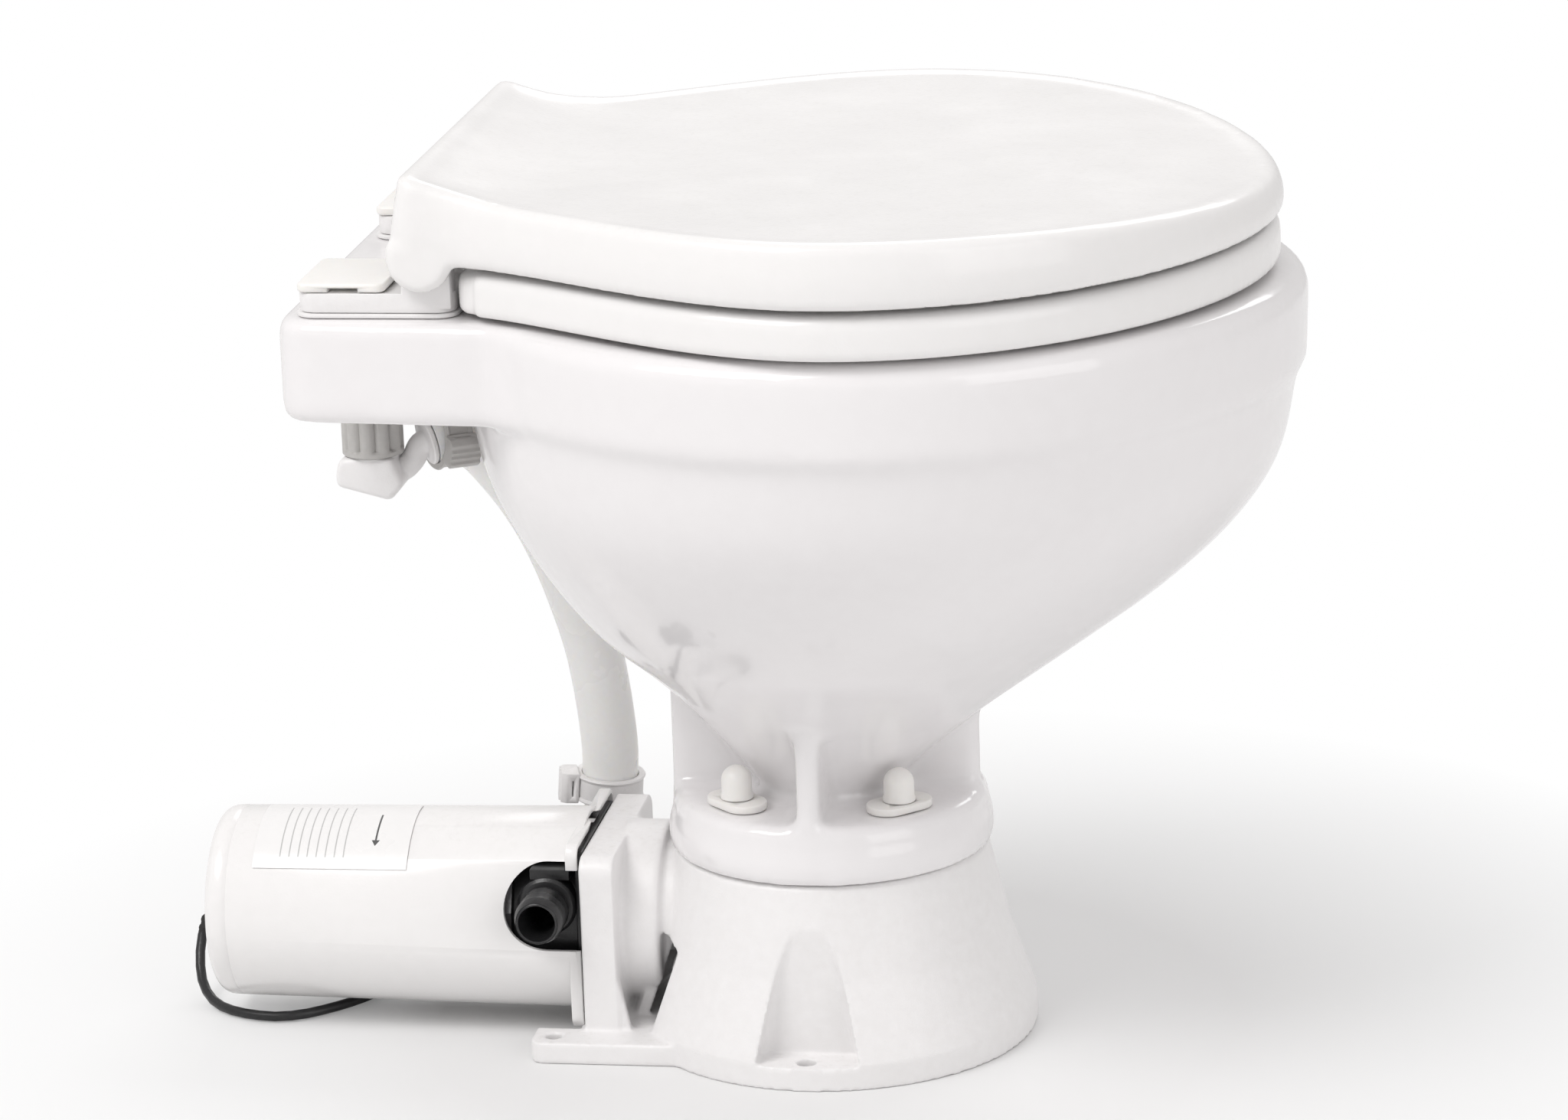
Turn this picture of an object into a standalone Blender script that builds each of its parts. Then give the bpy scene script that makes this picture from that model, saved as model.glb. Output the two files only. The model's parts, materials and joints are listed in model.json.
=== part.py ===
"""Electric marine toilet, seat and lid down, as separate named parts.

Metres, +Z up. The bowl's outlet stands on the Z axis, the floor is z = 0, +X is the front of the bowl, and
the motor lies along -X. Near is the -Y side and far is the +Y side.
Run with: blender --background --python part.py, or from Blender's text editor.
"""

import math

import bmesh
import bpy
from mathutils import Matrix, Vector

# General sizes
CLEARANCE = 0.0003
RUNNING_GAP = 0.0008
OVERRUN = 0.002
MERGE_DISTANCE = 0.00001
SMOOTH_ANGLE = math.radians(35)
LARGE_STEPS = 28
ROUND_STEPS = 14
SMALL_STEPS = 10
PLAN_STEPS = 7
SCREW_HOLE_PLAY = 0.0006

# Bowl: the china shell, from its foot flange to its rim
FLANGE_BOTTOM = 0.0763
FLANGE_HEIGHT = 0.0227
FLANGE_STEP = 0.0018
FLANGE_EDGE = 0.0025
RIB_THICKNESS = 0.008
RIB_REAR_REACH = 0.063
RIB_FRONT_REACH = 0.060
RIB_SIDE_REACH = 0.062
RIB_HEIGHT = 0.046
RIB_EDGE = 0.0025
BOWL_FRONT = 0.186
BOWL_REAR = 0.135
BOWL_HALF_WIDTH = 0.160
BOWL_WIDEST_X = 0.030
BOWL_CONE_HEIGHT = 0.168
BOWL_WALL = 0.009
SPINE_HALF_WIDTH = 0.005
BAND_STEP = 0.0045
BAND_STEP_HEIGHT = 0.006
RIM_HEIGHT = 0.041
RIM_TOP = FLANGE_BOTTOM + FLANGE_HEIGHT + BOWL_CONE_HEIGHT + RIM_HEIGHT
RIM_EDGE = 0.008
RIM_OPENING_FRONT = 0.157
RIM_OPENING_REAR = 0.098
RIM_OPENING_HALF_WIDTH = 0.130
RIM_LIP_DEPTH = 0.022
OUTLET_RADIUS = 0.020
LEDGE_REAR = 0.192
LEDGE_HALF_WIDTH = 0.097
LEDGE_CORNER = 0.016
LEDGE_HEIGHT = 0.040
LEDGE_TOP_THICKNESS = 0.009
LEDGE_WALL = 0.008
LEDGE_EDGE = 0.004
LEDGE_FAIRING_X = 0.085
LEDGE_FAIRING_HALF_WIDTH = 0.118
DUCT_HALF_WIDTH = 0.017
DUCT_DEPTH = 0.046
DUCT_BORE_RADIUS = 0.006
INLET_X = -0.178
INLET_BORE_RADIUS = 0.0075
# Height, front, rear and width of the bowl's outside, from neck to band
BOWL_SECTION_SHARES = (
    (0.00, 0.140, 0.190, 0.160),
    (0.075, 0.200, 0.265, 0.212),
    (0.17, 0.300, 0.360, 0.300),
    (0.254, 0.400, 0.452, 0.400),
    (0.334, 0.500, 0.555, 0.500),
    (0.411, 0.595, 0.665, 0.600),
    (0.536, 0.745, 0.780, 0.740),
    (0.677, 0.880, 0.880, 0.870),
    (0.815, 0.962, 0.955, 0.955),
    (1.00, 1.000, 1.000, 1.000),
)
# The cavity follows the outside from this section up
CAVITY_FIRST_SECTION = 3
OUTLET_FUNNEL_SHARE = 0.12
ROUND_POWER = 2.0
FRONT_POWER = 1.87
REAR_POWER = 2.05

# Bowl bolts, on the flange's diagonals
NUT_MARGIN = 0.00948
BOLT_CIRCLE = BOWL_REAR * BOWL_SECTION_SHARES[1][2] + NUT_MARGIN
BOLT_SPREAD = BOLT_CIRCLE / math.sqrt(2)
BOLT_RADIUS = 0.003
BOLT_HEAD_RADIUS = 0.0055
BOLT_HEAD_HEIGHT = 0.004
WASHER_LENGTH = 0.028
WASHER_WIDTH = 0.017
WASHER_THICKNESS = 0.003
CAP_NUT_RADIUS = 0.006
CAP_NUT_HEIGHT = 0.013
CAP_NUT_SKIRT_SHARE = 0.55

# Bowl seal, in the recess of the base's top
SEAL_INNER_RADIUS = 0.0245
SEAL_OUTER_RADIUS = 0.0355
SEAL_RECESS_DEPTH = 0.004

# Base housing
BASE_TOP = 0.076
BASE_BOTTOM_X = 0.0800
BASE_BOTTOM_Y = 0.083
BASE_RIM_HEIGHT = 0.010
BASE_TOP_EDGE = 0.0015
BASE_WAIST_HEIGHT = 0.040
BASE_WAIST_SHARE = 0.44
BASE_WALL = 0.0045
BASE_BOLT_ROOM = 0.006945
BASE_TOP_RADIUS = BOLT_CIRCLE + BOLT_HEAD_RADIUS + BASE_WALL + BASE_BOLT_ROOM
FLANGE_OVERHANG = 0.0022
FLANGE_RADIUS = BASE_TOP_RADIUS + FLANGE_OVERHANG
BASE_TOP_PLATE = 0.008
SUMP_RADIUS = 0.022
SUMP_WALL = 0.004
SUMP_FLOOR = 0.030
SUMP_POST_RADIUS = 0.007
PAD_HEIGHT = 0.009
NICHE_RADIUS = 0.0165
NICHE_Y = 0.083
NICHE_TOP = 0.062
SIDE_HOLE_X = -0.001
SIDE_HOLE_Y = 0.075
SIDE_HOLE_RADIUS = 0.00375
FOOT_THICKNESS = 0.0085
FOOT_HALF_WIDTH = 0.060
FOOT_REAR = 0.0965
TAB_REAR = 0.114
TAB_WIDTH = 0.018
TAB_CORNER = 0.006
TAB_HOLE_X = -0.1055
TAB_HOLE_Y = 0.051
TAB_HOLE_RADIUS = 0.0033
SPOUT_Z = 0.052
SPOUT_RADIUS = 0.0235
SPOUT_WALL = 0.004
AXIS_Z = 0.045
DRUM_RADIUS = 0.0355
DRUM_FRONT = 0.067
DRUM_EDGE = 0.004
PLATE_FRONT = 0.0805
PLATE_REAR = 0.0943
PLATE_HALF_WIDTH = 0.045
PLATE_TOP = 0.0795
PLATE_CORNER = 0.007
GUSSET_LEG = 0.020
GUSSET_HEIGHT = 0.026
GUSSET_THICKNESS = 0.005

# Discharge pump, in the drum behind the spout
CHAMBER_RADIUS = 0.031
CHAMBER_FRONT = 0.075
EYE_RADIUS = 0.0145
CUTTER_RADIUS = 0.0195
CUTTER_THICKNESS = 0.0022
CUTTER_HOLES = 6
CUTTER_HOLE_RADIUS = 0.0028
CUTTER_HOLE_CIRCLE = 0.0105
CHOPPER_LENGTH = 0.026
CHOPPER_WIDTH = 0.008
CHOPPER_THICKNESS = 0.0025
CHOPPER_HUB_RADIUS = 0.0065
IMPELLER_RADIUS = 0.0275
IMPELLER_DISC = 0.003
IMPELLER_VANES = 6
IMPELLER_VANE_THICKNESS = 0.003
IMPELLER_VANE_LENGTH = 0.008
IMPELLER_HUB_RADIUS = 0.0085
SHAFT_RADIUS = 0.004
SHAFT_FRONT = 0.066
SHAFT_REAR = 0.236
SEAL_RING_RADIUS = 0.0095
SEAL_RING_LENGTH = 0.0035
DISCHARGE_RADIUS = 0.0105
DISCHARGE_WALL = 0.0028
DISCHARGE_STUB_LENGTH = 0.006
DISCHARGE_Z = 0.034
DISCHARGE_TURN = 0.020
DISCHARGE_TAIL = 0.030
DISCHARGE_BARB = 0.0015
VALVE_WALL = 0.0018
VALVE_LENGTH = 0.020
VALVE_LIP_SHARE = 0.3

# Flush pump, between the plate and the motor
BACKPLATE_THICKNESS = 0.0026
BACKPLATE_HALF_WIDTH = 0.038
BACKPLATE_HALF_HEIGHT = 0.036
BACKPLATE_CORNER = 0.008
FLUSH_BODY_RADIUS = 0.0335
FLUSH_BODY_LENGTH = 0.027
FLUSH_CHAMBER_RADIUS = 0.0265
FLUSH_CHAMBER_DEPTH = 0.014
FLUSH_IMPELLER_RADIUS = 0.0245
FLUSH_IMPELLER_LENGTH = 0.0105
FLUSH_BLADES = 6
FLUSH_BLADE_THICKNESS = 0.0032
PORT_X = -0.1095
PORT_Z = 0.0565
PORT_RADIUS = 0.0085
PORT_BORE_RADIUS = 0.0062
INLET_TIP_Y = 0.0555
BARB_HEIGHT = 0.0013
BARB_PITCH = 0.0055
BARBS = 3
OUTLET_TIP_Y = 0.044

# Motor and its cover
COVER_FRONT_RADIUS = 0.0403
COVER_REAR_RADIUS = 0.0383
COVER_REAR = 0.2495
COVER_WALL = 0.002
COVER_EDGE = 0.006
COVER_FLANGE_THICKNESS = 0.003
COVER_FLANGE_HALF_WIDTH = 0.0395
COVER_FLANGE_HALF_HEIGHT = 0.038
COVER_FLANGE_CORNER = 0.008
ARCH_RADIUS = 0.0168
MOTOR_RADIUS = 0.0325
MOTOR_REAR = 0.2385
MOTOR_WALL = 0.002
MOTOR_END_THICKNESS = 0.005
ARMATURE_RADIUS = 0.022
ARMATURE_FRONT = 0.150
ARMATURE_REAR = 0.2085
LABEL_LENGTH = 0.063
LABEL_ARC = math.radians(60)
LABEL_START = math.radians(-8)
LABEL_X = -0.198
LABEL_THICKNESS = 0.0003

# Flush hose, its clips and the elbows at its ends
HOSE_RADIUS = 0.0115
HOSE_BORE_RADIUS = 0.0088
HOSE_POINTS = (
    (-0.1015, 0.0600, 0.0700),
    (-0.1000, 0.0582, 0.0960),
    (-0.1025, 0.0500, 0.1340),
    (-0.1080, 0.0430, 0.1620),
    (-0.1150, 0.0380, 0.1850),
    (-0.1235, 0.0345, 0.2035),
    (-0.1320, 0.0280, 0.2190),
    (-0.1395, 0.0190, 0.2315),
    (-0.1475, 0.0105, 0.2385),
    (-0.1560, 0.0050, 0.2372),
)
HOSE_TOP_DROP = 0.0708
HOSE_STEPS = 15
ELBOW_RADIUS = 0.0095
ELBOW_BORE_RADIUS = 0.0062
ELBOW_ROUTE = (
    (-0.1095, 0.0446, 0.0565),
    (-0.1095, 0.0480, 0.0565),
    (-0.1090, 0.0535, 0.0572),
    (-0.1055, 0.0590, 0.0605),
)
ELBOW_NECK = 0.004
ELBOW_GAP = 0.0012
TAIL_PLAY = 0.0013
INLET_TAIL_RADIUS = 0.0043
INLET_TAIL_BORE_RADIUS = 0.0030
INLET_TAIL_POINTS = (
    (-0.1760, 0.0000, 0.2243),
    (-0.1700, 0.0010, 0.2245),
    (-0.1662, 0.0020, 0.2257),
    (-0.1627, 0.0035, 0.2293),
    (-0.1602, 0.0045, 0.2343),
    (-0.1560, 0.0050, 0.2370),
)
CLIP_WALL = 0.0018
CLIP_WIDTH = 0.011
CLIP_HEAD = 0.012
CLIP_HEAD_HEIGHT = 0.009
LOWER_CLIP_SHARE = 0.035
UPPER_CLIP_SHARE = 0.95
UNION_DROP = 0.0755
UNION_BOTTOM = RIM_TOP - UNION_DROP
UNION_RADIUS = 0.0122
UNION_FLUTES = 10
UNION_FLUTE_RADIUS = 0.0018
UNION_RING = 0.002
INLET_ELBOW_HALF = 0.0115
INLET_ELBOW_DROP = 0.093
INLET_ELBOW_BOTTOM = RIM_TOP - INLET_ELBOW_DROP
INLET_NECK_RADIUS = 0.007

# Seat and lid
SEAT_GAP = 0.0023
SEAT_BOTTOM = RIM_TOP + SEAT_GAP
SEAT_THICKNESS = 0.0172
SEAT_TOP = SEAT_BOTTOM + SEAT_THICKNESS
SEAT_FRONT = 0.180
SEAT_REAR = 0.122
SEAT_HALF_WIDTH = 0.1665
SEAT_REAR_HALF_WIDTH = 0.086
SEAT_EDGE = 0.006
SEAT_OPENING_FRONT = 0.139
SEAT_OPENING_REAR = 0.078
SEAT_OPENING_HALF_WIDTH = 0.110
LID_GAP = 0.0019
LID_BOTTOM = SEAT_TOP + LID_GAP
LID_DEPTH = 0.0246
LID_CREASE = LID_BOTTOM + LID_DEPTH
LID_FRONT = 0.1815
LID_REAR = 0.146
LID_REAR_LEAN = 0.003
LID_HALF_WIDTH = 0.169
LID_REAR_HALF_WIDTH = 0.099
LID_CORNER = 0.008
LID_LIP_RISE = 0.013
LID_LIP_LENGTH = 0.058
LID_LIP_POWER = 2
LID_NOTCH_HEIGHT = 0.026
LID_FRONT_DROP = 0.0095
LID_DISH = 0.007
LID_WALL = 0.004
LID_TOP_THICKNESS = 0.005
LID_EDGE = 0.005
LID_BULGE = 0.002
TAPER_END_X = -0.125
WIDEST_X = 0.028
TAPER_POWER = 0.8
SEAT_GAP_BUMPER_RADIUS = 0.007
BUMPER_RIM_SHARE = 0.5
BUMPER_FRONT_X = 0.120
BUMPER_REAR_X = -0.045

# Hinges: a block, cap, gasket, bolt, nut and pin on each side
HINGE_X = -0.133
HINGE_RISE = 0.004
HINGE_Z = SEAT_TOP + HINGE_RISE
GASKET_THICKNESS = 0.0015
GASKET_MARGIN = 0.0012
BLOCK_REAR = 0.183
BLOCK_FRONT = 0.1228
BLOCK_OUTER_Y = 0.0895
BLOCK_INNER_Y = 0.045
BLOCK_CORNER = 0.007
BLOCK_RISE = 0.0095
BLOCK_TOP = RIM_TOP + BLOCK_RISE
KNUCKLE_RADIUS = 0.0095
KNUCKLE_WIDTH = 0.010
PIN_RADIUS = 0.0035
PIN_END = 0.0955
EAR_WIDTH = 0.0085
EAR_RADIUS = 0.012
EAR_EDGE = 0.002
EAR_STEPS = 10
SEAT_ARM_WIDTH = 0.012
SEAT_ARM_RADIUS = 0.0075
SEAT_ARM_Y = 0.060
HINGE_CAP_THICKNESS = 0.0035
HINGE_CAP_FRONT = 0.149
CAP_NOTCH_LENGTH = 0.012
CAP_NOTCH_DEPTH = 0.0025
HINGE_BOLT_X = -0.165
HINGE_BOLT_Y = 0.067
HINGE_BOLT_RADIUS = 0.004
HINGE_BOLT_LENGTH = 0.028
HINGE_BOLT_HEAD = 0.0075
HINGE_BOLT_HEAD_HEIGHT = 0.004
HINGE_NUT_RADIUS = 0.009
HINGE_NUT_HEIGHT = 0.007

# Supply lead: its outlet, its free length, its coil and its connector
CORD_RADIUS = 0.002
CORD_Y = 0.022
CORD_Z = 0.034
GROMMET_RADIUS = 0.0055
GROMMET_FLANGE = 0.0025
GROMMET_NECK_RADIUS = 0.004
CORD_POINTS = (
    (-0.2526, 0.0220, 0.0340),
    (-0.2590, 0.0220, 0.0337),
    (-0.2640, 0.0200, 0.0275),
    (-0.2655, 0.0140, 0.0170),
    (-0.2625, 0.0040, 0.0075),
    (-0.2555, -0.0060, 0.0030),
    (-0.2465, -0.0140, 0.0023),
    (-0.2370, -0.0186, 0.0023),
    (-0.2260, -0.0205, 0.0023),
    (-0.2165, -0.0175, 0.0023),
    (-0.2080, -0.0110, 0.0023),
    (-0.1980, 0.0000, 0.0023),
    (-0.1905, 0.0130, 0.0023),
    (-0.1870, 0.0300, 0.0023),
    (-0.1866, 0.0460, 0.0023),
    (-0.1866, 0.0560, 0.0023),
)
CORD_STEPS = 28
COIL_OUTER_RADIUS = 0.0235
COIL_TURNS = 2
COIL_CLIMB_TURNS = 0.5
COIL_LOOP_POINTS = 24
COIL_PITCH = 0.0050
COIL_END_RUN = 0.004
LEAD_TAIL = 0.021
CONNECTOR_LENGTH = 0.026
CONNECTOR_WIDTH = 0.014


def finish(name, colour, roughness, metallic=0.0, alpha=1.0):
    """Returns a new Principled material."""
    made = bpy.data.materials.new(name + "_finish")
    made.use_nodes = True
    shader = made.node_tree.nodes["Principled BSDF"]
    shader.inputs["Base Color"].default_value = (*colour, 1.0)
    shader.inputs["Roughness"].default_value = roughness
    shader.inputs["Metallic"].default_value = metallic
    shader.inputs["Alpha"].default_value = alpha
    return made


CHINA = ((0.84, 0.82, 0.83), 0.12)
GLOSS_WHITE = ((0.86, 0.85, 0.84), 0.18)
SATIN_WHITE = ((0.82, 0.81, 0.81), 0.38)
IVORY = ((0.84, 0.81, 0.74), 0.35)
HOSE_IVORY = ((0.78, 0.68, 0.52), 0.30)
GREY_PLASTIC = ((0.45, 0.44, 0.43), 0.40)
BLACK_PLASTIC = ((0.02, 0.02, 0.02), 0.40)
BLACK_RUBBER = ((0.03, 0.03, 0.03), 0.70)
STEEL = ((0.62, 0.62, 0.62), 0.28, 1.0)
LABEL_FOIL = ((0.80, 0.80, 0.79), 0.30)


def place(bm, name, look=None):
    """Turns a bmesh into a linked object; one without a look is a cutter or a lump to join."""
    bmesh.ops.remove_doubles(bm, verts=bm.verts, dist=MERGE_DISTANCE)
    bmesh.ops.recalc_face_normals(bm, faces=bm.faces)
    mesh = bpy.data.meshes.new(name)
    bm.to_mesh(mesh)
    bm.free()
    mesh.shade_smooth()
    mesh.set_sharp_from_angle(angle=SMOOTH_ANGLE)
    made = bpy.data.objects.new(name, mesh)
    bpy.context.scene.collection.objects.link(made)
    if look:
        mesh.materials.append(finish(name, *look))
    else:
        made.hide_render = True
        made.display_type = "WIRE"
    return made


def combine(target, operation, others, solver="EXACT"):
    """Adds one Boolean per helper."""
    for other in others:
        step = target.modifiers.new(operation.title(), "BOOLEAN")
        step.operation = operation
        step.object = other
        step.solver = solver
    return target


def cut(target, *others):
    return combine(target, "DIFFERENCE", others)


def join(target, *others):
    return combine(target, "UNION", others)


def cut_closed(target, *others):
    """Cuts where the exact solver loses the body; every helper is closed."""
    return combine(target, "DIFFERENCE", others, "MANIFOLD")


def join_closed(target, *others):
    """Joins where the exact solver loses the body; every helper is closed."""
    return combine(target, "UNION", others, "MANIFOLD")


def soften(target, width, segments=2, angle=SMOOTH_ANGLE):
    """Rounds an object's sharp edges."""
    step = target.modifiers.new("Bevel", "BEVEL")
    step.width = width
    step.segments = segments
    step.limit_method = "ANGLE"
    step.angle_limit = angle
    return target


def turn_to(axis, at):
    """The matrix that carries +Z to an axis and the origin to a place."""
    return Matrix.Translation(at) @ Vector((0, 0, 1)).rotation_difference(Vector(axis)).to_matrix().to_4x4()


def spin_into(bm, profile, axis=(0, 0, 1), at=(0, 0, 0), steps=ROUND_STEPS):
    """Spins a closed outline of (radius, height) points about an axis, as one body."""
    start = len(bm.verts)
    verts = [bm.verts.new((radius, 0, height)) for radius, height in profile]
    on_axis = profile[0][0] == 0 and profile[-1][0] == 0
    ends = zip(verts, verts[1:] if on_axis else verts[1:] + verts[:1])
    edges = [bm.edges.new(pair) for pair in ends]
    bmesh.ops.spin(bm, geom=verts + edges, axis=(0, 0, 1), cent=(0, 0, 0), angle=math.tau, steps=steps,
                   use_merge=True)
    bm.verts.ensure_lookup_table()
    bmesh.ops.transform(bm, matrix=turn_to(axis, at), verts=bm.verts[start:])


def turned(name, profile, look=None, axis=(0, 0, 1), at=(0, 0, 0), steps=ROUND_STEPS):
    bm = bmesh.new()
    spin_into(bm, profile, axis, at, steps)
    return place(bm, name, look)


def rod(name, radius, low, high, look=None, axis=(0, 0, 1), at=(0, 0, 0), steps=ROUND_STEPS):
    """A cylinder between two heights on its axis."""
    return turned(name, ((0, low), (radius, low), (radius, high), (0, high)), look, axis, at, steps)


def rods(name, radius, low, high, places, axis=(0, 0, 1), steps=SMALL_STEPS):
    """Several like cylinders in one helper."""
    bm = bmesh.new()
    for at in places:
        spin_into(bm, ((0, low), (radius, low), (radius, high), (0, high)), axis, at, steps)
    return place(bm, name)


def ring(name, inner, outer, low, high, look, axis=(0, 0, 1), at=(0, 0, 0), steps=ROUND_STEPS):
    return turned(name, ((inner, low), (outer, low), (outer, high), (inner, high)), look, axis, at, steps)


def loft(name, rings, look=None):
    """Bridges level outlines into one capped body."""
    bm = bmesh.new()
    loops = []
    for outline in rings:
        verts = [bm.verts.new(point) for point in outline]
        loops.append([bm.edges.new(pair) for pair in zip(verts, verts[1:] + verts[:1])])
    for low, high in zip(loops, loops[1:]):
        bmesh.ops.bridge_loops(bm, edges=low + high)
    for loop in (loops[0], loops[-1]):
        bmesh.ops.contextual_create(bm, geom=loop)
    return place(bm, name, look)


def prism(name, outline, low, high, look=None, to_world=None):
    """Extrudes a flat outline from one height to another."""
    bm = bmesh.new()
    face = bm.faces.new([bm.verts.new((x, y, low)) for x, y in outline])
    moved = bmesh.ops.extrude_face_region(bm, geom=[face])["geom"]
    bmesh.ops.translate(bm, vec=(0, 0, high - low),
                        verts=[v for v in moved if isinstance(v, bmesh.types.BMVert)])
    if to_world:
        bmesh.ops.transform(bm, matrix=to_world, verts=bm.verts)
    return place(bm, name, look)


def box(name, low, high, look=None):
    outline = ((low[0], low[1]), (high[0], low[1]), (high[0], high[1]), (low[0], high[1]))
    return prism(name, outline, low[2], high[2], look)


def rounded(half_x, half_y, corner, centre=(0, 0), steps=4):
    """A rectangle's outline with round corners."""
    points = []
    for turn, sx, sy in ((0, 1, 1), (1, -1, 1), (2, -1, -1), (3, 1, -1)):
        for i in range(steps + 1):
            angle = math.pi / 2 * (turn + i / steps)
            points.append((centre[0] + sx * (half_x - corner) + corner * math.cos(angle),
                           centre[1] + sy * (half_y - corner) + corner * math.sin(angle)))
    return points


# Turns an outline drawn in (Y, Z) into one that is extruded along +X
ALONG_X = Matrix(((0, 0, 1, 0), (1, 0, 0, 0), (0, 1, 0, 0), (0, 0, 0, 1)))
# Turns an outline drawn in (X, Z) into one that is extruded along -Y
ALONG_Y = Matrix(((1, 0, 0, 0), (0, 0, -1, 0), (0, 1, 0, 0), (0, 0, 0, 1)))


def smooth_route(points, count):
    """Evenly many points on a smooth curve through a route's own points."""
    knots = [Vector(p) for p in points]
    knots = [2 * knots[0] - knots[1]] + knots + [2 * knots[-1] - knots[-2]]
    spans = len(knots) - 3
    fine = []
    for span in range(spans):
        a, b, c, d = knots[span:span + 4]
        for i in range(COIL_LOOP_POINTS):
            t = i / COIL_LOOP_POINTS
            fine.append(0.5 * (2 * b + (c - a) * t + (2 * a - 5 * b + 4 * c - d) * t ** 2
                               + (3 * b - a - 3 * c + d) * t ** 3))
    fine.append(knots[-2])
    runs = [0]
    for a, b in zip(fine, fine[1:]):
        runs.append(runs[-1] + (b - a).length)
    route = []
    k = 0
    for i in range(count):
        want = runs[-1] * i / (count - 1)
        while k < len(runs) - 2 and runs[k + 1] < want:
            k += 1
        route.append(fine[k].lerp(fine[k + 1], (want - runs[k]) / (runs[k + 1] - runs[k])))
    return route


def route_length(route):
    return sum((b - a).length for a, b in zip(route, route[1:]))


def cord(name, route, radius, look, resolution=2):
    """A round cord along a route, as a curve with filled caps."""
    curve = bpy.data.curves.new(name, "CURVE")
    curve.dimensions = "3D"
    curve.bevel_depth = radius
    curve.bevel_resolution = resolution
    curve.use_fill_caps = True
    spline = curve.splines.new("POLY")
    spline.points.add(len(route) - 1)
    for point, at in zip(spline.points, route):
        point.co = (*at, 1)
    made = bpy.data.objects.new(name, curve)
    bpy.context.scene.collection.objects.link(made)
    if look:
        curve.materials.append(finish(name, *look))
    return made


def tube(name, route, radius, look=None, resolution=2):
    """A round bar along a route, as a mesh that other shapes can be joined to or cut from."""
    guide = cord(name + "_guide", route, radius, None, resolution)
    bm = bmesh.new()
    bm.from_mesh(guide.to_mesh())
    guide.to_mesh_clear()
    bpy.data.objects.remove(guide, do_unlink=True)
    return place(bm, name, look)


def longer(route, extra):
    """The same route run on past both ends."""
    first = route[0] + (route[0] - route[1]).normalized() * extra
    last = route[-1] + (route[-1] - route[-2]).normalized() * extra
    return [first] + list(route) + [last]


def mirrored(half):
    """Closes a half outline, given from the front to the rear on the far side, with its near side."""
    return half + [(x, -y) for x, y in reversed(half) if y > 0]


def oval(front, rear, width, widest, front_power, rear_power, steps=PLAN_STEPS):
    """The bowl's plan: a blunt rear spine, its widest place and a rounder front."""
    half = []
    for i in range(steps + 1):
        c = math.cos(math.pi / 2 * i / steps)
        x = widest + (front - widest) * c
        half.append((x, width * max(0.0, 1 - c ** front_power) ** (1 / front_power)))
    for i in range(1, steps + 1):
        c = math.sin(math.pi / 2 * i / steps)
        y = width * max(0.0, 1 - c ** rear_power) ** (1 / rear_power)
        x = widest - (rear + widest) * c
        half.append((x, max(y, SPINE_HALF_WIDTH)))
    return mirrored(half)


def tapered(front, rear, width, rear_width, corner, steps=PLAN_STEPS):
    """The seat's and lid's plan: a round front, sides that draw in, and a straight rear edge."""
    half = []
    for i in range(steps + 1):
        c = math.cos(math.pi / 2 * i / steps)
        half.append((WIDEST_X + (front - WIDEST_X) * c, width
                     * max(0.0, 1 - c ** FRONT_POWER) ** (1 / FRONT_POWER)))
    stop = -rear + corner
    for i in range(1, steps + 1):
        x = WIDEST_X + (stop - WIDEST_X) * i / steps
        s = max(0.0, (x - TAPER_END_X) / (WIDEST_X - TAPER_END_X)) ** TAPER_POWER
        half.append((x, rear_width + (width - rear_width) * s * s * (3 - 2 * s)))
    for i in range(1, 4):
        angle = math.pi / 2 * (1 + i / 3)
        half.append((stop + corner * math.cos(angle), rear_width - corner + corner * math.sin(angle)))
    half.append((-rear, (rear_width - corner) / 2))
    return mirrored(half)


def level(outline, z):
    return [(x, y, z) for x, y in outline]


def sides():
    """The far and the near side: a suffix and a sign on Y."""
    return (("far", 1), ("near", -1))


def bowl_outline(height, inset):
    """One level outline of the bowl: row height is a place in the section table, inset shrinks it."""
    share, front, rear, width = BOWL_SECTION_SHARES[height]
    front_power = ROUND_POWER + (FRONT_POWER - ROUND_POWER) * share
    rear_power = ROUND_POWER + (REAR_POWER - ROUND_POWER) * share
    outline = oval(BOWL_FRONT * front - inset, BOWL_REAR * rear - inset, BOWL_HALF_WIDTH * width - inset,
                   BOWL_WIDEST_X * share, front_power, rear_power)
    return level(outline, FLANGE_BOTTOM + FLANGE_HEIGHT + BOWL_CONE_HEIGHT * share)


def grown_outline(grow, z):
    """The rim's outline, wider than the band's foot by a margin."""
    outline = oval(BOWL_FRONT + grow, BOWL_REAR + grow, BOWL_HALF_WIDTH + grow, BOWL_WIDEST_X, FRONT_POWER,
                   REAR_POWER)
    return level(outline, z)


def bowl_places():
    """The four bolt centres on the flange."""
    return [(sx * BOLT_SPREAD, sy * BOLT_SPREAD) for sx in (1, -1) for sy in (1, -1)]


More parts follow.
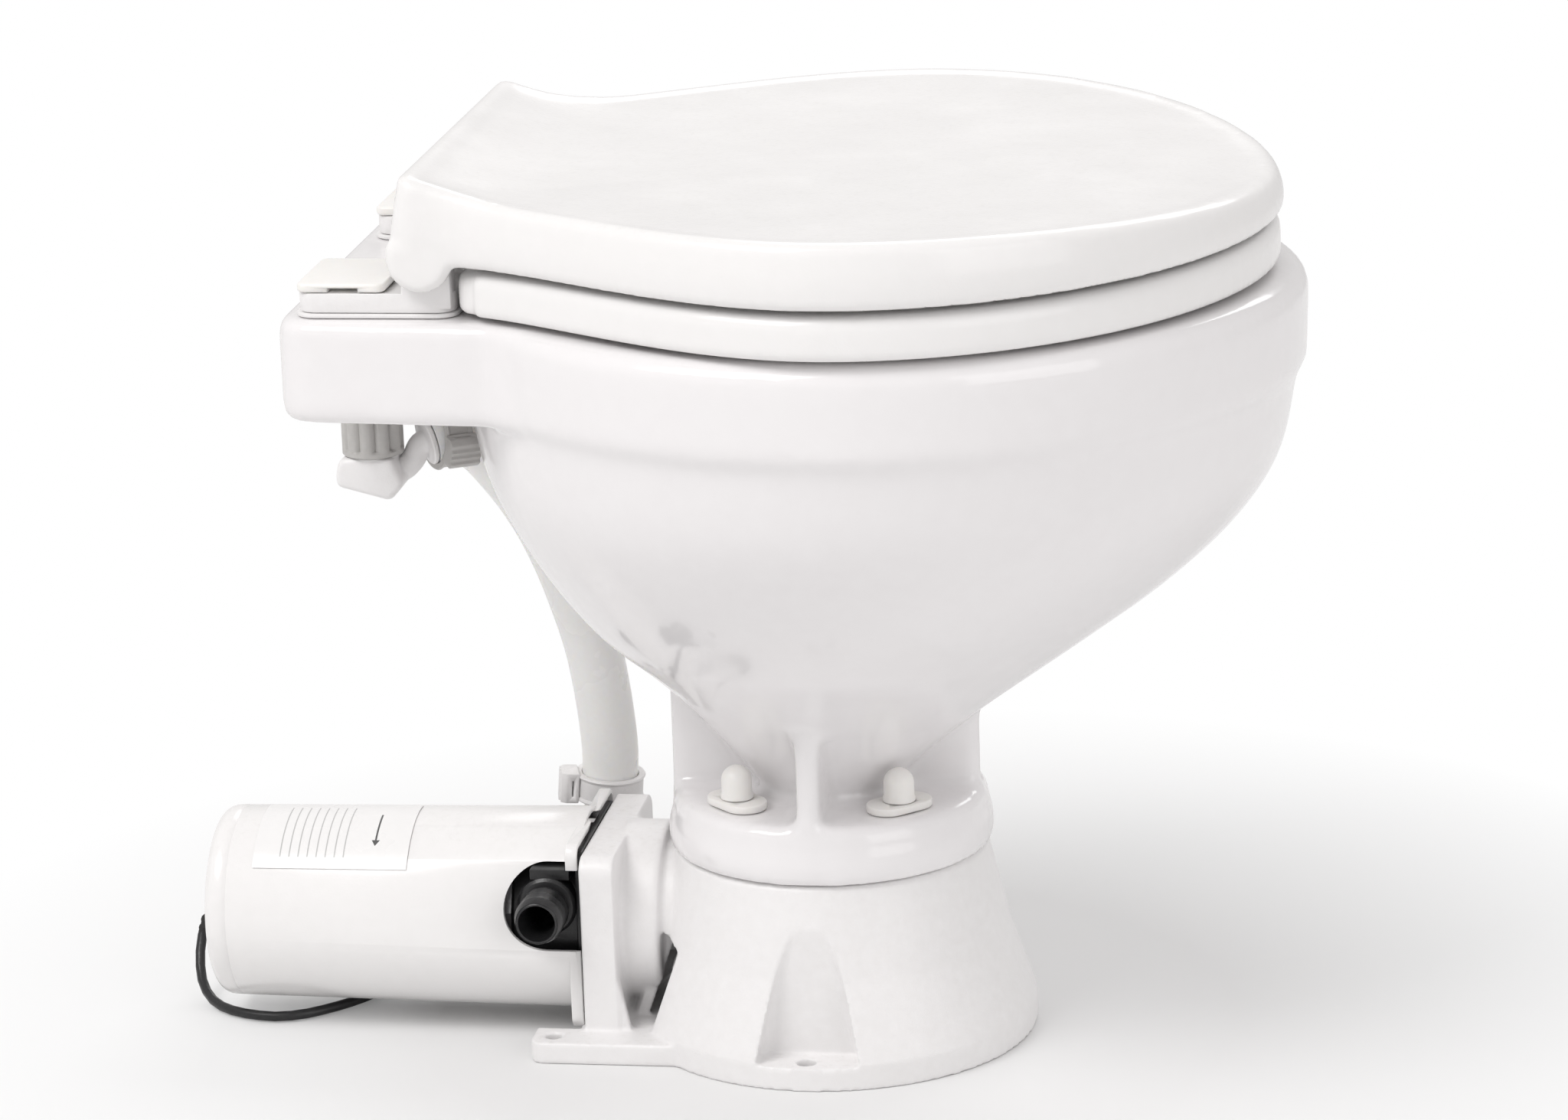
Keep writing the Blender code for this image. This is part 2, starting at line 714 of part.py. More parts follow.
def bowl_cavity():
    """What is cut from the bowl: the rim's opening, the room under its lip, the basin and the outlet."""
    count = len(BOWL_SECTION_SHARES)
    neck = FLANGE_BOTTOM + FLANGE_HEIGHT
    outlet = [(OUTLET_RADIUS * x, OUTLET_RADIUS * y) for x, y in oval(1, 1, 1, 0, ROUND_POWER, ROUND_POWER)]
    rings = [level(outlet, FLANGE_BOTTOM - OVERRUN),
             level(outlet, neck + BOWL_CONE_HEIGHT * OUTLET_FUNNEL_SHARE)]
    rings += [bowl_outline(row, BOWL_WALL) for row in range(CAVITY_FIRST_SECTION, count)]
    lip = RIM_TOP - RIM_LIP_DEPTH
    rings.append(grown_outline(-BOWL_WALL, lip))
    opening = oval(RIM_OPENING_FRONT, RIM_OPENING_REAR, RIM_OPENING_HALF_WIDTH, BOWL_WIDEST_X, FRONT_POWER,
                   REAR_POWER)
    rings += [level(opening, lip + MERGE_DISTANCE * 2), level(opening, RIM_TOP + OVERRUN)]
    return loft("bowl_cavity", rings)


def ledge_lump():
    """The rear ledge: a flat top with walls round a hollow that is open below."""
    half = [(-LEDGE_FAIRING_X, LEDGE_FAIRING_HALF_WIDTH),
            (-(LEDGE_FAIRING_X + BOWL_REAR) / 2, LEDGE_HALF_WIDTH
            + LEDGE_EDGE)]
    for i in range(5):
        angle = math.pi / 2 * (1 + i / 4)
        half.append((-LEDGE_REAR + LEDGE_CORNER * (1 + math.cos(angle)),
                     LEDGE_HALF_WIDTH - LEDGE_CORNER * (1 - math.sin(angle))))
    ledge = prism("ledge_lump", mirrored(half), RIM_TOP - LEDGE_HEIGHT, RIM_TOP)
    soften(ledge, LEDGE_EDGE)
    hollow = rounded((LEDGE_REAR - LEDGE_WALL - RIM_OPENING_REAR) / 2, LEDGE_HALF_WIDTH - LEDGE_WALL,
                     LEDGE_CORNER - LEDGE_WALL, ((LEDGE_WALL - LEDGE_REAR - RIM_OPENING_REAR) / 2, 0))
    return cut(ledge, prism("ledge_hollow", hollow, RIM_TOP - LEDGE_HEIGHT - OVERRUN,
                            RIM_TOP - LEDGE_TOP_THICKNESS))


def make_bowl():
    neck = FLANGE_BOTTOM + FLANGE_HEIGHT
    band = neck + BOWL_CONE_HEIGHT
    count = len(BOWL_SECTION_SHARES)
    foot = [(x, y, neck - FLANGE_HEIGHT / 2) for x, y, _ in bowl_outline(0, 0)]
    rings = [foot] + [bowl_outline(row, 0) for row in range(count)]
    rings.append(grown_outline(BAND_STEP * 0.8, band + BAND_STEP_HEIGHT))
    rings.append(grown_outline(BAND_STEP, RIM_TOP - RIM_EDGE))
    for i in (1, 2, 3):
        angle = math.pi / 2 * i / 3
        rings.append(grown_outline(BAND_STEP - RIM_EDGE * (1 - math.cos(angle)),
                                   RIM_TOP - RIM_EDGE * (1 - math.sin(angle))))
    bowl = loft("bowl", rings, CHINA)
    step_radius = FLANGE_RADIUS - FLANGE_STEP
    flange = turned("flange_lump", (
        (0, FLANGE_BOTTOM), (FLANGE_RADIUS, FLANGE_BOTTOM),
        (FLANGE_RADIUS, FLANGE_BOTTOM + FLANGE_HEIGHT / 2),
        (step_radius, FLANGE_BOTTOM + FLANGE_HEIGHT / 2 + FLANGE_STEP), (step_radius, neck - FLANGE_EDGE),
        (step_radius - FLANGE_EDGE, neck), (0, neck)), steps=LARGE_STEPS)
    rib_bottom = neck - FLANGE_HEIGHT / 2
    along = box("rib_along", (-RIB_REAR_REACH, -RIB_THICKNESS / 2, rib_bottom),
                (RIB_FRONT_REACH, RIB_THICKNESS / 2, neck + RIB_HEIGHT))
    across = box("rib_across", (-RIB_THICKNESS / 2, -RIB_SIDE_REACH, rib_bottom),
                 (RIB_THICKNESS / 2, RIB_SIDE_REACH, neck + RIB_HEIGHT))
    for rib in (along, across):
        soften(rib, RIB_EDGE)
    duct = box("duct_lump", (-LEDGE_REAR + LEDGE_WALL / 2, -DUCT_HALF_WIDTH, RIM_TOP - DUCT_DEPTH),
               (-BOWL_REAR + BOWL_WALL, DUCT_HALF_WIDTH, RIM_TOP - LEDGE_TOP_THICKNESS / 2))
    join(bowl, ledge_lump(), duct, flange, along, across)
    duct_z = RIM_TOP - LEDGE_TOP_THICKNESS - DUCT_BORE_RADIUS * 1.5
    holes = (
        rods("bolt_holes", BOLT_RADIUS + SCREW_HOLE_PLAY, FLANGE_BOTTOM - OVERRUN, neck + OVERRUN,
             [(x, y, 0) for x, y in bowl_places()]),
        rods("hinge_holes", HINGE_BOLT_RADIUS + SCREW_HOLE_PLAY, RIM_TOP - LEDGE_HEIGHT, RIM_TOP + OVERRUN,
             [(HINGE_BOLT_X, sign * HINGE_BOLT_Y, 0) for _, sign in sides()]),
        rod("inlet_bore", INLET_BORE_RADIUS, RIM_TOP - LEDGE_HEIGHT, duct_z + DUCT_BORE_RADIUS,
            at=(INLET_X, 0, 0), steps=SMALL_STEPS),
        rod("duct_bore", DUCT_BORE_RADIUS, -INLET_X, RIM_OPENING_REAR - OVERRUN, axis=(-1, 0, 0),
            at=(0, 0, duct_z), steps=SMALL_STEPS),
    )
    cut(bowl, bowl_cavity(), *holes)


def make_bowl_fixings():
    neck = FLANGE_BOTTOM + FLANGE_HEIGHT
    plate_under = BASE_TOP - BASE_TOP_PLATE
    washer_top = neck + CLEARANCE + WASHER_THICKNESS
    ring("bowl_seal", SEAL_INNER_RADIUS, SEAL_OUTER_RADIUS, BASE_TOP - SEAL_RECESS_DEPTH + CLEARANCE,
         FLANGE_BOTTOM - CLEARANCE, BLACK_RUBBER)
    for i, (x, y) in enumerate(bowl_places(), 1):
        head = plate_under - CLEARANCE
        turned(f"bowl_bolt_{i}", (
            (0, head - BOLT_HEAD_HEIGHT), (BOLT_HEAD_RADIUS, head - BOLT_HEAD_HEIGHT),
            (BOLT_HEAD_RADIUS, head),
            (BOLT_RADIUS, head), (BOLT_RADIUS, washer_top + CAP_NUT_HEIGHT / 2), (0, washer_top
            + CAP_NUT_HEIGHT / 2)), STEEL, at=(x, y, 0), steps=SMALL_STEPS)
        half = (WASHER_LENGTH - WASHER_WIDTH) / 2
        outline = [(sx * half + WASHER_WIDTH / 2 * math.cos(a), WASHER_WIDTH / 2 * math.sin(a))
                   for sx, start in ((1, -math.pi / 2), (-1, math.pi / 2))
                   for a in [start + math.pi * k / 8 for k in range(9)]]
        across = Matrix.Translation((x, y, 0)) @ Matrix.Rotation(math.atan2(y, x) + math.pi / 2, 4, "Z")
        washer = prism(f"bowl_washer_{i}", outline, neck + CLEARANCE, washer_top, IVORY, across)
        bore = BOLT_RADIUS + SCREW_HOLE_PLAY
        cut(washer, rod(f"washer_hole_{i}", bore, neck - OVERRUN, washer_top + OVERRUN, at=(x, y, 0),
                        steps=SMALL_STEPS))
        low = washer_top + CLEARANCE
        skirt = low + CAP_NUT_HEIGHT * CAP_NUT_SKIRT_SHARE
        dome = [(CAP_NUT_RADIUS * math.cos(math.pi / 2 * k / 4),
                 skirt + CAP_NUT_HEIGHT * (1 - CAP_NUT_SKIRT_SHARE) * math.sin(math.pi / 2 * k / 4))
                for k in range(4)]
        turned(f"bowl_cap_nut_{i}", [(0, skirt), (bore, skirt), (bore, low), (CAP_NUT_RADIUS, low)] + dome
               + [
            (0, low + CAP_NUT_HEIGHT)], IVORY, at=(x, y, 0), steps=SMALL_STEPS)


def ellipse(half_x, half_y, steps=LARGE_STEPS):
    return [(half_x * math.cos(math.tau * i / steps), half_y * math.sin(math.tau * i / steps))
            for i in range(steps)]


def base_levels(inset, low, high):
    """The housing's cone between two heights, drawn in by a wall."""
    waist_x = BASE_TOP_RADIUS + (BASE_BOTTOM_X - BASE_TOP_RADIUS) * BASE_WAIST_SHARE
    waist_y = BASE_TOP_RADIUS + (BASE_BOTTOM_Y - BASE_TOP_RADIUS) * BASE_WAIST_SHARE
    return [level(ellipse(half_x - inset, half_y - inset), z) for half_x, half_y, z in (
        (BASE_BOTTOM_X, BASE_BOTTOM_Y, low), (BASE_BOTTOM_X, BASE_BOTTOM_Y, BASE_RIM_HEIGHT),
        (waist_x, waist_y, BASE_WAIST_HEIGHT), (BASE_TOP_RADIUS, BASE_TOP_RADIUS, high))]


def along_x(name, radius, front, rear, z, steps=ROUND_STEPS):
    """A cutter or lump turned about a line along X at a height."""
    return rod(name, radius, front, rear, axis=(-1, 0, 0), at=(0, 0, z), steps=steps)


def make_base_housing():
    base = loft("base_housing", base_levels(0, 0, BASE_TOP - BASE_TOP_EDGE) + [
        level(ellipse(BASE_TOP_RADIUS - BASE_TOP_EDGE, BASE_TOP_RADIUS - BASE_TOP_EDGE), BASE_TOP)],
        SATIN_WHITE)
    far = []
    for i in range(4):
        angle = math.pi / 2 * (1 + i / 3)
        far.append((-TAB_REAR + TAB_CORNER * (1 + math.cos(angle)),
                    FOOT_HALF_WIDTH - TAB_CORNER * (1 - math.sin(angle))))
    half = [(SUMP_RADIUS, FOOT_HALF_WIDTH)] + far + [
        (-TAB_REAR, FOOT_HALF_WIDTH - TAB_WIDTH), (-FOOT_REAR, FOOT_HALF_WIDTH - TAB_WIDTH)]
    foot = prism("foot_lump", mirrored(half), 0, FOOT_THICKNESS)
    plate_z = (PLATE_TOP + FOOT_THICKNESS / 2) / 2
    plate = prism("plate_lump", rounded(PLATE_HALF_WIDTH, PLATE_TOP - plate_z, PLATE_CORNER, (0, plate_z)),
                  -PLATE_REAR, -PLATE_FRONT, to_world=ALONG_X)
    plate_foot = box("plate_foot_lump", (-PLATE_REAR, -PLATE_HALF_WIDTH, FOOT_THICKNESS / 2),
                     (-PLATE_FRONT, PLATE_HALF_WIDTH, FOOT_THICKNESS + PLATE_CORNER * 2))
    drum = turned("drum_lump", ((0, DRUM_FRONT), (DRUM_RADIUS - DRUM_EDGE, DRUM_FRONT),
                                (DRUM_RADIUS - DRUM_EDGE * 0.3, DRUM_FRONT + DRUM_EDGE * 0.3),
                                (DRUM_RADIUS, DRUM_FRONT + DRUM_EDGE), (DRUM_RADIUS, PLATE_FRONT + OVERRUN),
                                (0, PLATE_FRONT + OVERRUN)), axis=(-1, 0, 0), at=(0, 0, AXIS_Z),
                                steps=LARGE_STEPS)
    spout = along_x("spout_lump", SPOUT_RADIUS, SUMP_RADIUS / 2, DRUM_FRONT + DRUM_EDGE / 2, SPOUT_Z)
    gussets = []
    for side, sign in sides():
        y = sign * (PLATE_HALF_WIDTH - GUSSET_THICKNESS * 1.5)
        low = FOOT_THICKNESS / 2
        outline = ((-PLATE_FRONT - OVERRUN, low), (-PLATE_FRONT + GUSSET_LEG, low),
                   (-PLATE_FRONT + GUSSET_LEG, FOOT_THICKNESS + OVERRUN), (-PLATE_FRONT - OVERRUN,
                   FOOT_THICKNESS + GUSSET_HEIGHT))
        gussets.append(prism("gusset_" + side, outline, -y - GUSSET_THICKNESS / 2, -y + GUSSET_THICKNESS
                             / 2,
                             to_world=ALONG_Y))
    pipe = DISCHARGE_RADIUS + DISCHARGE_WALL
    discharge = rod("discharge_lump", pipe, CHAMBER_RADIUS * 0.8, PLATE_HALF_WIDTH + DISCHARGE_STUB_LENGTH,
                    axis=(0, 1, 0), at=(-discharge_x(), 0, DISCHARGE_Z), steps=ROUND_STEPS)
    sump_wall = rod("sump_wall", SUMP_RADIUS + SUMP_WALL, SUMP_FLOOR - SUMP_WALL, BASE_TOP + OVERRUN)
    spout_wall = along_x("spout_wall", SPOUT_RADIUS, 0, DRUM_FRONT + OVERRUN, SPOUT_Z)
    niche_places = [(0, sign * NICHE_Y, 0) for _, sign in sides()]
    niche_walls = rods("niche_walls", NICHE_RADIUS + BASE_WALL, -OVERRUN * 2, BASE_TOP, niche_places,
                       steps=ROUND_STEPS)
    foot_floor = box("foot_floor", (-FOOT_REAR, -FOOT_HALF_WIDTH, -OVERRUN * 2),
                     (-SUMP_RADIUS - SUMP_WALL, FOOT_HALF_WIDTH, FOOT_THICKNESS))
    hollow = loft("base_hollow", base_levels(BASE_WALL, -OVERRUN, BASE_TOP - BASE_TOP_PLATE))
    post = rod("sump_post", SUMP_POST_RADIUS, -OVERRUN * 2, SUMP_FLOOR, steps=SMALL_STEPS)
    cut(hollow, sump_wall, post, spout_wall, niche_walls, foot_floor)
    niches = rods("niches", NICHE_RADIUS, PAD_HEIGHT, NICHE_TOP, niche_places, steps=ROUND_STEPS)
    join_closed(base, foot, plate, plate_foot, drum, spout, *gussets, discharge)
    cut_closed(base, hollow, niches)
    cut_closed(base, rod("sump_bore", SUMP_RADIUS, SUMP_FLOOR, BASE_TOP + OVERRUN),
        along_x("spout_bore", SPOUT_RADIUS - SPOUT_WALL, 0, DRUM_FRONT + DRUM_EDGE / 4, SPOUT_Z),
        along_x("eye", EYE_RADIUS, DRUM_FRONT - OVERRUN, CHAMBER_FRONT, AXIS_Z),
        along_x("cutter_recess", CUTTER_RADIUS + CLEARANCE * 2, CHAMBER_FRONT - CUTTER_THICKNESS
                - CLEARANCE,
                CHAMBER_FRONT + OVERRUN, AXIS_Z),
        along_x("chamber", CHAMBER_RADIUS, CHAMBER_FRONT, PLATE_REAR + OVERRUN, AXIS_Z),
        ring("seal_recess", SEAL_INNER_RADIUS - CLEARANCE, SEAL_OUTER_RADIUS + CLEARANCE,
             BASE_TOP - SEAL_RECESS_DEPTH, BASE_TOP + OVERRUN, None),
        rods("base_bolt_holes", BOLT_RADIUS + SCREW_HOLE_PLAY, BASE_TOP - BASE_TOP_PLATE - OVERRUN,
             BASE_TOP + OVERRUN, [(x, y, 0) for x, y in bowl_places()]),
        rods("side_holes", SIDE_HOLE_RADIUS, -OVERRUN, PAD_HEIGHT + OVERRUN,
             [(SIDE_HOLE_X, s * SIDE_HOLE_Y, 0) for _, s in sides()]),
        rods("tab_holes", TAB_HOLE_RADIUS, -OVERRUN, FOOT_THICKNESS + OVERRUN,
             [(TAB_HOLE_X, s * TAB_HOLE_Y, 0) for _, s in sides()]),
        rod("discharge_bore", DISCHARGE_RADIUS - DISCHARGE_WALL / 2, CHAMBER_RADIUS * 0.6,
            PLATE_HALF_WIDTH + DISCHARGE_STUB_LENGTH + OVERRUN, axis=(0, 1, 0),
            at=(-discharge_x(), 0, DISCHARGE_Z), steps=ROUND_STEPS))


def discharge_x():
    """How far behind the bowl's axis the discharge pipe stands: in the middle of drum and plate."""
    return (DRUM_FRONT + PLATE_REAR) / 2


def make_discharge_fitting():
    """The elbow on the far side that the discharge hose would push onto, with its rubber valve inside."""
    pipe = DISCHARGE_RADIUS + DISCHARGE_WALL
    start = PLATE_HALF_WIDTH + DISCHARGE_STUB_LENGTH + CLEARANCE
    turn = Vector((-discharge_x(), start + DISCHARGE_TURN, DISCHARGE_Z))
    route = [Vector((turn.x, start, turn.z))]
    for i in range(7):
        angle = math.pi / 2 * i / 6
        route.append(turn + Vector((DISCHARGE_TURN * (1 - math.cos(angle)), -DISCHARGE_TURN / 2
                                    + DISCHARGE_TURN * math.sin(angle), 0)))
    route.append(route[-1] + Vector((DISCHARGE_TAIL, 0, 0)))
    elbow = tube("discharge_elbow", route, pipe, GREY_PLASTIC)
    end = route[-1].x
    join(elbow, barbed("discharge_tail", pipe, pipe - DISCHARGE_WALL / 2, end - DISCHARGE_TAIL, end,
                       DISCHARGE_BARB,
                       (1, 0, 0), (0, route[-1].y, DISCHARGE_Z)))
    cut(elbow, tube("discharge_elbow_bore", longer(route, OVERRUN), DISCHARGE_RADIUS))
    outer = DISCHARGE_RADIUS * math.cos(math.pi / SMALL_STEPS) - RUNNING_GAP
    inner = outer - VALVE_WALL
    tip = end - VALVE_LENGTH
    ring_end = end - CLEARANCE
    turned("joker_valve", ((inner, ring_end), (outer, ring_end), (outer, ring_end - VALVE_WALL * 2),
                           (outer * VALVE_LIP_SHARE + VALVE_WALL, tip), (outer * VALVE_LIP_SHARE, tip),
                           (inner, ring_end - VALVE_WALL * 2)), BLACK_RUBBER, axis=(1, 0, 0),
           at=(0, route[-1].y, DISCHARGE_Z), steps=SMALL_STEPS)


def vanes(name, count, inner, outer, thickness, front, rear):
    """Straight blades about the motor's axis, between two distances behind the bowl's axis."""
    bm = bmesh.new()
    for i in range(count):
        made = bmesh.ops.create_cube(bm, size=1)["verts"]
        size = Matrix.Diagonal((rear - front, outer - inner, thickness, 1))
        shift = Matrix.Translation((-(front + rear) / 2, (outer + inner) / 2, 0))
        turn = Matrix.Rotation(math.tau * i / count, 4, "X")
        bmesh.ops.transform(bm, matrix=Matrix.Translation((0, 0, AXIS_Z)) @ turn @ shift @ size, verts=made)
    return place(bm, name)


def wheel(name, look, radius, disc_rear, disc, vane_front, vane_radius, hub, count, thickness):
    """A disc with a hub and blades, bored for the shaft."""
    made = turned(name, ((0, disc_rear - disc), (radius, disc_rear - disc), (radius, disc_rear),
                         (0, disc_rear)),
                  look, axis=(-1, 0, 0), at=(0, 0, AXIS_Z))
    join_closed(made, along_x(name + "_hub", hub, vane_front - CLEARANCE, disc_rear - disc / 2, AXIS_Z,
                              SMALL_STEPS),
         vanes(name + "_vanes", count, hub * 0.6, vane_radius, thickness, vane_front, disc_rear - disc / 3))
    return cut_closed(made, along_x(name + "_bore", SHAFT_RADIUS + CLEARANCE * 2, vane_front - OVERRUN,
                             disc_rear + OVERRUN, AXIS_Z, SMALL_STEPS))


def make_pump():
    """What turns and seals between the bowl's spout and the motor."""
    bore = SHAFT_RADIUS + CLEARANCE * 2
    axis = {"axis": (-1, 0, 0), "at": (0, 0, AXIS_Z)}
    cutter_rear = CHAMBER_FRONT - CLEARANCE
    cutter = ring("cutter_plate", bore + RUNNING_GAP / 2, CUTTER_RADIUS, cutter_rear - CUTTER_THICKNESS
                  + CLEARANCE, cutter_rear, STEEL, **axis)
    spots = [(0, CUTTER_HOLE_CIRCLE * math.cos(math.tau * i / CUTTER_HOLES),
              AXIS_Z + CUTTER_HOLE_CIRCLE * math.sin(math.tau * i
                                                     / CUTTER_HOLES)) for i in range(CUTTER_HOLES)]
    cut(cutter, rods("cutter_holes", CUTTER_HOLE_RADIUS, cutter_rear - CUTTER_THICKNESS - OVERRUN,
                     cutter_rear + OVERRUN, spots, (-1, 0, 0), SMALL_STEPS // 2))
    chopper_rear = cutter_rear - CUTTER_THICKNESS - RUNNING_GAP
    blade = prism("chopper_blade", rounded(CHOPPER_WIDTH / 2, CHOPPER_LENGTH / 2, CHOPPER_WIDTH / 4,
                                           (0, AXIS_Z)),
                  -chopper_rear, -chopper_rear + CHOPPER_THICKNESS, STEEL, ALONG_X)
    join_closed(blade, along_x("blade_hub", CHOPPER_HUB_RADIUS, chopper_rear - CHOPPER_THICKNESS
                               - CLEARANCE,
                               chopper_rear, AXIS_Z, SMALL_STEPS))
    cut_closed(blade, along_x("blade_bore", bore, SHAFT_FRONT, chopper_rear + OVERRUN, AXIS_Z, SMALL_STEPS))
    seal_front = PLATE_REAR - SEAL_RING_LENGTH
    disc_rear = seal_front - RUNNING_GAP
    wheel("discharge_impeller", BLACK_PLASTIC, IMPELLER_RADIUS, disc_rear, IMPELLER_DISC,
          disc_rear - IMPELLER_DISC - IMPELLER_VANE_LENGTH, IMPELLER_RADIUS, IMPELLER_HUB_RADIUS,
          IMPELLER_VANES, IMPELLER_VANE_THICKNESS)
    ring("shaft_seal", bore + CLEARANCE, SEAL_RING_RADIUS, seal_front, PLATE_REAR, BLACK_RUBBER, **axis)
    backplate = prism("pump_backplate", rounded(BACKPLATE_HALF_WIDTH, BACKPLATE_HALF_HEIGHT,
                                                BACKPLATE_CORNER,
                                                (0, AXIS_Z)),
                      -backplate_rear(), -PLATE_REAR - CLEARANCE, BLACK_RUBBER, ALONG_X)
    cut(backplate, along_x("backplate_bore", bore + CLEARANCE, PLATE_REAR - OVERRUN, backplate_rear()
                           + OVERRUN,
                           AXIS_Z, SMALL_STEPS))


def backplate_rear():
    return PLATE_REAR + CLEARANCE + BACKPLATE_THICKNESS


def barbed(name, radius, core, root, tip, height, axis, at):
    """A hose tail from its root to its tip, with saw-toothed rings that slant towards the tip."""
    profile = [(0, root), (core, root), (core, tip - BARB_PITCH * BARBS)]
    for i in range(BARBS):
        low = tip - BARB_PITCH * (BARBS - i)
        profile += [(radius + height, low), (radius, low + BARB_PITCH)]
    profile[-1] = (radius, tip)
    profile.append((0, tip))
    return turned(name, profile, axis=axis, at=at)


def make_flush_pump():
    """The black pump that lifts flush water: a can, an inlet tail on the near side and an outlet stub."""
    front = backplate_rear() + CLEARANCE
    rear = front + FLUSH_BODY_LENGTH
    axis = {"axis": (-1, 0, 0), "at": (0, 0, AXIS_Z)}
    body = turned("flush_pump_body", ((0, front), (FLUSH_BODY_RADIUS, front), (FLUSH_BODY_RADIUS, rear),
                                      (0, rear)), BLACK_PLASTIC, **axis)
    inside = FLUSH_CHAMBER_RADIUS * 0.7
    stub = rod("outlet_stub", PORT_RADIUS, inside, OUTLET_TIP_Y, axis=(0, 1, 0), at=(PORT_X, 0, PORT_Z))
    join(body, barbed("inlet_tail", PORT_RADIUS, PORT_RADIUS, inside, INLET_TIP_Y, BARB_HEIGHT, (0, -1, 0),
                      (PORT_X, 0, PORT_Z)), stub)
    chamber_rear = front + FLUSH_CHAMBER_DEPTH
    cut(body, along_x("flush_chamber", FLUSH_CHAMBER_RADIUS, front - OVERRUN, chamber_rear, AXIS_Z),
        along_x("flush_shaft_hole", SHAFT_RADIUS + CLEARANCE * 3, chamber_rear - OVERRUN, rear + OVERRUN,
                AXIS_Z,
                SMALL_STEPS),
        rod("inlet_tail_bore", PORT_BORE_RADIUS, inside - OVERRUN, INLET_TIP_Y + OVERRUN, axis=(0, -1, 0),
            at=(PORT_X, 0, PORT_Z), steps=SMALL_STEPS),
        rod("outlet_stub_bore", PORT_BORE_RADIUS, inside - OVERRUN, OUTLET_TIP_Y + OVERRUN, axis=(0, 1, 0),
            at=(PORT_X, 0, PORT_Z), steps=SMALL_STEPS))
    wheel_rear = chamber_rear - RUNNING_GAP
    wheel("flush_impeller", BLACK_RUBBER, FLUSH_IMPELLER_RADIUS, wheel_rear, FLUSH_BLADE_THICKNESS,
          wheel_rear - FLUSH_IMPELLER_LENGTH, FLUSH_IMPELLER_RADIUS, IMPELLER_HUB_RADIUS, FLUSH_BLADES,
          FLUSH_BLADE_THICKNESS)
    return rear


def make_motor(front):
    """The motor behind the flush pump: its can, shaft and armature."""
    start = front + CLEARANCE
    axis = {"axis": (-1, 0, 0), "at": (0, 0, AXIS_Z)}
    hole = SHAFT_RADIUS + CLEARANCE * 3
    wall = MOTOR_RADIUS - MOTOR_WALL
    pocket = SHAFT_REAR + RUNNING_GAP
    turned("motor_can", (
        (0, MOTOR_REAR), (MOTOR_RADIUS - MOTOR_WALL, MOTOR_REAR), (MOTOR_RADIUS, MOTOR_REAR - MOTOR_WALL),
        (MOTOR_RADIUS, start), (hole, start), (hole, start + MOTOR_END_THICKNESS),
        (wall, start + MOTOR_END_THICKNESS), (wall, MOTOR_REAR - MOTOR_END_THICKNESS - MOTOR_WALL),
        (hole + MOTOR_WALL * 2, MOTOR_REAR - MOTOR_END_THICKNESS - MOTOR_WALL),
        (hole + MOTOR_WALL, pocket - MOTOR_END_THICKNESS), (hole, pocket - MOTOR_END_THICKNESS),
        (hole, pocket),
        (0, pocket)), STEEL, **axis)
    shaft = along_x("motor_shaft", SHAFT_RADIUS, SHAFT_FRONT, SHAFT_REAR, AXIS_Z, SMALL_STEPS)
    shaft.hide_render = False
    shaft.display_type = "TEXTURED"
    shaft.data.materials.append(finish("motor_shaft", *STEEL))
    ring("motor_armature", SHAFT_RADIUS + CLEARANCE, ARMATURE_RADIUS, ARMATURE_FRONT, ARMATURE_REAR, STEEL,
         **axis)


def cover_radius(behind, inset=0):
    """The drawn cover's radius at a distance behind the bowl's axis."""
    share = (behind - cover_front()) / (COVER_REAR - cover_front())
    return COVER_FRONT_RADIUS + (COVER_REAR_RADIUS - COVER_FRONT_RADIUS) * share - inset


def cover_front():
    return backplate_rear() + CLEARANCE


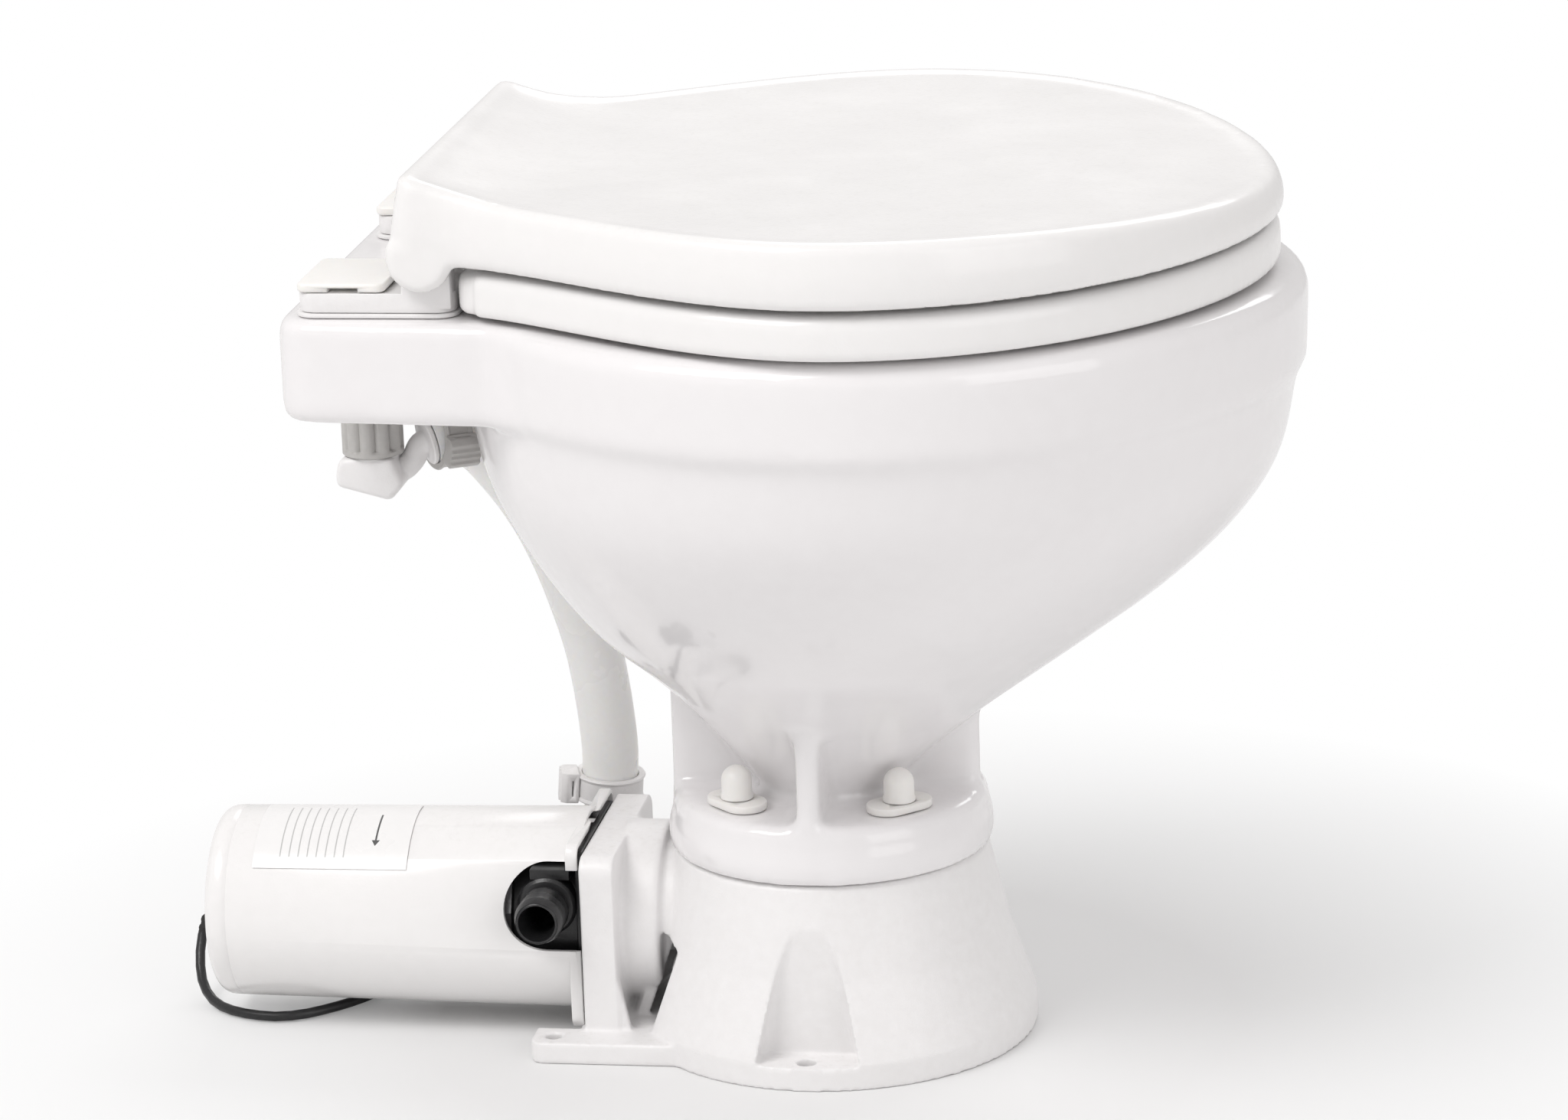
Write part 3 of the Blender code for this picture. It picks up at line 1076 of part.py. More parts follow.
def make_cover():
    """The white motor cover with its square flange, and the blank label stuck on it."""
    front = cover_front()
    inner_rear = COVER_REAR - COVER_WALL
    edge = []
    for i in range(5):
        angle = math.pi / 2 * i / 4
        edge.append((cover_radius(COVER_REAR) - COVER_EDGE * (1 - math.cos(angle)),
                     COVER_REAR - COVER_EDGE * (1 - math.sin(angle))))
    inner = cover_radius(inner_rear - COVER_EDGE, COVER_WALL)
    cover = turned("motor_cover", [(cover_radius(front, COVER_WALL), front), (cover_radius(front), front)]
                   + edge
                   + [(0, COVER_REAR), (0, inner_rear), (inner - COVER_EDGE, inner_rear),
                      (inner, inner_rear - COVER_EDGE)], GLOSS_WHITE, axis=(-1, 0, 0), at=(0, 0, AXIS_Z),
                      steps=LARGE_STEPS)
    flange = prism("cover_flange", rounded(COVER_FLANGE_HALF_WIDTH, COVER_FLANGE_HALF_HEIGHT,
                                           COVER_FLANGE_CORNER, (0, AXIS_Z)),
                   -front - COVER_FLANGE_THICKNESS, -front, to_world=ALONG_X)
    flange_bore = along_x("cover_flange_bore", cover_radius(front, COVER_WALL), front - OVERRUN,
                          front + COVER_FLANGE_THICKNESS + OVERRUN, AXIS_Z, LARGE_STEPS)
    join(cover, cut(flange, flange_bore))
    arches = []
    for side, sign in sides():
        reach = COVER_FRONT_RADIUS * 2
        arch = rod("arch_" + side, ARCH_RADIUS, ARCH_RADIUS, reach, axis=(0, sign, 0),
                   at=(PORT_X, 0, PORT_Z))
        low, high = sorted((sign * ARCH_RADIUS, sign * reach))
        slot = box("arch_slot_" + side, (PORT_X, low, PORT_Z - ARCH_RADIUS),
                   (-front + OVERRUN, high, PORT_Z + ARCH_RADIUS))
        arches.append(join(arch, slot))
    cut(cover, *arches)
    cut(cover, rod("cord_hole", GROMMET_NECK_RADIUS + CLEARANCE, inner_rear - COVER_EDGE, COVER_REAR
                   + OVERRUN,
                   axis=(-1, 0, 0), at=(0, CORD_Y, CORD_Z), steps=SMALL_STEPS))
    bm = bmesh.new()
    steps = 10
    grid = [[None] * (steps + 1) for _ in range(2)]
    low = CLEARANCE
    for k in range(2):
        behind = -LABEL_X + (k - 0.5) * LABEL_LENGTH
        for i in range(steps + 1):
            angle = LABEL_START + LABEL_ARC * i / steps
            radius = cover_radius(behind) + low
            grid[k][i] = bm.verts.new((-behind, -radius * math.sin(angle), AXIS_Z + radius
                                       * math.cos(angle)))
    faces = [bm.faces.new((grid[0][i], grid[0][i + 1], grid[1][i + 1], grid[1][i])) for i in range(steps)]
    moved = bmesh.ops.extrude_face_region(bm, geom=faces)["geom"]
    for vert in [v for v in moved if isinstance(v, bmesh.types.BMVert)]:
        out = Vector((0, vert.co.y, vert.co.z - AXIS_Z)).normalized()
        vert.co += out * LABEL_THICKNESS
    place(bm, "rating_label", LABEL_FOIL)
    turned("cord_grommet", ((0, COVER_REAR - COVER_WALL * 2),
                            (GROMMET_NECK_RADIUS, COVER_REAR - COVER_WALL * 2),
                            (GROMMET_NECK_RADIUS, COVER_REAR + CLEARANCE), (GROMMET_RADIUS, COVER_REAR
                            + CLEARANCE), (GROMMET_RADIUS, COVER_REAR + GROMMET_FLANGE),
                            (0, COVER_REAR + GROMMET_FLANGE)), BLACK_RUBBER, axis=(-1, 0, 0),
           at=(0, CORD_Y, CORD_Z), steps=SMALL_STEPS)


def hose_points():
    """The hose's points, stretched in height to reach from the pump to the bowl's inlet."""
    foot, head = HOSE_POINTS[0][2], HOSE_POINTS[-1][2]
    stretch = (RIM_TOP - HOSE_TOP_DROP - foot) / (head - foot)
    return [Vector((x, y, foot + (z - foot) * stretch)) for x, y, z in HOSE_POINTS]


def make_flush_line():
    """From the flush pump's outlet to the bowl's inlet: elbows, hose, clips and union nut."""
    points = hose_points()
    first, second = points[:2]
    up = (second - first).normalized()
    bend = smooth_route([*ELBOW_ROUTE[1:], first - up * ELBOW_NECK, first - up * ELBOW_GAP], 9)
    elbow_route = [Vector(ELBOW_ROUTE[0])] + bend
    elbow = tube("flush_outlet_elbow", elbow_route, ELBOW_RADIUS, SATIN_WHITE)
    route = smooth_route(points, HOSE_STEPS)
    tail = route[:5]
    join(elbow, tube("outlet_tail", [elbow_route[-2]] + tail, HOSE_BORE_RADIUS - TAIL_PLAY))
    cut(elbow, tube("outlet_elbow_bore", longer(elbow_route + tail, OVERRUN), ELBOW_BORE_RADIUS,
                    resolution=1))
    hose = tube("flush_hose", route, HOSE_RADIUS, HOSE_IVORY)
    cut(hose, tube("flush_hose_bore", longer(route, OVERRUN), HOSE_BORE_RADIUS))
    length = route_length(route)
    for name, share, look, facing in (("hose_clip_lower", LOWER_CLIP_SHARE, SATIN_WHITE, (-1, -0.3, 0)),
                                      ("hose_clip_upper", UPPER_CLIP_SHARE, GREY_PLASTIC, (0, -1, -0.2))):
        spot = share * (len(route) - 1)
        k = min(int(spot), len(route) - 2)
        at = route[k].lerp(route[k + 1], spot - k)
        along = (route[k + 1] - route[k]).normalized()
        inner = HOSE_RADIUS + RUNNING_GAP
        clip = rod(name, inner + CLIP_WALL, -CLIP_WIDTH / 2, CLIP_WIDTH / 2, look, axis=along, at=at)
        head = box(name + "_head", (-CLIP_HEAD / 2, inner + CLIP_WALL / 2, -CLIP_WIDTH / 2 - CLIP_WALL / 2),
                   (CLIP_HEAD / 2, inner + CLIP_HEAD_HEIGHT, CLIP_WIDTH / 2 + CLIP_WALL / 2))
        out = Vector(facing)
        out = (out - along * along.dot(out)).normalized()
        head.matrix_world = Matrix.Translation(at) @ Matrix((along.cross(out) * -1, out, along)).transposed(
            ).to_4x4()
        join_closed(clip, head)
        cut_closed(clip, tube(name + "_bore", route, HOSE_RADIUS + CLEARANCE))
    nut = turned("inlet_union_nut", ((0, UNION_BOTTOM), (UNION_RADIUS, UNION_BOTTOM),
                                     (UNION_RADIUS, duct_bottom() - CLEARANCE),
                                     (0, duct_bottom() - CLEARANCE)),
                 GREY_PLASTIC, at=(INLET_X, 0, 0), steps=UNION_FLUTES * 4)
    flutes = [(INLET_X + UNION_RADIUS * math.cos(math.tau * (i + 0.5) / UNION_FLUTES),
               UNION_RADIUS * math.sin(math.tau * (i + 0.5) / UNION_FLUTES),
               0) for i in range(UNION_FLUTES)]
    neck_hole = INLET_NECK_RADIUS + CLEARANCE * 2
    cut_closed(nut, rods("union_flutes", UNION_FLUTE_RADIUS, UNION_BOTTOM + UNION_RING, duct_bottom()
                         + OVERRUN, flutes,
                  steps=SMALL_STEPS // 2),
        rod("union_bore", neck_hole, UNION_BOTTOM - OVERRUN, duct_bottom() + OVERRUN, at=(INLET_X, 0, 0),
            steps=SMALL_STEPS))
    half = INLET_ELBOW_HALF
    outline = ((INLET_X - half - UNION_RING, INLET_ELBOW_BOTTOM + half / 2),
               (INLET_X + half * 0.7, INLET_ELBOW_BOTTOM),
               (INLET_X + half * 1.2, INLET_ELBOW_BOTTOM + half * 0.6),
               (INLET_X + half * 0.8, UNION_BOTTOM - CLEARANCE), (INLET_X - half, UNION_BOTTOM - CLEARANCE),
               (INLET_X - half - UNION_RING, UNION_BOTTOM - half / 2))
    body = prism("inlet_elbow", outline, -half * 0.9, half * 0.9, SATIN_WHITE, ALONG_Y)
    soften(body, UNION_RING)
    end = list(reversed(route[-4:]))
    lift = points[-1] - Vector(HOSE_POINTS[-1])
    tail = smooth_route([Vector(point) + lift for point in INLET_TAIL_POINTS], 9)
    join_closed(body, rod("elbow_neck", INLET_NECK_RADIUS, UNION_BOTTOM - half, duct_bottom() - CLEARANCE
                          * 2,
                          at=(INLET_X, 0, 0), steps=SMALL_STEPS),
                tube("elbow_tail", tail, INLET_TAIL_RADIUS),
                tube("elbow_sleeve", end, HOSE_BORE_RADIUS - RUNNING_GAP,
                                                                  resolution=3))
    cut_closed(body, rod("elbow_neck_bore", INLET_TAIL_RADIUS, UNION_BOTTOM - half, duct_bottom() + OVERRUN,
                         at=(INLET_X, 0, 0), steps=SMALL_STEPS),
               tube("elbow_tail_bore", tail + end[1:] + [longer(end, OVERRUN)[-1]], INLET_TAIL_BORE_RADIUS,
                    resolution=1))
    print(f"flush hose length {length:.3f} m")


def duct_bottom():
    return RIM_TOP - DUCT_DEPTH


def make_seat():
    """The ring seat with a knuckle arm on each hinge pin."""
    plan = (SEAT_FRONT, SEAT_REAR, SEAT_HALF_WIDTH, SEAT_REAR_HALF_WIDTH, SEAT_EDGE * 3)
    rings = []
    for i in range(3):
        angle = math.pi / 2 * i / 2
        inset = SEAT_EDGE * (1 - math.sin(angle))
        rings.append(level(shrunk(plan, inset), SEAT_BOTTOM + SEAT_EDGE * 0.6 * (1 - math.cos(angle))))
    for i in range(3):
        angle = math.pi / 2 * i / 2
        inset = SEAT_EDGE * (1 - math.cos(angle))
        rings.append(level(shrunk(plan, inset), SEAT_TOP - SEAT_EDGE * (1 - math.sin(angle))))
    seat = loft("seat", rings, GLOSS_WHITE)
    opening = []
    for grow, z in ((SEAT_EDGE * 0.5, SEAT_BOTTOM - OVERRUN), (0, SEAT_BOTTOM + SEAT_EDGE * 0.5),
                    (0, SEAT_TOP - SEAT_EDGE), (SEAT_EDGE * 0.4, SEAT_TOP - SEAT_EDGE * 0.3),
                    (SEAT_EDGE, SEAT_TOP), (SEAT_EDGE, SEAT_TOP + OVERRUN)):
        outline = oval(SEAT_OPENING_FRONT + grow, SEAT_OPENING_REAR + grow, SEAT_OPENING_HALF_WIDTH + grow,
                       BOWL_WIDEST_X, FRONT_POWER, ROUND_POWER)
        opening.append(level(outline, z))
    cut(seat, loft("seat_opening", opening))
    for side, sign in sides():
        arm = rod("seat_arm_" + side, SEAT_ARM_RADIUS, -SEAT_ARM_WIDTH / 2, SEAT_ARM_WIDTH / 2,
                  axis=(0, 1, 0),
                  at=(HINGE_X, sign * SEAT_ARM_Y, HINGE_Z), steps=ROUND_STEPS)
        low, high = sorted((sign * SEAT_ARM_Y - SEAT_ARM_WIDTH / 2, sign * SEAT_ARM_Y + SEAT_ARM_WIDTH / 2))
        root = prism("seat_root_" + side, ((HINGE_X, HINGE_Z - SEAT_ARM_RADIUS),
                                           (-SEAT_REAR + SEAT_EDGE * 2,
                     SEAT_BOTTOM + SEAT_EDGE), (-SEAT_REAR + SEAT_EDGE * 2, SEAT_TOP - SEAT_EDGE * 0.3),
                     (HINGE_X, HINGE_Z + SEAT_ARM_RADIUS * 0.9)), -high, -low, to_world=ALONG_Y)
        join(seat, arm, root)
    cut(seat, pin_holes("seat_pin_holes"))


def shrunk(plan, inset):
    front, rear, width, rear_width, corner = plan
    return tapered(front - inset, rear - inset, width - inset, rear_width - inset,
                   max(corner - inset, inset / 2))


def pin_holes(name):
    return rod(name, PIN_RADIUS + RUNNING_GAP, -PIN_END - CLEARANCE, PIN_END + CLEARANCE, axis=(0, 1, 0),
               at=(HINGE_X, 0, HINGE_Z), steps=SMALL_STEPS)


def lid_height(x):
    """The lid's upper edge along its length: a raised lip at the rear, level sides and a falling front."""
    lip = max(0.0, 1 - (x + LID_REAR) / LID_LIP_LENGTH)
    front = max(0.0, x / LID_FRONT)
    return LID_CREASE + LID_LIP_RISE * lip ** LID_LIP_POWER - LID_FRONT_DROP * front ** 3


def lid_plan(inset, lean_share=0):
    """The lid's outline, drawn in by the inset and leaning forward at the rear."""
    return shrunk((LID_FRONT, LID_REAR - LID_REAR_LEAN * lean_share, LID_HALF_WIDTH, LID_REAR_HALF_WIDTH,
                   LID_CORNER), inset)


def make_lid():
    """A hollow lid: an outer shell with a dished top, a recess below, and an ear on each hinge pin."""
    rings = [level(lid_plan(LID_EDGE * 0.4), LID_BOTTOM), level(lid_plan(LID_BULGE * 0.3),
             LID_BOTTOM + LID_EDGE * 0.3)]
    for share, inset, lean_share in ((0.35, 0, 0.4), (0.7, LID_BULGE / 2, 0.8)):
        rings.append([(x, y, LID_BOTTOM + (lid_height(x) - LID_BOTTOM) * share)
                      for x, y in lid_plan(inset, lean_share)])
    for inset, drop in ((LID_BULGE, LID_EDGE * 0.35), (LID_EDGE * 0.7, 0)):
        rings.append([(x, y, lid_height(x) - drop) for x, y in lid_plan(inset, 1)])
    middle = (LID_FRONT - LID_REAR) / 2
    for share, dish_share in ((0.93, 0.3), (0.82, 0.6), (0.5, 0.9), (0.15, 1.0)):
        inner = [(middle + (x - middle) * share, y * share) for x, y in lid_plan(LID_EDGE, 1)]
        rings.append([(x, y, lid_height(x) - LID_DISH * dish_share) for x, y in inner])
    lid = loft("lid", rings, GLOSS_WHITE)
    recess = [level(lid_plan(LID_WALL), LID_BOTTOM - OVERRUN)]
    recess.append(level(lid_plan(LID_WALL), LID_BOTTOM + LID_EDGE))
    under = LID_CREASE - LID_DISH - LID_TOP_THICKNESS - LID_FRONT_DROP * 0.3
    recess.append(level(lid_plan(LID_WALL * 2.5), under))
    cut(lid, loft("lid_recess", recess))
    for side, sign in sides():
        outline = []
        for i in range(EAR_STEPS + 1):
            angle = math.pi * (1 + i / EAR_STEPS)
            reach = EAR_RADIUS if i > EAR_STEPS / 2 else LID_REAR + HINGE_X
            outline.append((HINGE_X + reach * math.cos(angle), HINGE_Z + EAR_RADIUS * math.sin(angle)))
        outline += [(HINGE_X + EAR_RADIUS, LID_BOTTOM + LID_EDGE), (-LID_REAR, LID_BOTTOM + LID_EDGE * 2)]
        low, high = sorted((-sign * LID_REAR_HALF_WIDTH, -sign * (LID_REAR_HALF_WIDTH - EAR_WIDTH)))
        ear = soften(prism("ear_" + side, outline, low, high, to_world=ALONG_Y), EAR_EDGE)
        join(lid, ear)
    gap = RUNNING_GAP
    for side, sign in sides():
        low, high = sorted((sign * (BLOCK_INNER_Y - gap), sign * (BLOCK_OUTER_Y + gap)))
        cut(lid, box("knuckle_room_" + side, (-LID_REAR - LID_WALL, low, LID_BOTTOM - OVERRUN),
                     (HINGE_X + KNUCKLE_RADIUS + gap * 2, high, HINGE_Z + KNUCKLE_RADIUS + gap * 2)),
            box("cap_room_" + side, (-LID_REAR - LID_WALL, low, LID_BOTTOM - OVERRUN),
                (HINGE_X - PIN_RADIUS, high, HINGE_Z + LID_NOTCH_HEIGHT)))
    cut(lid, pin_holes("lid_pin_holes"))


def make_hinge(side, sign):
    """One hinge: gasket and block on the ledge, snap cap, bolt, nut and pin."""
    def across(a, b):
        return sorted((sign * a, sign * b))
    inner, outer = across(BLOCK_INNER_Y, BLOCK_OUTER_Y)
    centre = ((-BLOCK_REAR - BLOCK_FRONT) / 2, (inner + outer) / 2)
    half_x, half_y = (BLOCK_REAR - BLOCK_FRONT) / 2, (outer - inner) / 2
    low = RIM_TOP + CLEARANCE
    gasket = prism("hinge_gasket_" + side, rounded(half_x + GASKET_MARGIN, half_y + GASKET_MARGIN,
                   BLOCK_CORNER + GASKET_MARGIN, centre), low, low + GASKET_THICKNESS, IVORY)
    foot = low + GASKET_THICKNESS + CLEARANCE
    block = prism("hinge_block_" + side, rounded(half_x, half_y, BLOCK_CORNER, centre), foot, BLOCK_TOP,
                  SATIN_WHITE)
    for a, b in ((BLOCK_OUTER_Y, BLOCK_OUTER_Y - KNUCKLE_WIDTH), (BLOCK_INNER_Y + KNUCKLE_WIDTH * 0.7,
                                                                BLOCK_INNER_Y)):
        y0, y1 = across(a, b)
        knuckle = rod(f"knuckle_{side}_{a}", KNUCKLE_RADIUS, y0, y1, axis=(0, 1, 0),
                      at=(HINGE_X, 0, HINGE_Z),
                      steps=ROUND_STEPS)
        stem = box(f"stem_{side}_{a}", (HINGE_X - KNUCKLE_RADIUS, y0, foot + GASKET_THICKNESS),
                   (HINGE_X + KNUCKLE_RADIUS, y1, HINGE_Z))
        join(block, knuckle, stem)
    seat_y0, seat_y1 = across(SEAT_ARM_Y - SEAT_ARM_WIDTH / 2 - RUNNING_GAP, SEAT_ARM_Y + SEAT_ARM_WIDTH / 2
                              + RUNNING_GAP)
    room = SEAT_ARM_RADIUS + RUNNING_GAP
    cut(block, rod("seat_arm_room_" + side, room, seat_y0, seat_y1, axis=(0, 1, 0),
                   at=(HINGE_X, 0, HINGE_Z),
                   steps=ROUND_STEPS),
        box("seat_front_room_" + side, (HINGE_X, seat_y0, SEAT_BOTTOM + SEAT_EDGE * 0.5),
            (-BLOCK_FRONT + OVERRUN, seat_y1, HINGE_Z)),
        rod("block_pin_hole_" + side, PIN_RADIUS + CLEARANCE, inner - OVERRUN, outer + OVERRUN,
            axis=(0, 1, 0),
            at=(HINGE_X, 0, HINGE_Z), steps=SMALL_STEPS))
    bolt_y = sign * HINGE_BOLT_Y
    bolt_hole = HINGE_BOLT_RADIUS + SCREW_HOLE_PLAY
    bolt_top = BLOCK_TOP - CLEARANCE
    for target, name in ((gasket, "gasket_hole_"), (block, "block_bolt_hole_")):
        cut(target, rod(name + side, bolt_hole, low - OVERRUN, bolt_top + OVERRUN,
                        at=(HINGE_BOLT_X, bolt_y, 0),
                        steps=SMALL_STEPS))
    cut(block, rod("bolt_head_room_" + side, HINGE_BOLT_HEAD + SCREW_HOLE_PLAY, bolt_top
                   - HINGE_BOLT_HEAD_HEIGHT - CLEARANCE, bolt_top + OVERRUN, at=(HINGE_BOLT_X, bolt_y, 0),
                   steps=SMALL_STEPS))
    turned("hinge_bolt_" + side, (
        (0, bolt_top), (HINGE_BOLT_HEAD, bolt_top), (HINGE_BOLT_HEAD, bolt_top - HINGE_BOLT_HEAD_HEIGHT),
        (HINGE_BOLT_RADIUS, bolt_top - HINGE_BOLT_HEAD_HEIGHT),
        (HINGE_BOLT_RADIUS, bolt_top - HINGE_BOLT_LENGTH),
        (0, bolt_top - HINGE_BOLT_LENGTH)), STEEL, at=(HINGE_BOLT_X, bolt_y, 0), steps=SMALL_STEPS)
    nut_top = RIM_TOP - LEDGE_TOP_THICKNESS - CLEARANCE
    ring("hinge_nut_" + side, HINGE_BOLT_RADIUS + CLEARANCE * 1.5, HINGE_NUT_RADIUS, nut_top
         - HINGE_NUT_HEIGHT,
         nut_top, GREY_PLASTIC, at=(HINGE_BOLT_X, bolt_y, 0), steps=SMALL_STEPS)
    cap_half = (BLOCK_REAR - HINGE_CAP_FRONT) / 2
    cap_x = -(BLOCK_REAR + HINGE_CAP_FRONT) / 2
    cap = prism("hinge_cap_" + side, rounded(cap_half, half_y, BLOCK_CORNER / 2, (cap_x, centre[1])),
                BLOCK_TOP + CLEARANCE, BLOCK_TOP + CLEARANCE + HINGE_CAP_THICKNESS, IVORY)
    soften(cap, HINGE_CAP_THICKNESS * 0.3)
    n0, n1 = across(BLOCK_OUTER_Y - CAP_NOTCH_DEPTH, BLOCK_OUTER_Y + OVERRUN)
    cut(cap, box("cap_notch_" + side, (HINGE_BOLT_X - CAP_NOTCH_LENGTH / 2, n0, BLOCK_TOP),
                 (HINGE_BOLT_X + CAP_NOTCH_LENGTH / 2, n1, BLOCK_TOP + HINGE_CAP_THICKNESS / 2)))
    p0, p1 = across(BLOCK_INNER_Y, PIN_END)
    rod("hinge_pin_" + side, PIN_RADIUS, p0, p1, STEEL, axis=(0, 1, 0), at=(HINGE_X, 0, HINGE_Z),
        steps=SMALL_STEPS)


def make_bumpers():
    """Rubber feet: four under the seat and two under the lid."""
    middle_front = (SEAT_OPENING_HALF_WIDTH + SEAT_HALF_WIDTH) * BUMPER_RIM_SHARE
    spots = []
    for x, reach in ((BUMPER_FRONT_X, middle_front * 0.66), (BUMPER_REAR_X, middle_front * 0.88)):
        spots += [(x, reach), (x, -reach)]
    for i, (x, y) in enumerate(spots, 1):
        rod(f"seat_bumper_{i}", SEAT_GAP_BUMPER_RADIUS, RIM_TOP + CLEARANCE, SEAT_BOTTOM - CLEARANCE,
            BLACK_RUBBER, at=(x, y, 0), steps=SMALL_STEPS)


def make_cord():
    """The lead: free from the grommet under the cover to the far side, then a coil and a connector."""
    free = smooth_route(CORD_POINTS, CORD_STEPS)
    cord("supply_cord", free, CORD_RADIUS, BLACK_PLASTIC, 2)
    inner = COIL_OUTER_RADIUS - COIL_PITCH * (COIL_TURNS - COIL_CLIMB_TURNS) / 2
    begin = free[-1] + Vector((0, CLEARANCE, 0))
    centre = Vector((begin.x + COIL_OUTER_RADIUS, begin.y + COIL_END_RUN, begin.z))
    rise = COIL_PITCH
    steps = COIL_TURNS * COIL_LOOP_POINTS
    layer = (COIL_TURNS - COIL_CLIMB_TURNS) / 2
    route = [begin]
    for i in range(steps + 1):
        turns = i / COIL_LOOP_POINTS
        inward = min(turns, layer)
        outward = max(0.0, turns - layer - COIL_CLIMB_TURNS)
        climb = min(1.0, max(0.0, (turns - layer) / COIL_CLIMB_TURNS))
        radius = COIL_OUTER_RADIUS - (COIL_OUTER_RADIUS - inner) * (inward - outward) / layer
        angle = math.pi - math.tau * turns
        route.append(centre + Vector((radius * math.cos(angle), radius * math.sin(angle), rise * climb)))
    last = route[-1] + Vector((0, LEAD_TAIL, 0))
    route.append(last)
    cord("supply_cord_coil", route, CORD_RADIUS, BLACK_PLASTIC, 1)
    gap = min((a - b).length for i, a in enumerate(route) for j, b in enumerate(route)
              if abs(i - j) > COIL_LOOP_POINTS // 2) - 2 * CORD_RADIUS
    total = route_length(free) + route_length(route)
    print(f"lead length {total:.3f} m, least gap of the coil to itself {gap * 1000:.2f} mm")
    low = last + Vector((-CONNECTOR_WIDTH / 2, CLEARANCE, -last.z))
    connector = box("supply_connector", low, low + Vector((CONNECTOR_WIDTH, CONNECTOR_LENGTH, 2 * last.z)),
                    BLACK_PLASTIC)
    soften(connector, CONNECTOR_WIDTH / SMALL_STEPS)


def pivot(name, at, carried):
    """An empty on a joint's axis that carries the pieces turning about it."""
    empty = bpy.data.objects.new(name, None)
    bpy.context.scene.collection.objects.link(empty)
    empty.location = at
    for piece in carried:
        child = bpy.data.objects[piece]
        child.parent = empty
        child.matrix_parent_inverse = Matrix.Translation(-Vector(at))


def main():
    for old in list(bpy.data.objects):
        bpy.data.objects.remove(old, do_unlink=True)
    make_bowl()
    make_bowl_fixings()
    make_base_housing()
    make_discharge_fitting()
    make_pump()
    make_motor(make_flush_pump())
    make_cover()
    make_flush_line()
    make_seat()
    make_lid()
    for side, sign in sides():
        make_hinge(side, sign)
    make_bumpers()
    make_cord()
    pivot("lid_hinge_axis", (HINGE_X, 0, HINGE_Z), ("lid",))
    pivot("motor_axis", (0, 0, AXIS_Z), ("motor_shaft", "motor_armature", "flush_impeller",
                                          "discharge_impeller", "chopper_blade"))


main()
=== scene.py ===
"""Electric marine toilet, dressed for a studio photograph.

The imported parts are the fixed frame. Shells, fittings, hose and lead are modelled here with soft glazed
and moulded edges, and every surface gets its finish. Metres, +Z up, +X to the front of the bowl. Near is
the -Y side, where the camera stands, and far is the +Y side.
"""
import json
import logging
import math
from dataclasses import dataclass, field
from enum import Enum
from typing import Callable, Iterable, Sequence

import bmesh
import bpy
from mathutils import Matrix, Vector

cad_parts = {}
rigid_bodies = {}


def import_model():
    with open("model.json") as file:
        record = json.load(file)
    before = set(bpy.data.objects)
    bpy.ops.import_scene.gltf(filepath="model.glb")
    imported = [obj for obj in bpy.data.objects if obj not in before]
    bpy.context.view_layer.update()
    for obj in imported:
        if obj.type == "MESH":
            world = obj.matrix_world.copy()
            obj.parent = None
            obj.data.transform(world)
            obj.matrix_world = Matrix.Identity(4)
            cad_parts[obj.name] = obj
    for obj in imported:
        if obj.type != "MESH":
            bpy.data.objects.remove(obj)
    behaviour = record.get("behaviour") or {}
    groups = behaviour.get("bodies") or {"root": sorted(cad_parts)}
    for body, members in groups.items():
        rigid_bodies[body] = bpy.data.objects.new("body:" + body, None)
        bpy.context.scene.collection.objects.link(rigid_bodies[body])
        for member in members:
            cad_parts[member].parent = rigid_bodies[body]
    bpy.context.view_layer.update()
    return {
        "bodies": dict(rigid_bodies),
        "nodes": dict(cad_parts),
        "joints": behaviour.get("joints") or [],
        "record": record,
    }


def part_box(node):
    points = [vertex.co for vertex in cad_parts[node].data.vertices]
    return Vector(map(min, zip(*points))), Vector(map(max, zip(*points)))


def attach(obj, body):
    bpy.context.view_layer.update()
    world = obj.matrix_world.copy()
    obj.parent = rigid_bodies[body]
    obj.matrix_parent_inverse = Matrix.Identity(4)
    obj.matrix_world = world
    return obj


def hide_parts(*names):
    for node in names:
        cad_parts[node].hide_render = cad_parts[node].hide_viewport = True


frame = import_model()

log = logging.getLogger("marine_toilet")

Flat = tuple[float, float]
Point = tuple[float, float, float]
Colour = tuple[float, float, float]

BODY = "toilet"
LID_BODY = "lid"
OVERRUN = 0.002     # how far a cutter reaches past the face that it opens
PIN_HOLE = 0.0043   # radius of the holes for the hinge pins in seat and lid
PIN_END = 0.0958    # how far those holes reach from the middle plane
HINGE = (-0.133, 0.3315)    # the hinge axis, in X and Z
MOTOR_Z = 0.045     # height of the motor's axis
PORT = (-0.1095, 0.0565)    # middle of the pump's ports, in X and Z
DISCHARGE_X = -0.0845   # where the discharge leaves the base
BACK, FAR, NEAR, UP = (-1, 0, 0), (0, 1, 0), (0, -1, 0), (0, 0, 1)


class Side(Enum):
    """The far and the near side, with their sign on Y."""

    FAR = 1
    NEAR = -1

    @property
    def word(self) -> str:
        """The side's name as the nodes spell it."""
        return self.name.lower()


# ---- Shared shader groups ----


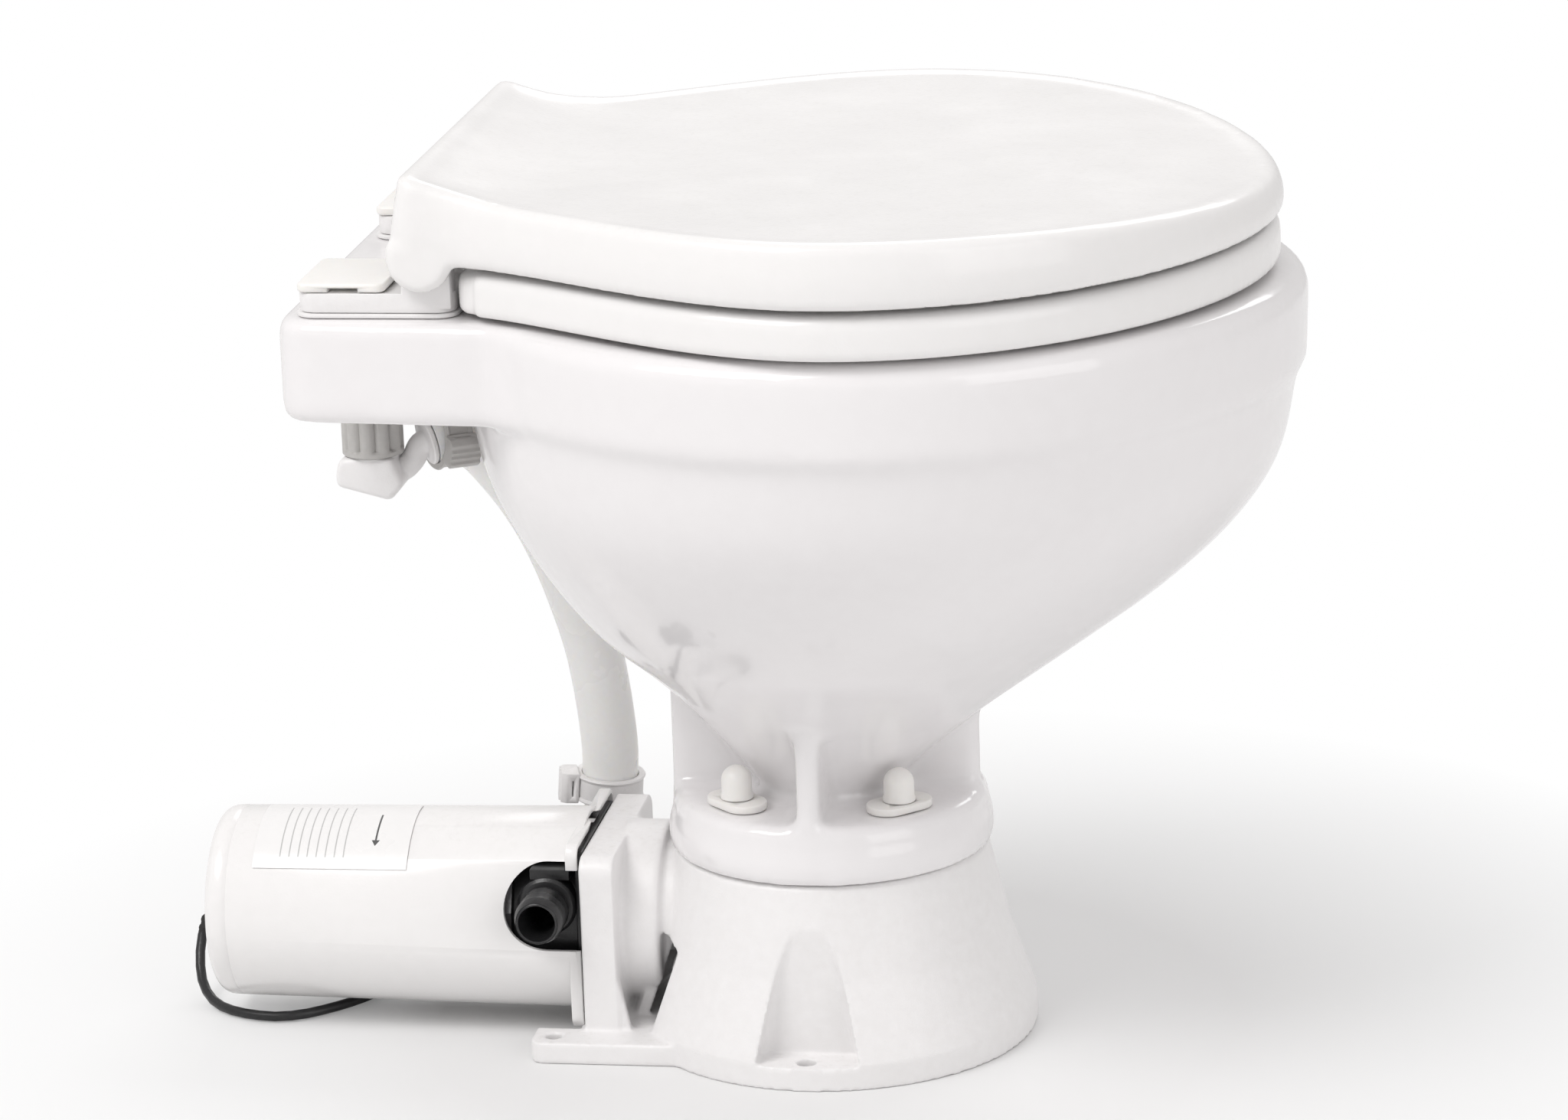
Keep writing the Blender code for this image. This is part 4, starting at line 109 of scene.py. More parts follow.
class Groups:
    """Shader node groups that several finishes share, each built once."""

    @staticmethod
    def new(name: str, inputs: Sequence[tuple[str, str, object]],
            outputs: Sequence[tuple[str, str]]) -> tuple[bpy.types.NodeTree, bpy.types.Node, bpy.types.Node]:
        """Starts a group.

        Args:
            name: the group's name.
            inputs: socket name, socket type and first value of each input.
            outputs: socket name and socket type of each output.
        Returns:
            The tree, its input node and its output node.
        """
        tree = bpy.data.node_groups.new(name, "ShaderNodeTree")
        for label, kind, value in inputs:
            socket = tree.interface.new_socket(label, in_out="INPUT", socket_type=kind)
            socket.default_value = value
        for label, kind in outputs:
            tree.interface.new_socket(label, in_out="OUTPUT", socket_type=kind)
        return tree, tree.nodes.new("NodeGroupInput"), tree.nodes.new("NodeGroupOutput")

    @staticmethod
    def feed(tree: bpy.types.NodeTree, value: object, socket: bpy.types.NodeSocket) -> None:
        """Links a socket to an input, or sets a number or a colour on it."""
        if isinstance(value, bpy.types.NodeSocket):
            tree.links.new(value, socket)
        else:
            socket.default_value = value

    @classmethod
    def math(cls, tree: bpy.types.NodeTree, kind: str, a: object, b: object,
             clamp: bool = False) -> bpy.types.NodeSocket:
        """Adds a Math node.

        Args:
            tree: the tree that gets it.
            kind: the node's operation.
            a: a socket or a number.
            b: a socket or a number.
            clamp: keeps the result from 0 to 1.
        Returns:
            The result socket.
        """
        node = tree.nodes.new("ShaderNodeMath")
        node.operation = kind
        node.use_clamp = clamp
        for socket, value in zip(node.inputs, (a, b)):
            cls.feed(tree, value, socket)
        return node.outputs[0]

    @classmethod
    def spread(cls, tree: bpy.types.NodeTree, value: bpy.types.NodeSocket, low: object,
               high: float) -> bpy.types.Node:
        """Adds a Map Range node that spreads a value between two others."""
        node = tree.nodes.new("ShaderNodeMapRange")
        tree.links.new(value, node.inputs["Value"])
        cls.feed(tree, low, node.inputs["From Min"])
        node.inputs["From Max"].default_value = high
        return node

    @classmethod
    def mix(cls, tree: bpy.types.NodeTree, share: bpy.types.NodeSocket, first: object,
            second: object) -> bpy.types.NodeSocket:
        """Mixes two colours by a share and returns the result socket."""
        node = tree.nodes.new("ShaderNodeMix")
        node.data_type = "RGBA"
        for value, name in ((share, "Factor"), (first, "A"), (second, "B")):
            cls.feed(tree, value, node.inputs[name])
        return node.outputs["Result"]

    @classmethod
    def noise(cls, tree: bpy.types.NodeTree, scale: object, detail: float,
              vector: bpy.types.NodeSocket) -> bpy.types.NodeSocket:
        """Adds a noise pattern on a vector and returns its value socket."""
        node = tree.nodes.new("ShaderNodeTexNoise")
        node.inputs["Detail"].default_value = detail
        cls.feed(tree, scale, node.inputs["Scale"])
        tree.links.new(vector, node.inputs["Vector"])
        return node.outputs["Fac"]

    @classmethod
    def tone(cls) -> bpy.types.NodeTree:
        """Slow and fine variation of a colour, with a slightly darker shade low in the noise."""
        known = bpy.data.node_groups.get("surface tone")
        if known:
            return known
        tree, start, end = cls.new("surface tone", (
            ("Vector", "NodeSocketVector", (0, 0, 0)), ("Colour", "NodeSocketColor", (0.8, 0.8, 0.8, 1)),
            ("Shade", "NodeSocketColor", (0.7, 0.7, 0.7, 1)), ("Amount", "NodeSocketFloat", 0.5),
            ("Scale", "NodeSocketFloat", 12.0)), (("Colour", "NodeSocketColor"),))
        slow = cls.noise(tree, start.outputs["Scale"], 3, start.outputs["Vector"])
        fine_scale = cls.math(tree, "MULTIPLY", start.outputs["Scale"], 14)
        fine = cls.noise(tree, fine_scale, 2, start.outputs["Vector"])
        both = cls.math(tree, "MULTIPLY", slow, fine)
        spread = cls.spread(tree, both, 0.12, 0.42)
        share = cls.math(tree, "MULTIPLY", spread.outputs["Result"], start.outputs["Amount"], clamp=True)
        tree.links.new(cls.mix(tree, share, start.outputs["Colour"], start.outputs["Shade"]),
                       end.inputs["Colour"])
        return tree

    @classmethod
    def sheen(cls) -> bpy.types.NodeTree:
        """Roughness that wanders between two values, as handling and moulding leave it."""
        known = bpy.data.node_groups.get("surface sheen")
        if known:
            return known
        tree, start, end = cls.new("surface sheen", (
            ("Vector", "NodeSocketVector", (0, 0, 0)), ("Low", "NodeSocketFloat", 0.1),
            ("High", "NodeSocketFloat", 0.2), ("Scale", "NodeSocketFloat", 30.0)),
            (("Roughness", "NodeSocketFloat"),))
        value = cls.noise(tree, start.outputs["Scale"], 4, start.outputs["Vector"])
        spread = cls.spread(tree, value, 0.3, 0.7)
        tree.links.new(start.outputs["Low"], spread.inputs["To Min"])
        tree.links.new(start.outputs["High"], spread.inputs["To Max"])
        tree.links.new(spread.outputs["Result"], end.inputs["Roughness"])
        return tree

    @classmethod
    def relief(cls) -> bpy.types.NodeTree:
        """A height of slow waves and fine grain, for a Bump node."""
        known = bpy.data.node_groups.get("surface relief")
        if known:
            return known
        tree, start, end = cls.new("surface relief", (
            ("Vector", "NodeSocketVector", (0, 0, 0)), ("Wave Scale", "NodeSocketFloat", 20.0),
            ("Grain Scale", "NodeSocketFloat", 900.0), ("Grain Share", "NodeSocketFloat", 0.3)),
            (("Height", "NodeSocketFloat"),))
        wave = cls.noise(tree, start.outputs["Wave Scale"], 1.5, start.outputs["Vector"])
        grain = cls.noise(tree, start.outputs["Grain Scale"], 2, start.outputs["Vector"])
        part = cls.math(tree, "MULTIPLY", grain, start.outputs["Grain Share"])
        tree.links.new(cls.math(tree, "ADD", wave, part), end.inputs["Height"])
        return tree

    @classmethod
    def wear(cls) -> bpy.types.NodeTree:
        """A mask of edges that hands and tools have rubbed, broken up by noise."""
        known = bpy.data.node_groups.get("edge wear")
        if known:
            return known
        tree, start, end = cls.new("edge wear", (
            ("Vector", "NodeSocketVector", (0, 0, 0)), ("Edge", "NodeSocketFloat", 0.56),
            ("Amount", "NodeSocketFloat", 0.5)), (("Mask", "NodeSocketFloat"),))
        sharp = tree.nodes.new("ShaderNodeNewGeometry").outputs["Pointiness"]
        spread = cls.spread(tree, sharp, start.outputs["Edge"], 0.7)
        broken = cls.noise(tree, 160, 4, start.outputs["Vector"])
        mask = cls.math(tree, "MULTIPLY", spread.outputs["Result"], broken)
        tree.links.new(cls.math(tree, "MULTIPLY", mask, start.outputs["Amount"], clamp=True),
                       end.inputs["Mask"])
        return tree

    @classmethod
    def settle(cls) -> bpy.types.NodeTree:
        """A mask of thin dust that settles on surfaces facing up."""
        known = bpy.data.node_groups.get("settled dust")
        if known:
            return known
        tree, start, end = cls.new("settled dust", (
            ("Vector", "NodeSocketVector", (0, 0, 0)), ("Amount", "NodeSocketFloat", 0.2)),
            (("Mask", "NodeSocketFloat"),))
        parts = tree.nodes.new("ShaderNodeSeparateXYZ")
        tree.links.new(tree.nodes.new("ShaderNodeNewGeometry").outputs["Normal"], parts.inputs[0])
        up = cls.math(tree, "MULTIPLY", cls.math(tree, "SUBTRACT", parts.outputs["Z"], 0.55), 2.2, clamp=True)
        specks = cls.noise(tree, 420, 5, start.outputs["Vector"])
        thin = cls.math(tree, "MULTIPLY", cls.math(tree, "SUBTRACT", specks, 0.52), 4, clamp=True)
        tree.links.new(cls.math(tree, "MULTIPLY", cls.math(tree, "MULTIPLY", up, thin),
                                start.outputs["Amount"], clamp=True), end.inputs["Mask"])
        return tree


# ---- Finishes ----


@dataclass(frozen=True)
class Finish:
    """One material: its colours, its gloss and its relief.

    Args:
        slot: the record's material slot; not used.
        colour: the colour as written, linear.
        shade: the colour in the low places of the variation.
        rough: lowest and highest roughness.
        metallic: 1 for bare metal.
        coat: weight of a clear glaze or lacquer.
        waves: scale of the slow relief.
        grain: scale of the fine relief.
        grain_share: height of the grain against the waves.
        relief: distance of the bump in metres.
        amount: share of the shade in the variation.
        tone_scale: scale of the variation.
        wear: strength of rubbed edges.
        worn: the colour of rubbed edges.
        dust: strength of settled dust.
        subsurface: weight of light that enters the surface.
        radius: how far that light travels, for each colour.
        specular: the specular level.
    """

    slot: str
    colour: Colour
    shade: Colour
    rough: tuple[float, float]
    metallic: float = 0.0
    coat: float = 0.0
    waves: float = 20.0
    grain: float = 900.0
    grain_share: float = 0.3
    relief: float = 0.0001
    amount: float = 0.5
    tone_scale: float = 12.0
    wear: float = 0.0
    worn: Colour = (0.8, 0.8, 0.8)
    dust: float = 0.0
    subsurface: float = 0.0
    radius: Colour = (0.004, 0.003, 0.002)
    specular: float = 0.5

    def group(self, tree: bpy.types.NodeTree, kind: bpy.types.NodeTree, where: bpy.types.NodeSocket,
              **values: object) -> bpy.types.Node:
        """Places a shared group in a material.

        Args:
            tree: the material's tree.
            kind: the shared group.
            where: the coordinates it reads.
            values: its input values by name, with _ for a space.
        Returns:
            The group node.
        """
        node = tree.nodes.new("ShaderNodeGroup")
        node.node_tree = kind
        tree.links.new(where, node.inputs["Vector"])
        for name, value in values.items():
            node.inputs[name.replace("_", " ")].default_value = value
        return node

    def paint(self, tree: bpy.types.NodeTree, where: bpy.types.NodeSocket) -> bpy.types.NodeSocket:
        """The base colour with its variation, wear and dust."""
        tone = self.group(tree, Groups.tone(), where, Colour=(*self.colour, 1), Shade=(*self.shade, 1),
                          Amount=self.amount, Scale=self.tone_scale).outputs["Colour"]
        for mask, colour in self.masks(tree, where):
            tone = Groups.mix(tree, mask, tone, (*colour, 1))
        return tone

    def masks(self, tree: bpy.types.NodeTree,
              where: bpy.types.NodeSocket) -> list[tuple[bpy.types.NodeSocket, Colour]]:
        """The masks that lie over the tone, each with its colour."""
        found = []
        if self.wear:
            found.append((self.group(tree, Groups.wear(), where, Amount=self.wear).outputs["Mask"],
                          self.worn))
        if self.dust:
            found.append((self.group(tree, Groups.settle(), where, Amount=self.dust).outputs["Mask"],
                          (0.62, 0.60, 0.57)))
        return found

    def height(self, tree: bpy.types.NodeTree, where: bpy.types.NodeSocket) -> bpy.types.NodeSocket:
        """The relief as a height."""
        return self.group(tree, Groups.relief(), where, Wave_Scale=self.waves, Grain_Scale=self.grain,
                          Grain_Share=self.grain_share).outputs["Height"]

    def make(self, name: str) -> bpy.types.Material:
        """Builds the material once, under a title with the finish's name.

        Args:
            name: the finish's name.
        Returns:
            The material.
        """
        title = f"{name} finish"
        known = bpy.data.materials.get(title)
        if known:
            return known
        made = bpy.data.materials.new(title)
        made.use_nodes = True
        tree = made.node_tree
        shader = tree.nodes["Principled BSDF"]
        where = tree.nodes.new("ShaderNodeTexCoord").outputs["Object"]
        tree.links.new(self.paint(tree, where), shader.inputs["Base Color"])
        sheen = self.group(tree, Groups.sheen(), where, Low=self.rough[0], High=self.rough[1])
        tree.links.new(sheen.outputs["Roughness"], shader.inputs["Roughness"])
        bump = tree.nodes.new("ShaderNodeBump")
        bump.inputs["Strength"].default_value = 1.0
        bump.inputs["Distance"].default_value = self.relief
        tree.links.new(self.height(tree, where), bump.inputs["Height"])
        tree.links.new(bump.outputs["Normal"], shader.inputs["Normal"])
        shader.inputs["Metallic"].default_value = self.metallic
        shader.inputs["Specular IOR Level"].default_value = self.specular
        shader.inputs["Coat Weight"].default_value = self.coat
        shader.inputs["Coat Roughness"].default_value = 0.04
        shader.inputs["Subsurface Weight"].default_value = self.subsurface
        shader.inputs["Subsurface Radius"].default_value = self.radius
        shader.inputs["Subsurface Scale"].default_value = 1.0
        return made


@dataclass(frozen=True)
class PrintedLabel(Finish):
    """Foil with generic print: an arrow and ruled lines, drawn in the label's own UV map."""

    ink: Colour = (0.10, 0.10, 0.10)

    def band(self, tree: bpy.types.NodeTree, value: bpy.types.NodeSocket, low: float,
             high: float) -> bpy.types.NodeSocket:
        """A mask that is 1 where a coordinate is between two values."""
        above = Groups.math(tree, "GREATER_THAN", value, low)
        below = Groups.math(tree, "LESS_THAN", value, high)
        return Groups.math(tree, "MULTIPLY", above, below)

    def masks(self, tree: bpy.types.NodeTree,
              where: bpy.types.NodeSocket) -> list[tuple[bpy.types.NodeSocket, Colour]]:
        """The arrow and the ruled lines over the foil."""
        parts = tree.nodes.new("ShaderNodeSeparateXYZ")
        tree.links.new(tree.nodes.new("ShaderNodeTexCoord").outputs["UV"], parts.inputs[0])
        u, v = parts.outputs["X"], parts.outputs["Y"]
        shaft = Groups.math(tree, "MULTIPLY", self.band(tree, u, 0.772, 0.784),
                            self.band(tree, v, 0.30, 0.72))
        off = Groups.math(tree, "ABSOLUTE", Groups.math(tree, "SUBTRACT", u, 0.778), 0.0)
        depth = Groups.math(tree, "SUBTRACT", v, 0.66)
        cone = Groups.math(tree, "LESS_THAN", Groups.math(tree, "MULTIPLY", off, 2.6),
                           Groups.math(tree, "SUBTRACT", 0.09, depth))
        head = Groups.math(tree, "MULTIPLY", cone, self.band(tree, v, 0.68, 0.76))
        rows = Groups.math(tree, "GREATER_THAN", Groups.math(tree, "FRACT", Groups.math(
            tree, "MULTIPLY", u, 17), 0.0), 0.86)
        table = Groups.math(tree, "MULTIPLY", self.band(tree, u, 0.13, 0.60), self.band(tree, v, 0.14, 0.88))
        lines = Groups.math(tree, "MULTIPLY", rows, table)
        arrow = Groups.math(tree, "MAXIMUM", shaft, head)
        faint = Groups.math(tree, "MULTIPLY", lines, 0.45)
        return [(Groups.math(tree, "MAXIMUM", arrow, faint, clamp=True), self.ink)]


CHINA = Finish("china", (0.86, 0.845, 0.85), (0.82, 0.80, 0.805), (0.11, 0.17), coat=0.4, waves=9,
               grain=260, grain_share=0.05, relief=0.0003, amount=0.35, tone_scale=9, dust=0.12,
               specular=0.55)
GLOSS_WHITE = Finish("gloss_white", (0.87, 0.86, 0.855), (0.83, 0.82, 0.812), (0.14, 0.24), waves=14,
                     grain=1100, grain_share=0.16, relief=0.00018, amount=0.4, tone_scale=11, dust=0.15)
SATIN_WHITE = Finish("satin_white", (0.85, 0.84, 0.84), (0.79, 0.775, 0.77), (0.32, 0.46), waves=22,
                     grain=1500, grain_share=0.5, relief=0.00016, amount=0.5, tone_scale=16, wear=0.25,
                     worn=(0.9, 0.9, 0.89), dust=0.3)
IVORY = Finish("ivory", (0.88, 0.865, 0.84), (0.84, 0.82, 0.785), (0.30, 0.42), waves=26, grain=1400,
               grain_share=0.4, relief=0.00012, amount=0.4, tone_scale=22, subsurface=0.08)
HOSE_IVORY = Finish("hose_ivory", (0.93, 0.915, 0.89), (0.90, 0.875, 0.84), (0.22, 0.34), waves=40, grain=700,
                    grain_share=0.3, relief=0.0002, amount=0.5, tone_scale=30, subsurface=0.25,
                    radius=(0.006, 0.004, 0.002))
GREY = Finish("grey", (0.50, 0.49, 0.475), (0.42, 0.41, 0.395), (0.34, 0.48), waves=30, grain=1300,
              grain_share=0.5, relief=0.00015, amount=0.5, tone_scale=34, wear=0.3, worn=(0.66, 0.65, 0.64))
BLACK = Finish("black", (0.012, 0.012, 0.013), (0.022, 0.022, 0.023), (0.24, 0.42), waves=40, grain=1200,
               grain_share=0.45, relief=0.00018, amount=0.6, tone_scale=40, wear=0.35,
               worn=(0.09, 0.09, 0.09))
RUBBER = Finish("black_rubber", (0.022, 0.021, 0.021), (0.045, 0.043, 0.042), (0.58, 0.76), waves=50,
                grain=1800, grain_share=0.7, relief=0.0002, amount=0.5, tone_scale=60, specular=0.35)
STEEL = Finish("steel", (0.62, 0.62, 0.63), (0.50, 0.50, 0.51), (0.22, 0.38), metallic=1.0, waves=60,
               grain=2200, grain_share=0.5, relief=0.00008, amount=0.5, tone_scale=70)
BRASS = Finish("steel", (0.72, 0.52, 0.25), (0.58, 0.40, 0.18), (0.22, 0.36), metallic=1.0, waves=60,
               grain=2200, grain_share=0.4, relief=0.00006, amount=0.5, tone_scale=90)
LABEL = PrintedLabel("label", (0.86, 0.855, 0.85), (0.82, 0.815, 0.81), (0.20, 0.34), waves=30, grain=1600,
                     grain_share=0.2, relief=0.00006, amount=0.3, tone_scale=30)
FINISHES = {"china": CHINA, "gloss_white": GLOSS_WHITE, "satin_white": SATIN_WHITE, "ivory": IVORY,
            "hose_ivory": HOSE_IVORY, "grey": GREY, "black": BLACK, "black_rubber": RUBBER, "steel": STEEL,
            "label": LABEL, "brass": BRASS}


def material(name: str) -> bpy.types.Material:
    """The material of a named finish."""
    return FINISHES[name].make(name)


# ---- Shapes ----


def level(outline: Iterable[Flat], z: float | Callable[[float], float]) -> list[Point]:
    """A flat outline at one height, or at the height that a function gives for each X."""
    return [(x, y, z(x) if callable(z) else z) for x, y in outline]


def circle(radius: float, steps: int = 96) -> list[Flat]:
    """A round outline."""
    angles = (math.tau * k / steps for k in range(steps))
    return [(radius * math.cos(a), radius * math.sin(a)) for a in angles]


def quarter(steps: int) -> list[Flat]:
    """How far a round edge falls back (1 - cos) and is still to rise (1 - sin), over a quarter turn."""
    return [(1 - math.cos(a), 1 - math.sin(a)) for a in (math.pi / 2 * i / steps for i in range(steps + 1))]


def mirrored(half: list[Flat]) -> list[Flat]:
    """Closes a half outline, given from the front to the rear on the far side, with its near side."""
    return half + [(x, -y) for x, y in reversed(half) if y > 0]


def oval(front: float, rear: float, width: float, widest: float, front_power: float, rear_power: float,
         steps: int = 26, spine: float = 0.005) -> list[Flat]:
    """The bowl's plan, from the front round to its blunt rear spine.

    Args:
        front: reach along +X.
        rear: reach along -X.
        width: half width.
        widest: where along X it is widest.
        front_power: roundness of the front, 2 for an ellipse.
        rear_power: roundness of the rear.
        steps: points on each quarter.
        spine: half width of the flat at the rear.
    Returns:
        The closed outline.
    """
    half = []
    for i in range(steps + 1):
        c = abs(math.cos(math.pi / 2 * i / steps))
        y = width * max(0.0, 1 - c ** front_power) ** (1 / front_power)
        half.append((widest + (front - widest) * c, y))
    for i in range(1, steps + 1):
        c = math.sin(math.pi / 2 * i / steps)
        y = width * max(0.0, 1 - c ** rear_power) ** (1 / rear_power)
        half.append((widest - (rear + widest) * c, max(y, spine)))
    return mirrored(half)


def rounded(half_x: float, half_y: float, corner: float, centre: Flat = (0, 0), steps: int = 8) -> list[Flat]:
    """A rectangle's outline with round corners."""
    points = []
    for turn, sx, sy in ((0, 1, 1), (1, -1, 1), (2, -1, -1), (3, 1, -1)):
        for i in range(steps + 1):
            angle = math.pi / 2 * (turn + i / steps)
            points.append((centre[0] + sx * (half_x - corner) + corner * math.cos(angle),
                           centre[1] + sy * (half_y - corner) + corner * math.sin(angle)))
    return points


def eased(table: Sequence[Sequence[float]], share: float) -> list[float]:
    """A smooth value between the rows of a table.

    Args:
        table: rows that start with their share from 0 to 1.
        share: the place between the first and the last row.
    Returns:
        The other values of the row at that place.
    """
    k = 0
    while k < len(table) - 2 and table[k + 1][0] < share:
        k += 1
    low, high = table[k], table[k + 1]
    before, after = table[max(k - 1, 0)], table[min(k + 2, len(table) - 1)]
    span = high[0] - low[0]
    t = (share - low[0]) / span
    values = []
    for a, b, c, d in zip(before[1:], low[1:], high[1:], after[1:]):
        start = (c - a) / (high[0] - before[0]) * span if k else c - b
        stop = (d - b) / (after[0] - low[0]) * span if k < len(table) - 2 else c - b
        values.append(b * (1 + 2 * t) * (1 - t) ** 2 + start * t * (1 - t) ** 2
                      + c * t * t * (3 - 2 * t) + stop * t * t * (t - 1))
    return values


def smooth_route(points: Sequence[Point], count: int, fine_steps: int = 24) -> list[Vector]:
    """Evenly many points on a smooth curve through a route's own points."""
    knots = [Vector(p) for p in points]
    knots = [2 * knots[0] - knots[1]] + knots + [2 * knots[-1] - knots[-2]]
    fine = []
    for span in range(len(knots) - 3):
        a, b, c, d = knots[span:span + 4]
        for i in range(fine_steps):
            t = i / fine_steps
            fine.append(0.5 * (2 * b + (c - a) * t + (2 * a - 5 * b + 4 * c - d) * t ** 2
                               + (3 * b - a - 3 * c + d) * t ** 3))
    fine.append(knots[-2])
    runs = [0.0]
    for a, b in zip(fine, fine[1:]):
        runs.append(runs[-1] + (b - a).length)
    route, k = [], 0
    for i in range(count):
        want = runs[-1] * i / (count - 1)
        while k < len(runs) - 2 and runs[k + 1] < want:
            k += 1
        route.append(fine[k].lerp(fine[k + 1], (want - runs[k]) / (runs[k + 1] - runs[k])))
    return route


def turn_to(axis: Point, at: Point) -> Matrix:
    """The matrix that carries +Z to an axis and the origin to a place."""
    return Matrix.Translation(at) @ Vector((0, 0, 1)).rotation_difference(Vector(axis)).to_matrix().to_4x4()


ALONG_X = Matrix(((0, 0, 1, 0), (1, 0, 0, 0), (0, 1, 0, 0), (0, 0, 0, 1)))
ALONG_Y = Matrix(((1, 0, 0, 0), (0, 0, -1, 0), (0, 1, 0, 0), (0, 0, 0, 1)))


class Form:
    """Makes meshes with bmesh operators and joins, cuts and softens them."""

    @staticmethod
    def place(bm: bmesh.types.BMesh, name: str, sharp: float = 40.0) -> bpy.types.Object:
        """Turns a bmesh into a linked object at the origin.

        Args:
            bm: the shape, which is freed.
            name: the object's name.
            sharp: edges sharper than this many degrees stay sharp.
        Returns:
            The object.
        """
        bmesh.ops.remove_doubles(bm, verts=bm.verts, dist=0.00001)
        bmesh.ops.recalc_face_normals(bm, faces=bm.faces)
        mesh = bpy.data.meshes.new(name)
        bm.to_mesh(mesh)
        bm.free()
        mesh.shade_smooth()
        mesh.set_sharp_from_angle(angle=math.radians(sharp))
        made = bpy.data.objects.new(name, mesh)
        bpy.context.scene.collection.objects.link(made)
        return made

    @classmethod
    def loft(cls, name: str, rings: Sequence[Sequence[Point]], capped: bool = True) -> bpy.types.Object:
        """Bridges outlines of like points into one body."""
        bm = bmesh.new()
        loops = []
        for outline in rings:
            verts = [bm.verts.new(point) for point in outline]
            loops.append([bm.edges.new(pair) for pair in zip(verts, verts[1:] + verts[:1])])
        for low, high in zip(loops, loops[1:]):
            bmesh.ops.bridge_loops(bm, edges=low + high)
        if capped:
            for loop in (loops[0], loops[-1]):
                bmesh.ops.contextual_create(bm, geom=loop)
        return cls.place(bm, name)

    @classmethod
    def turned(cls, name: str, profile: Sequence[Flat], axis: Point = UP, at: Point = (0, 0, 0),
               steps: int = 48) -> bpy.types.Object:
        """Spins an outline of (radius, height) points about an axis."""
        bm = bmesh.new()
        verts = [bm.verts.new((radius, 0, height)) for radius, height in profile]
        edges = [bm.edges.new((a, b)) for a, b in zip(verts, verts[1:] + verts[:1]) if a.co.x or b.co.x]
        bmesh.ops.spin(bm, geom=verts + edges, axis=(0, 0, 1), cent=(0, 0, 0), angle=math.tau, steps=steps,
                       use_merge=True)
        bmesh.ops.transform(bm, matrix=turn_to(axis, at), verts=bm.verts)
        return cls.place(bm, name)

    @classmethod
    def rod(cls, name: str, radius: float, low: float, high: float, axis: Point = UP,
            at: Point = (0, 0, 0), steps: int = 40) -> bpy.types.Object:
        """A round bar between two heights on its axis."""
        return cls.prism(name, circle(radius, steps), low, high, turn_to(axis, at))

    @classmethod
    def barrel(cls, name: str, radius: float, low: float, high: float, edge: float, axis: Point = UP,
               at: Point = (0, 0, 0), steps: int = 48) -> bpy.types.Object:
        """A round bar whose two rims are broken by an edge."""
        return cls.turned(name, ((0, low), (radius - edge, low), (radius, low + edge), (radius, high - edge),
                                 (radius - edge, high), (0, high)), axis, at, steps)

    @classmethod
    def prism(cls, name: str, outline: Sequence[Flat], low: float, high: float,
              to_world: Matrix | None = None) -> bpy.types.Object:
        """Extrudes a flat outline from one height to another."""
        bm = bmesh.new()
        face = bm.faces.new([bm.verts.new((x, y, low)) for x, y in outline])
        moved = bmesh.ops.extrude_face_region(bm, geom=[face])["geom"]
        bmesh.ops.translate(bm, vec=(0, 0, high - low),
                            verts=[v for v in moved if isinstance(v, bmesh.types.BMVert)])
        if to_world:
            bmesh.ops.transform(bm, matrix=to_world, verts=bm.verts)
        return cls.place(bm, name)

    @classmethod
    def box(cls, name: str, low: Point, high: Point) -> bpy.types.Object:
        """A plain block between two corners, for joining or cutting."""
        outline = ((low[0], low[1]), (high[0], low[1]), (high[0], high[1]), (low[0], high[1]))
        return cls.prism(name, outline, low[2], high[2])

    @classmethod
    def tube(cls, name: str, route: Sequence[Vector], radii: float | Sequence[float],
             steps: int = 32) -> bpy.types.Object:
        """A round bar along a route, with one radius or one for each point."""
        widths = [radii] * len(route) if isinstance(radii, float) else list(radii)
        rings, side = [], Vector((0.3, 0.2, 1)).normalized()
        for i, at in enumerate(route):
            ahead = (route[min(i + 1, len(route) - 1)] - route[max(i - 1, 0)]).normalized()
            side = (side - ahead * side.dot(ahead)).normalized()
            other = ahead.cross(side)
            rings.append([at + (side * math.cos(a) + other * math.sin(a)) * widths[i]
                          for a in (math.tau * k / steps for k in range(steps))])
        return cls.loft(name, rings)

    @staticmethod
    def solid_mesh(target: bpy.types.Object) -> bpy.types.Object:
        """Applies an object's modifiers."""
        bpy.context.view_layer.update()
        graph = bpy.context.evaluated_depsgraph_get()
        mesh = bpy.data.meshes.new_from_object(target.evaluated_get(graph))
        old = target.data
        target.modifiers.clear()
        target.data = mesh
        mesh.name = target.name
        bpy.data.meshes.remove(old)
        return target

    @staticmethod
    def weld(target: bpy.types.Object, dist: float = 0.000003) -> None:
        """Closes hairline seams that a cut leaves."""
        bm = bmesh.new()
        bm.from_mesh(target.data)
        bmesh.ops.remove_doubles(bm, verts=bm.verts, dist=dist)
        bmesh.ops.dissolve_degenerate(bm, edges=bm.edges, dist=dist)
        bm.to_mesh(target.data)
        bm.free()

    @classmethod
    def combine(cls, target: bpy.types.Object, operation: str,
                others: Sequence[bpy.types.Object]) -> bpy.types.Object:
        """Joins others to a body or cuts them from it, and removes them."""
        for other in others:
            step = target.modifiers.new("Boolean", "BOOLEAN")
            step.operation = operation
            step.solver = "EXACT"
            step.object = other
            cls.weld(cls.solid_mesh(target))
            bpy.data.objects.remove(other, do_unlink=True)
        return target

    @classmethod
    def join(cls, target: bpy.types.Object, *others: bpy.types.Object) -> bpy.types.Object:
        """Joins bodies to a target."""
        return cls.combine(target, "UNION", others)

    @classmethod
    def cut(cls, target: bpy.types.Object, *others: bpy.types.Object) -> bpy.types.Object:
        """Cuts bodies from a target."""
        return cls.combine(target, "DIFFERENCE", others)

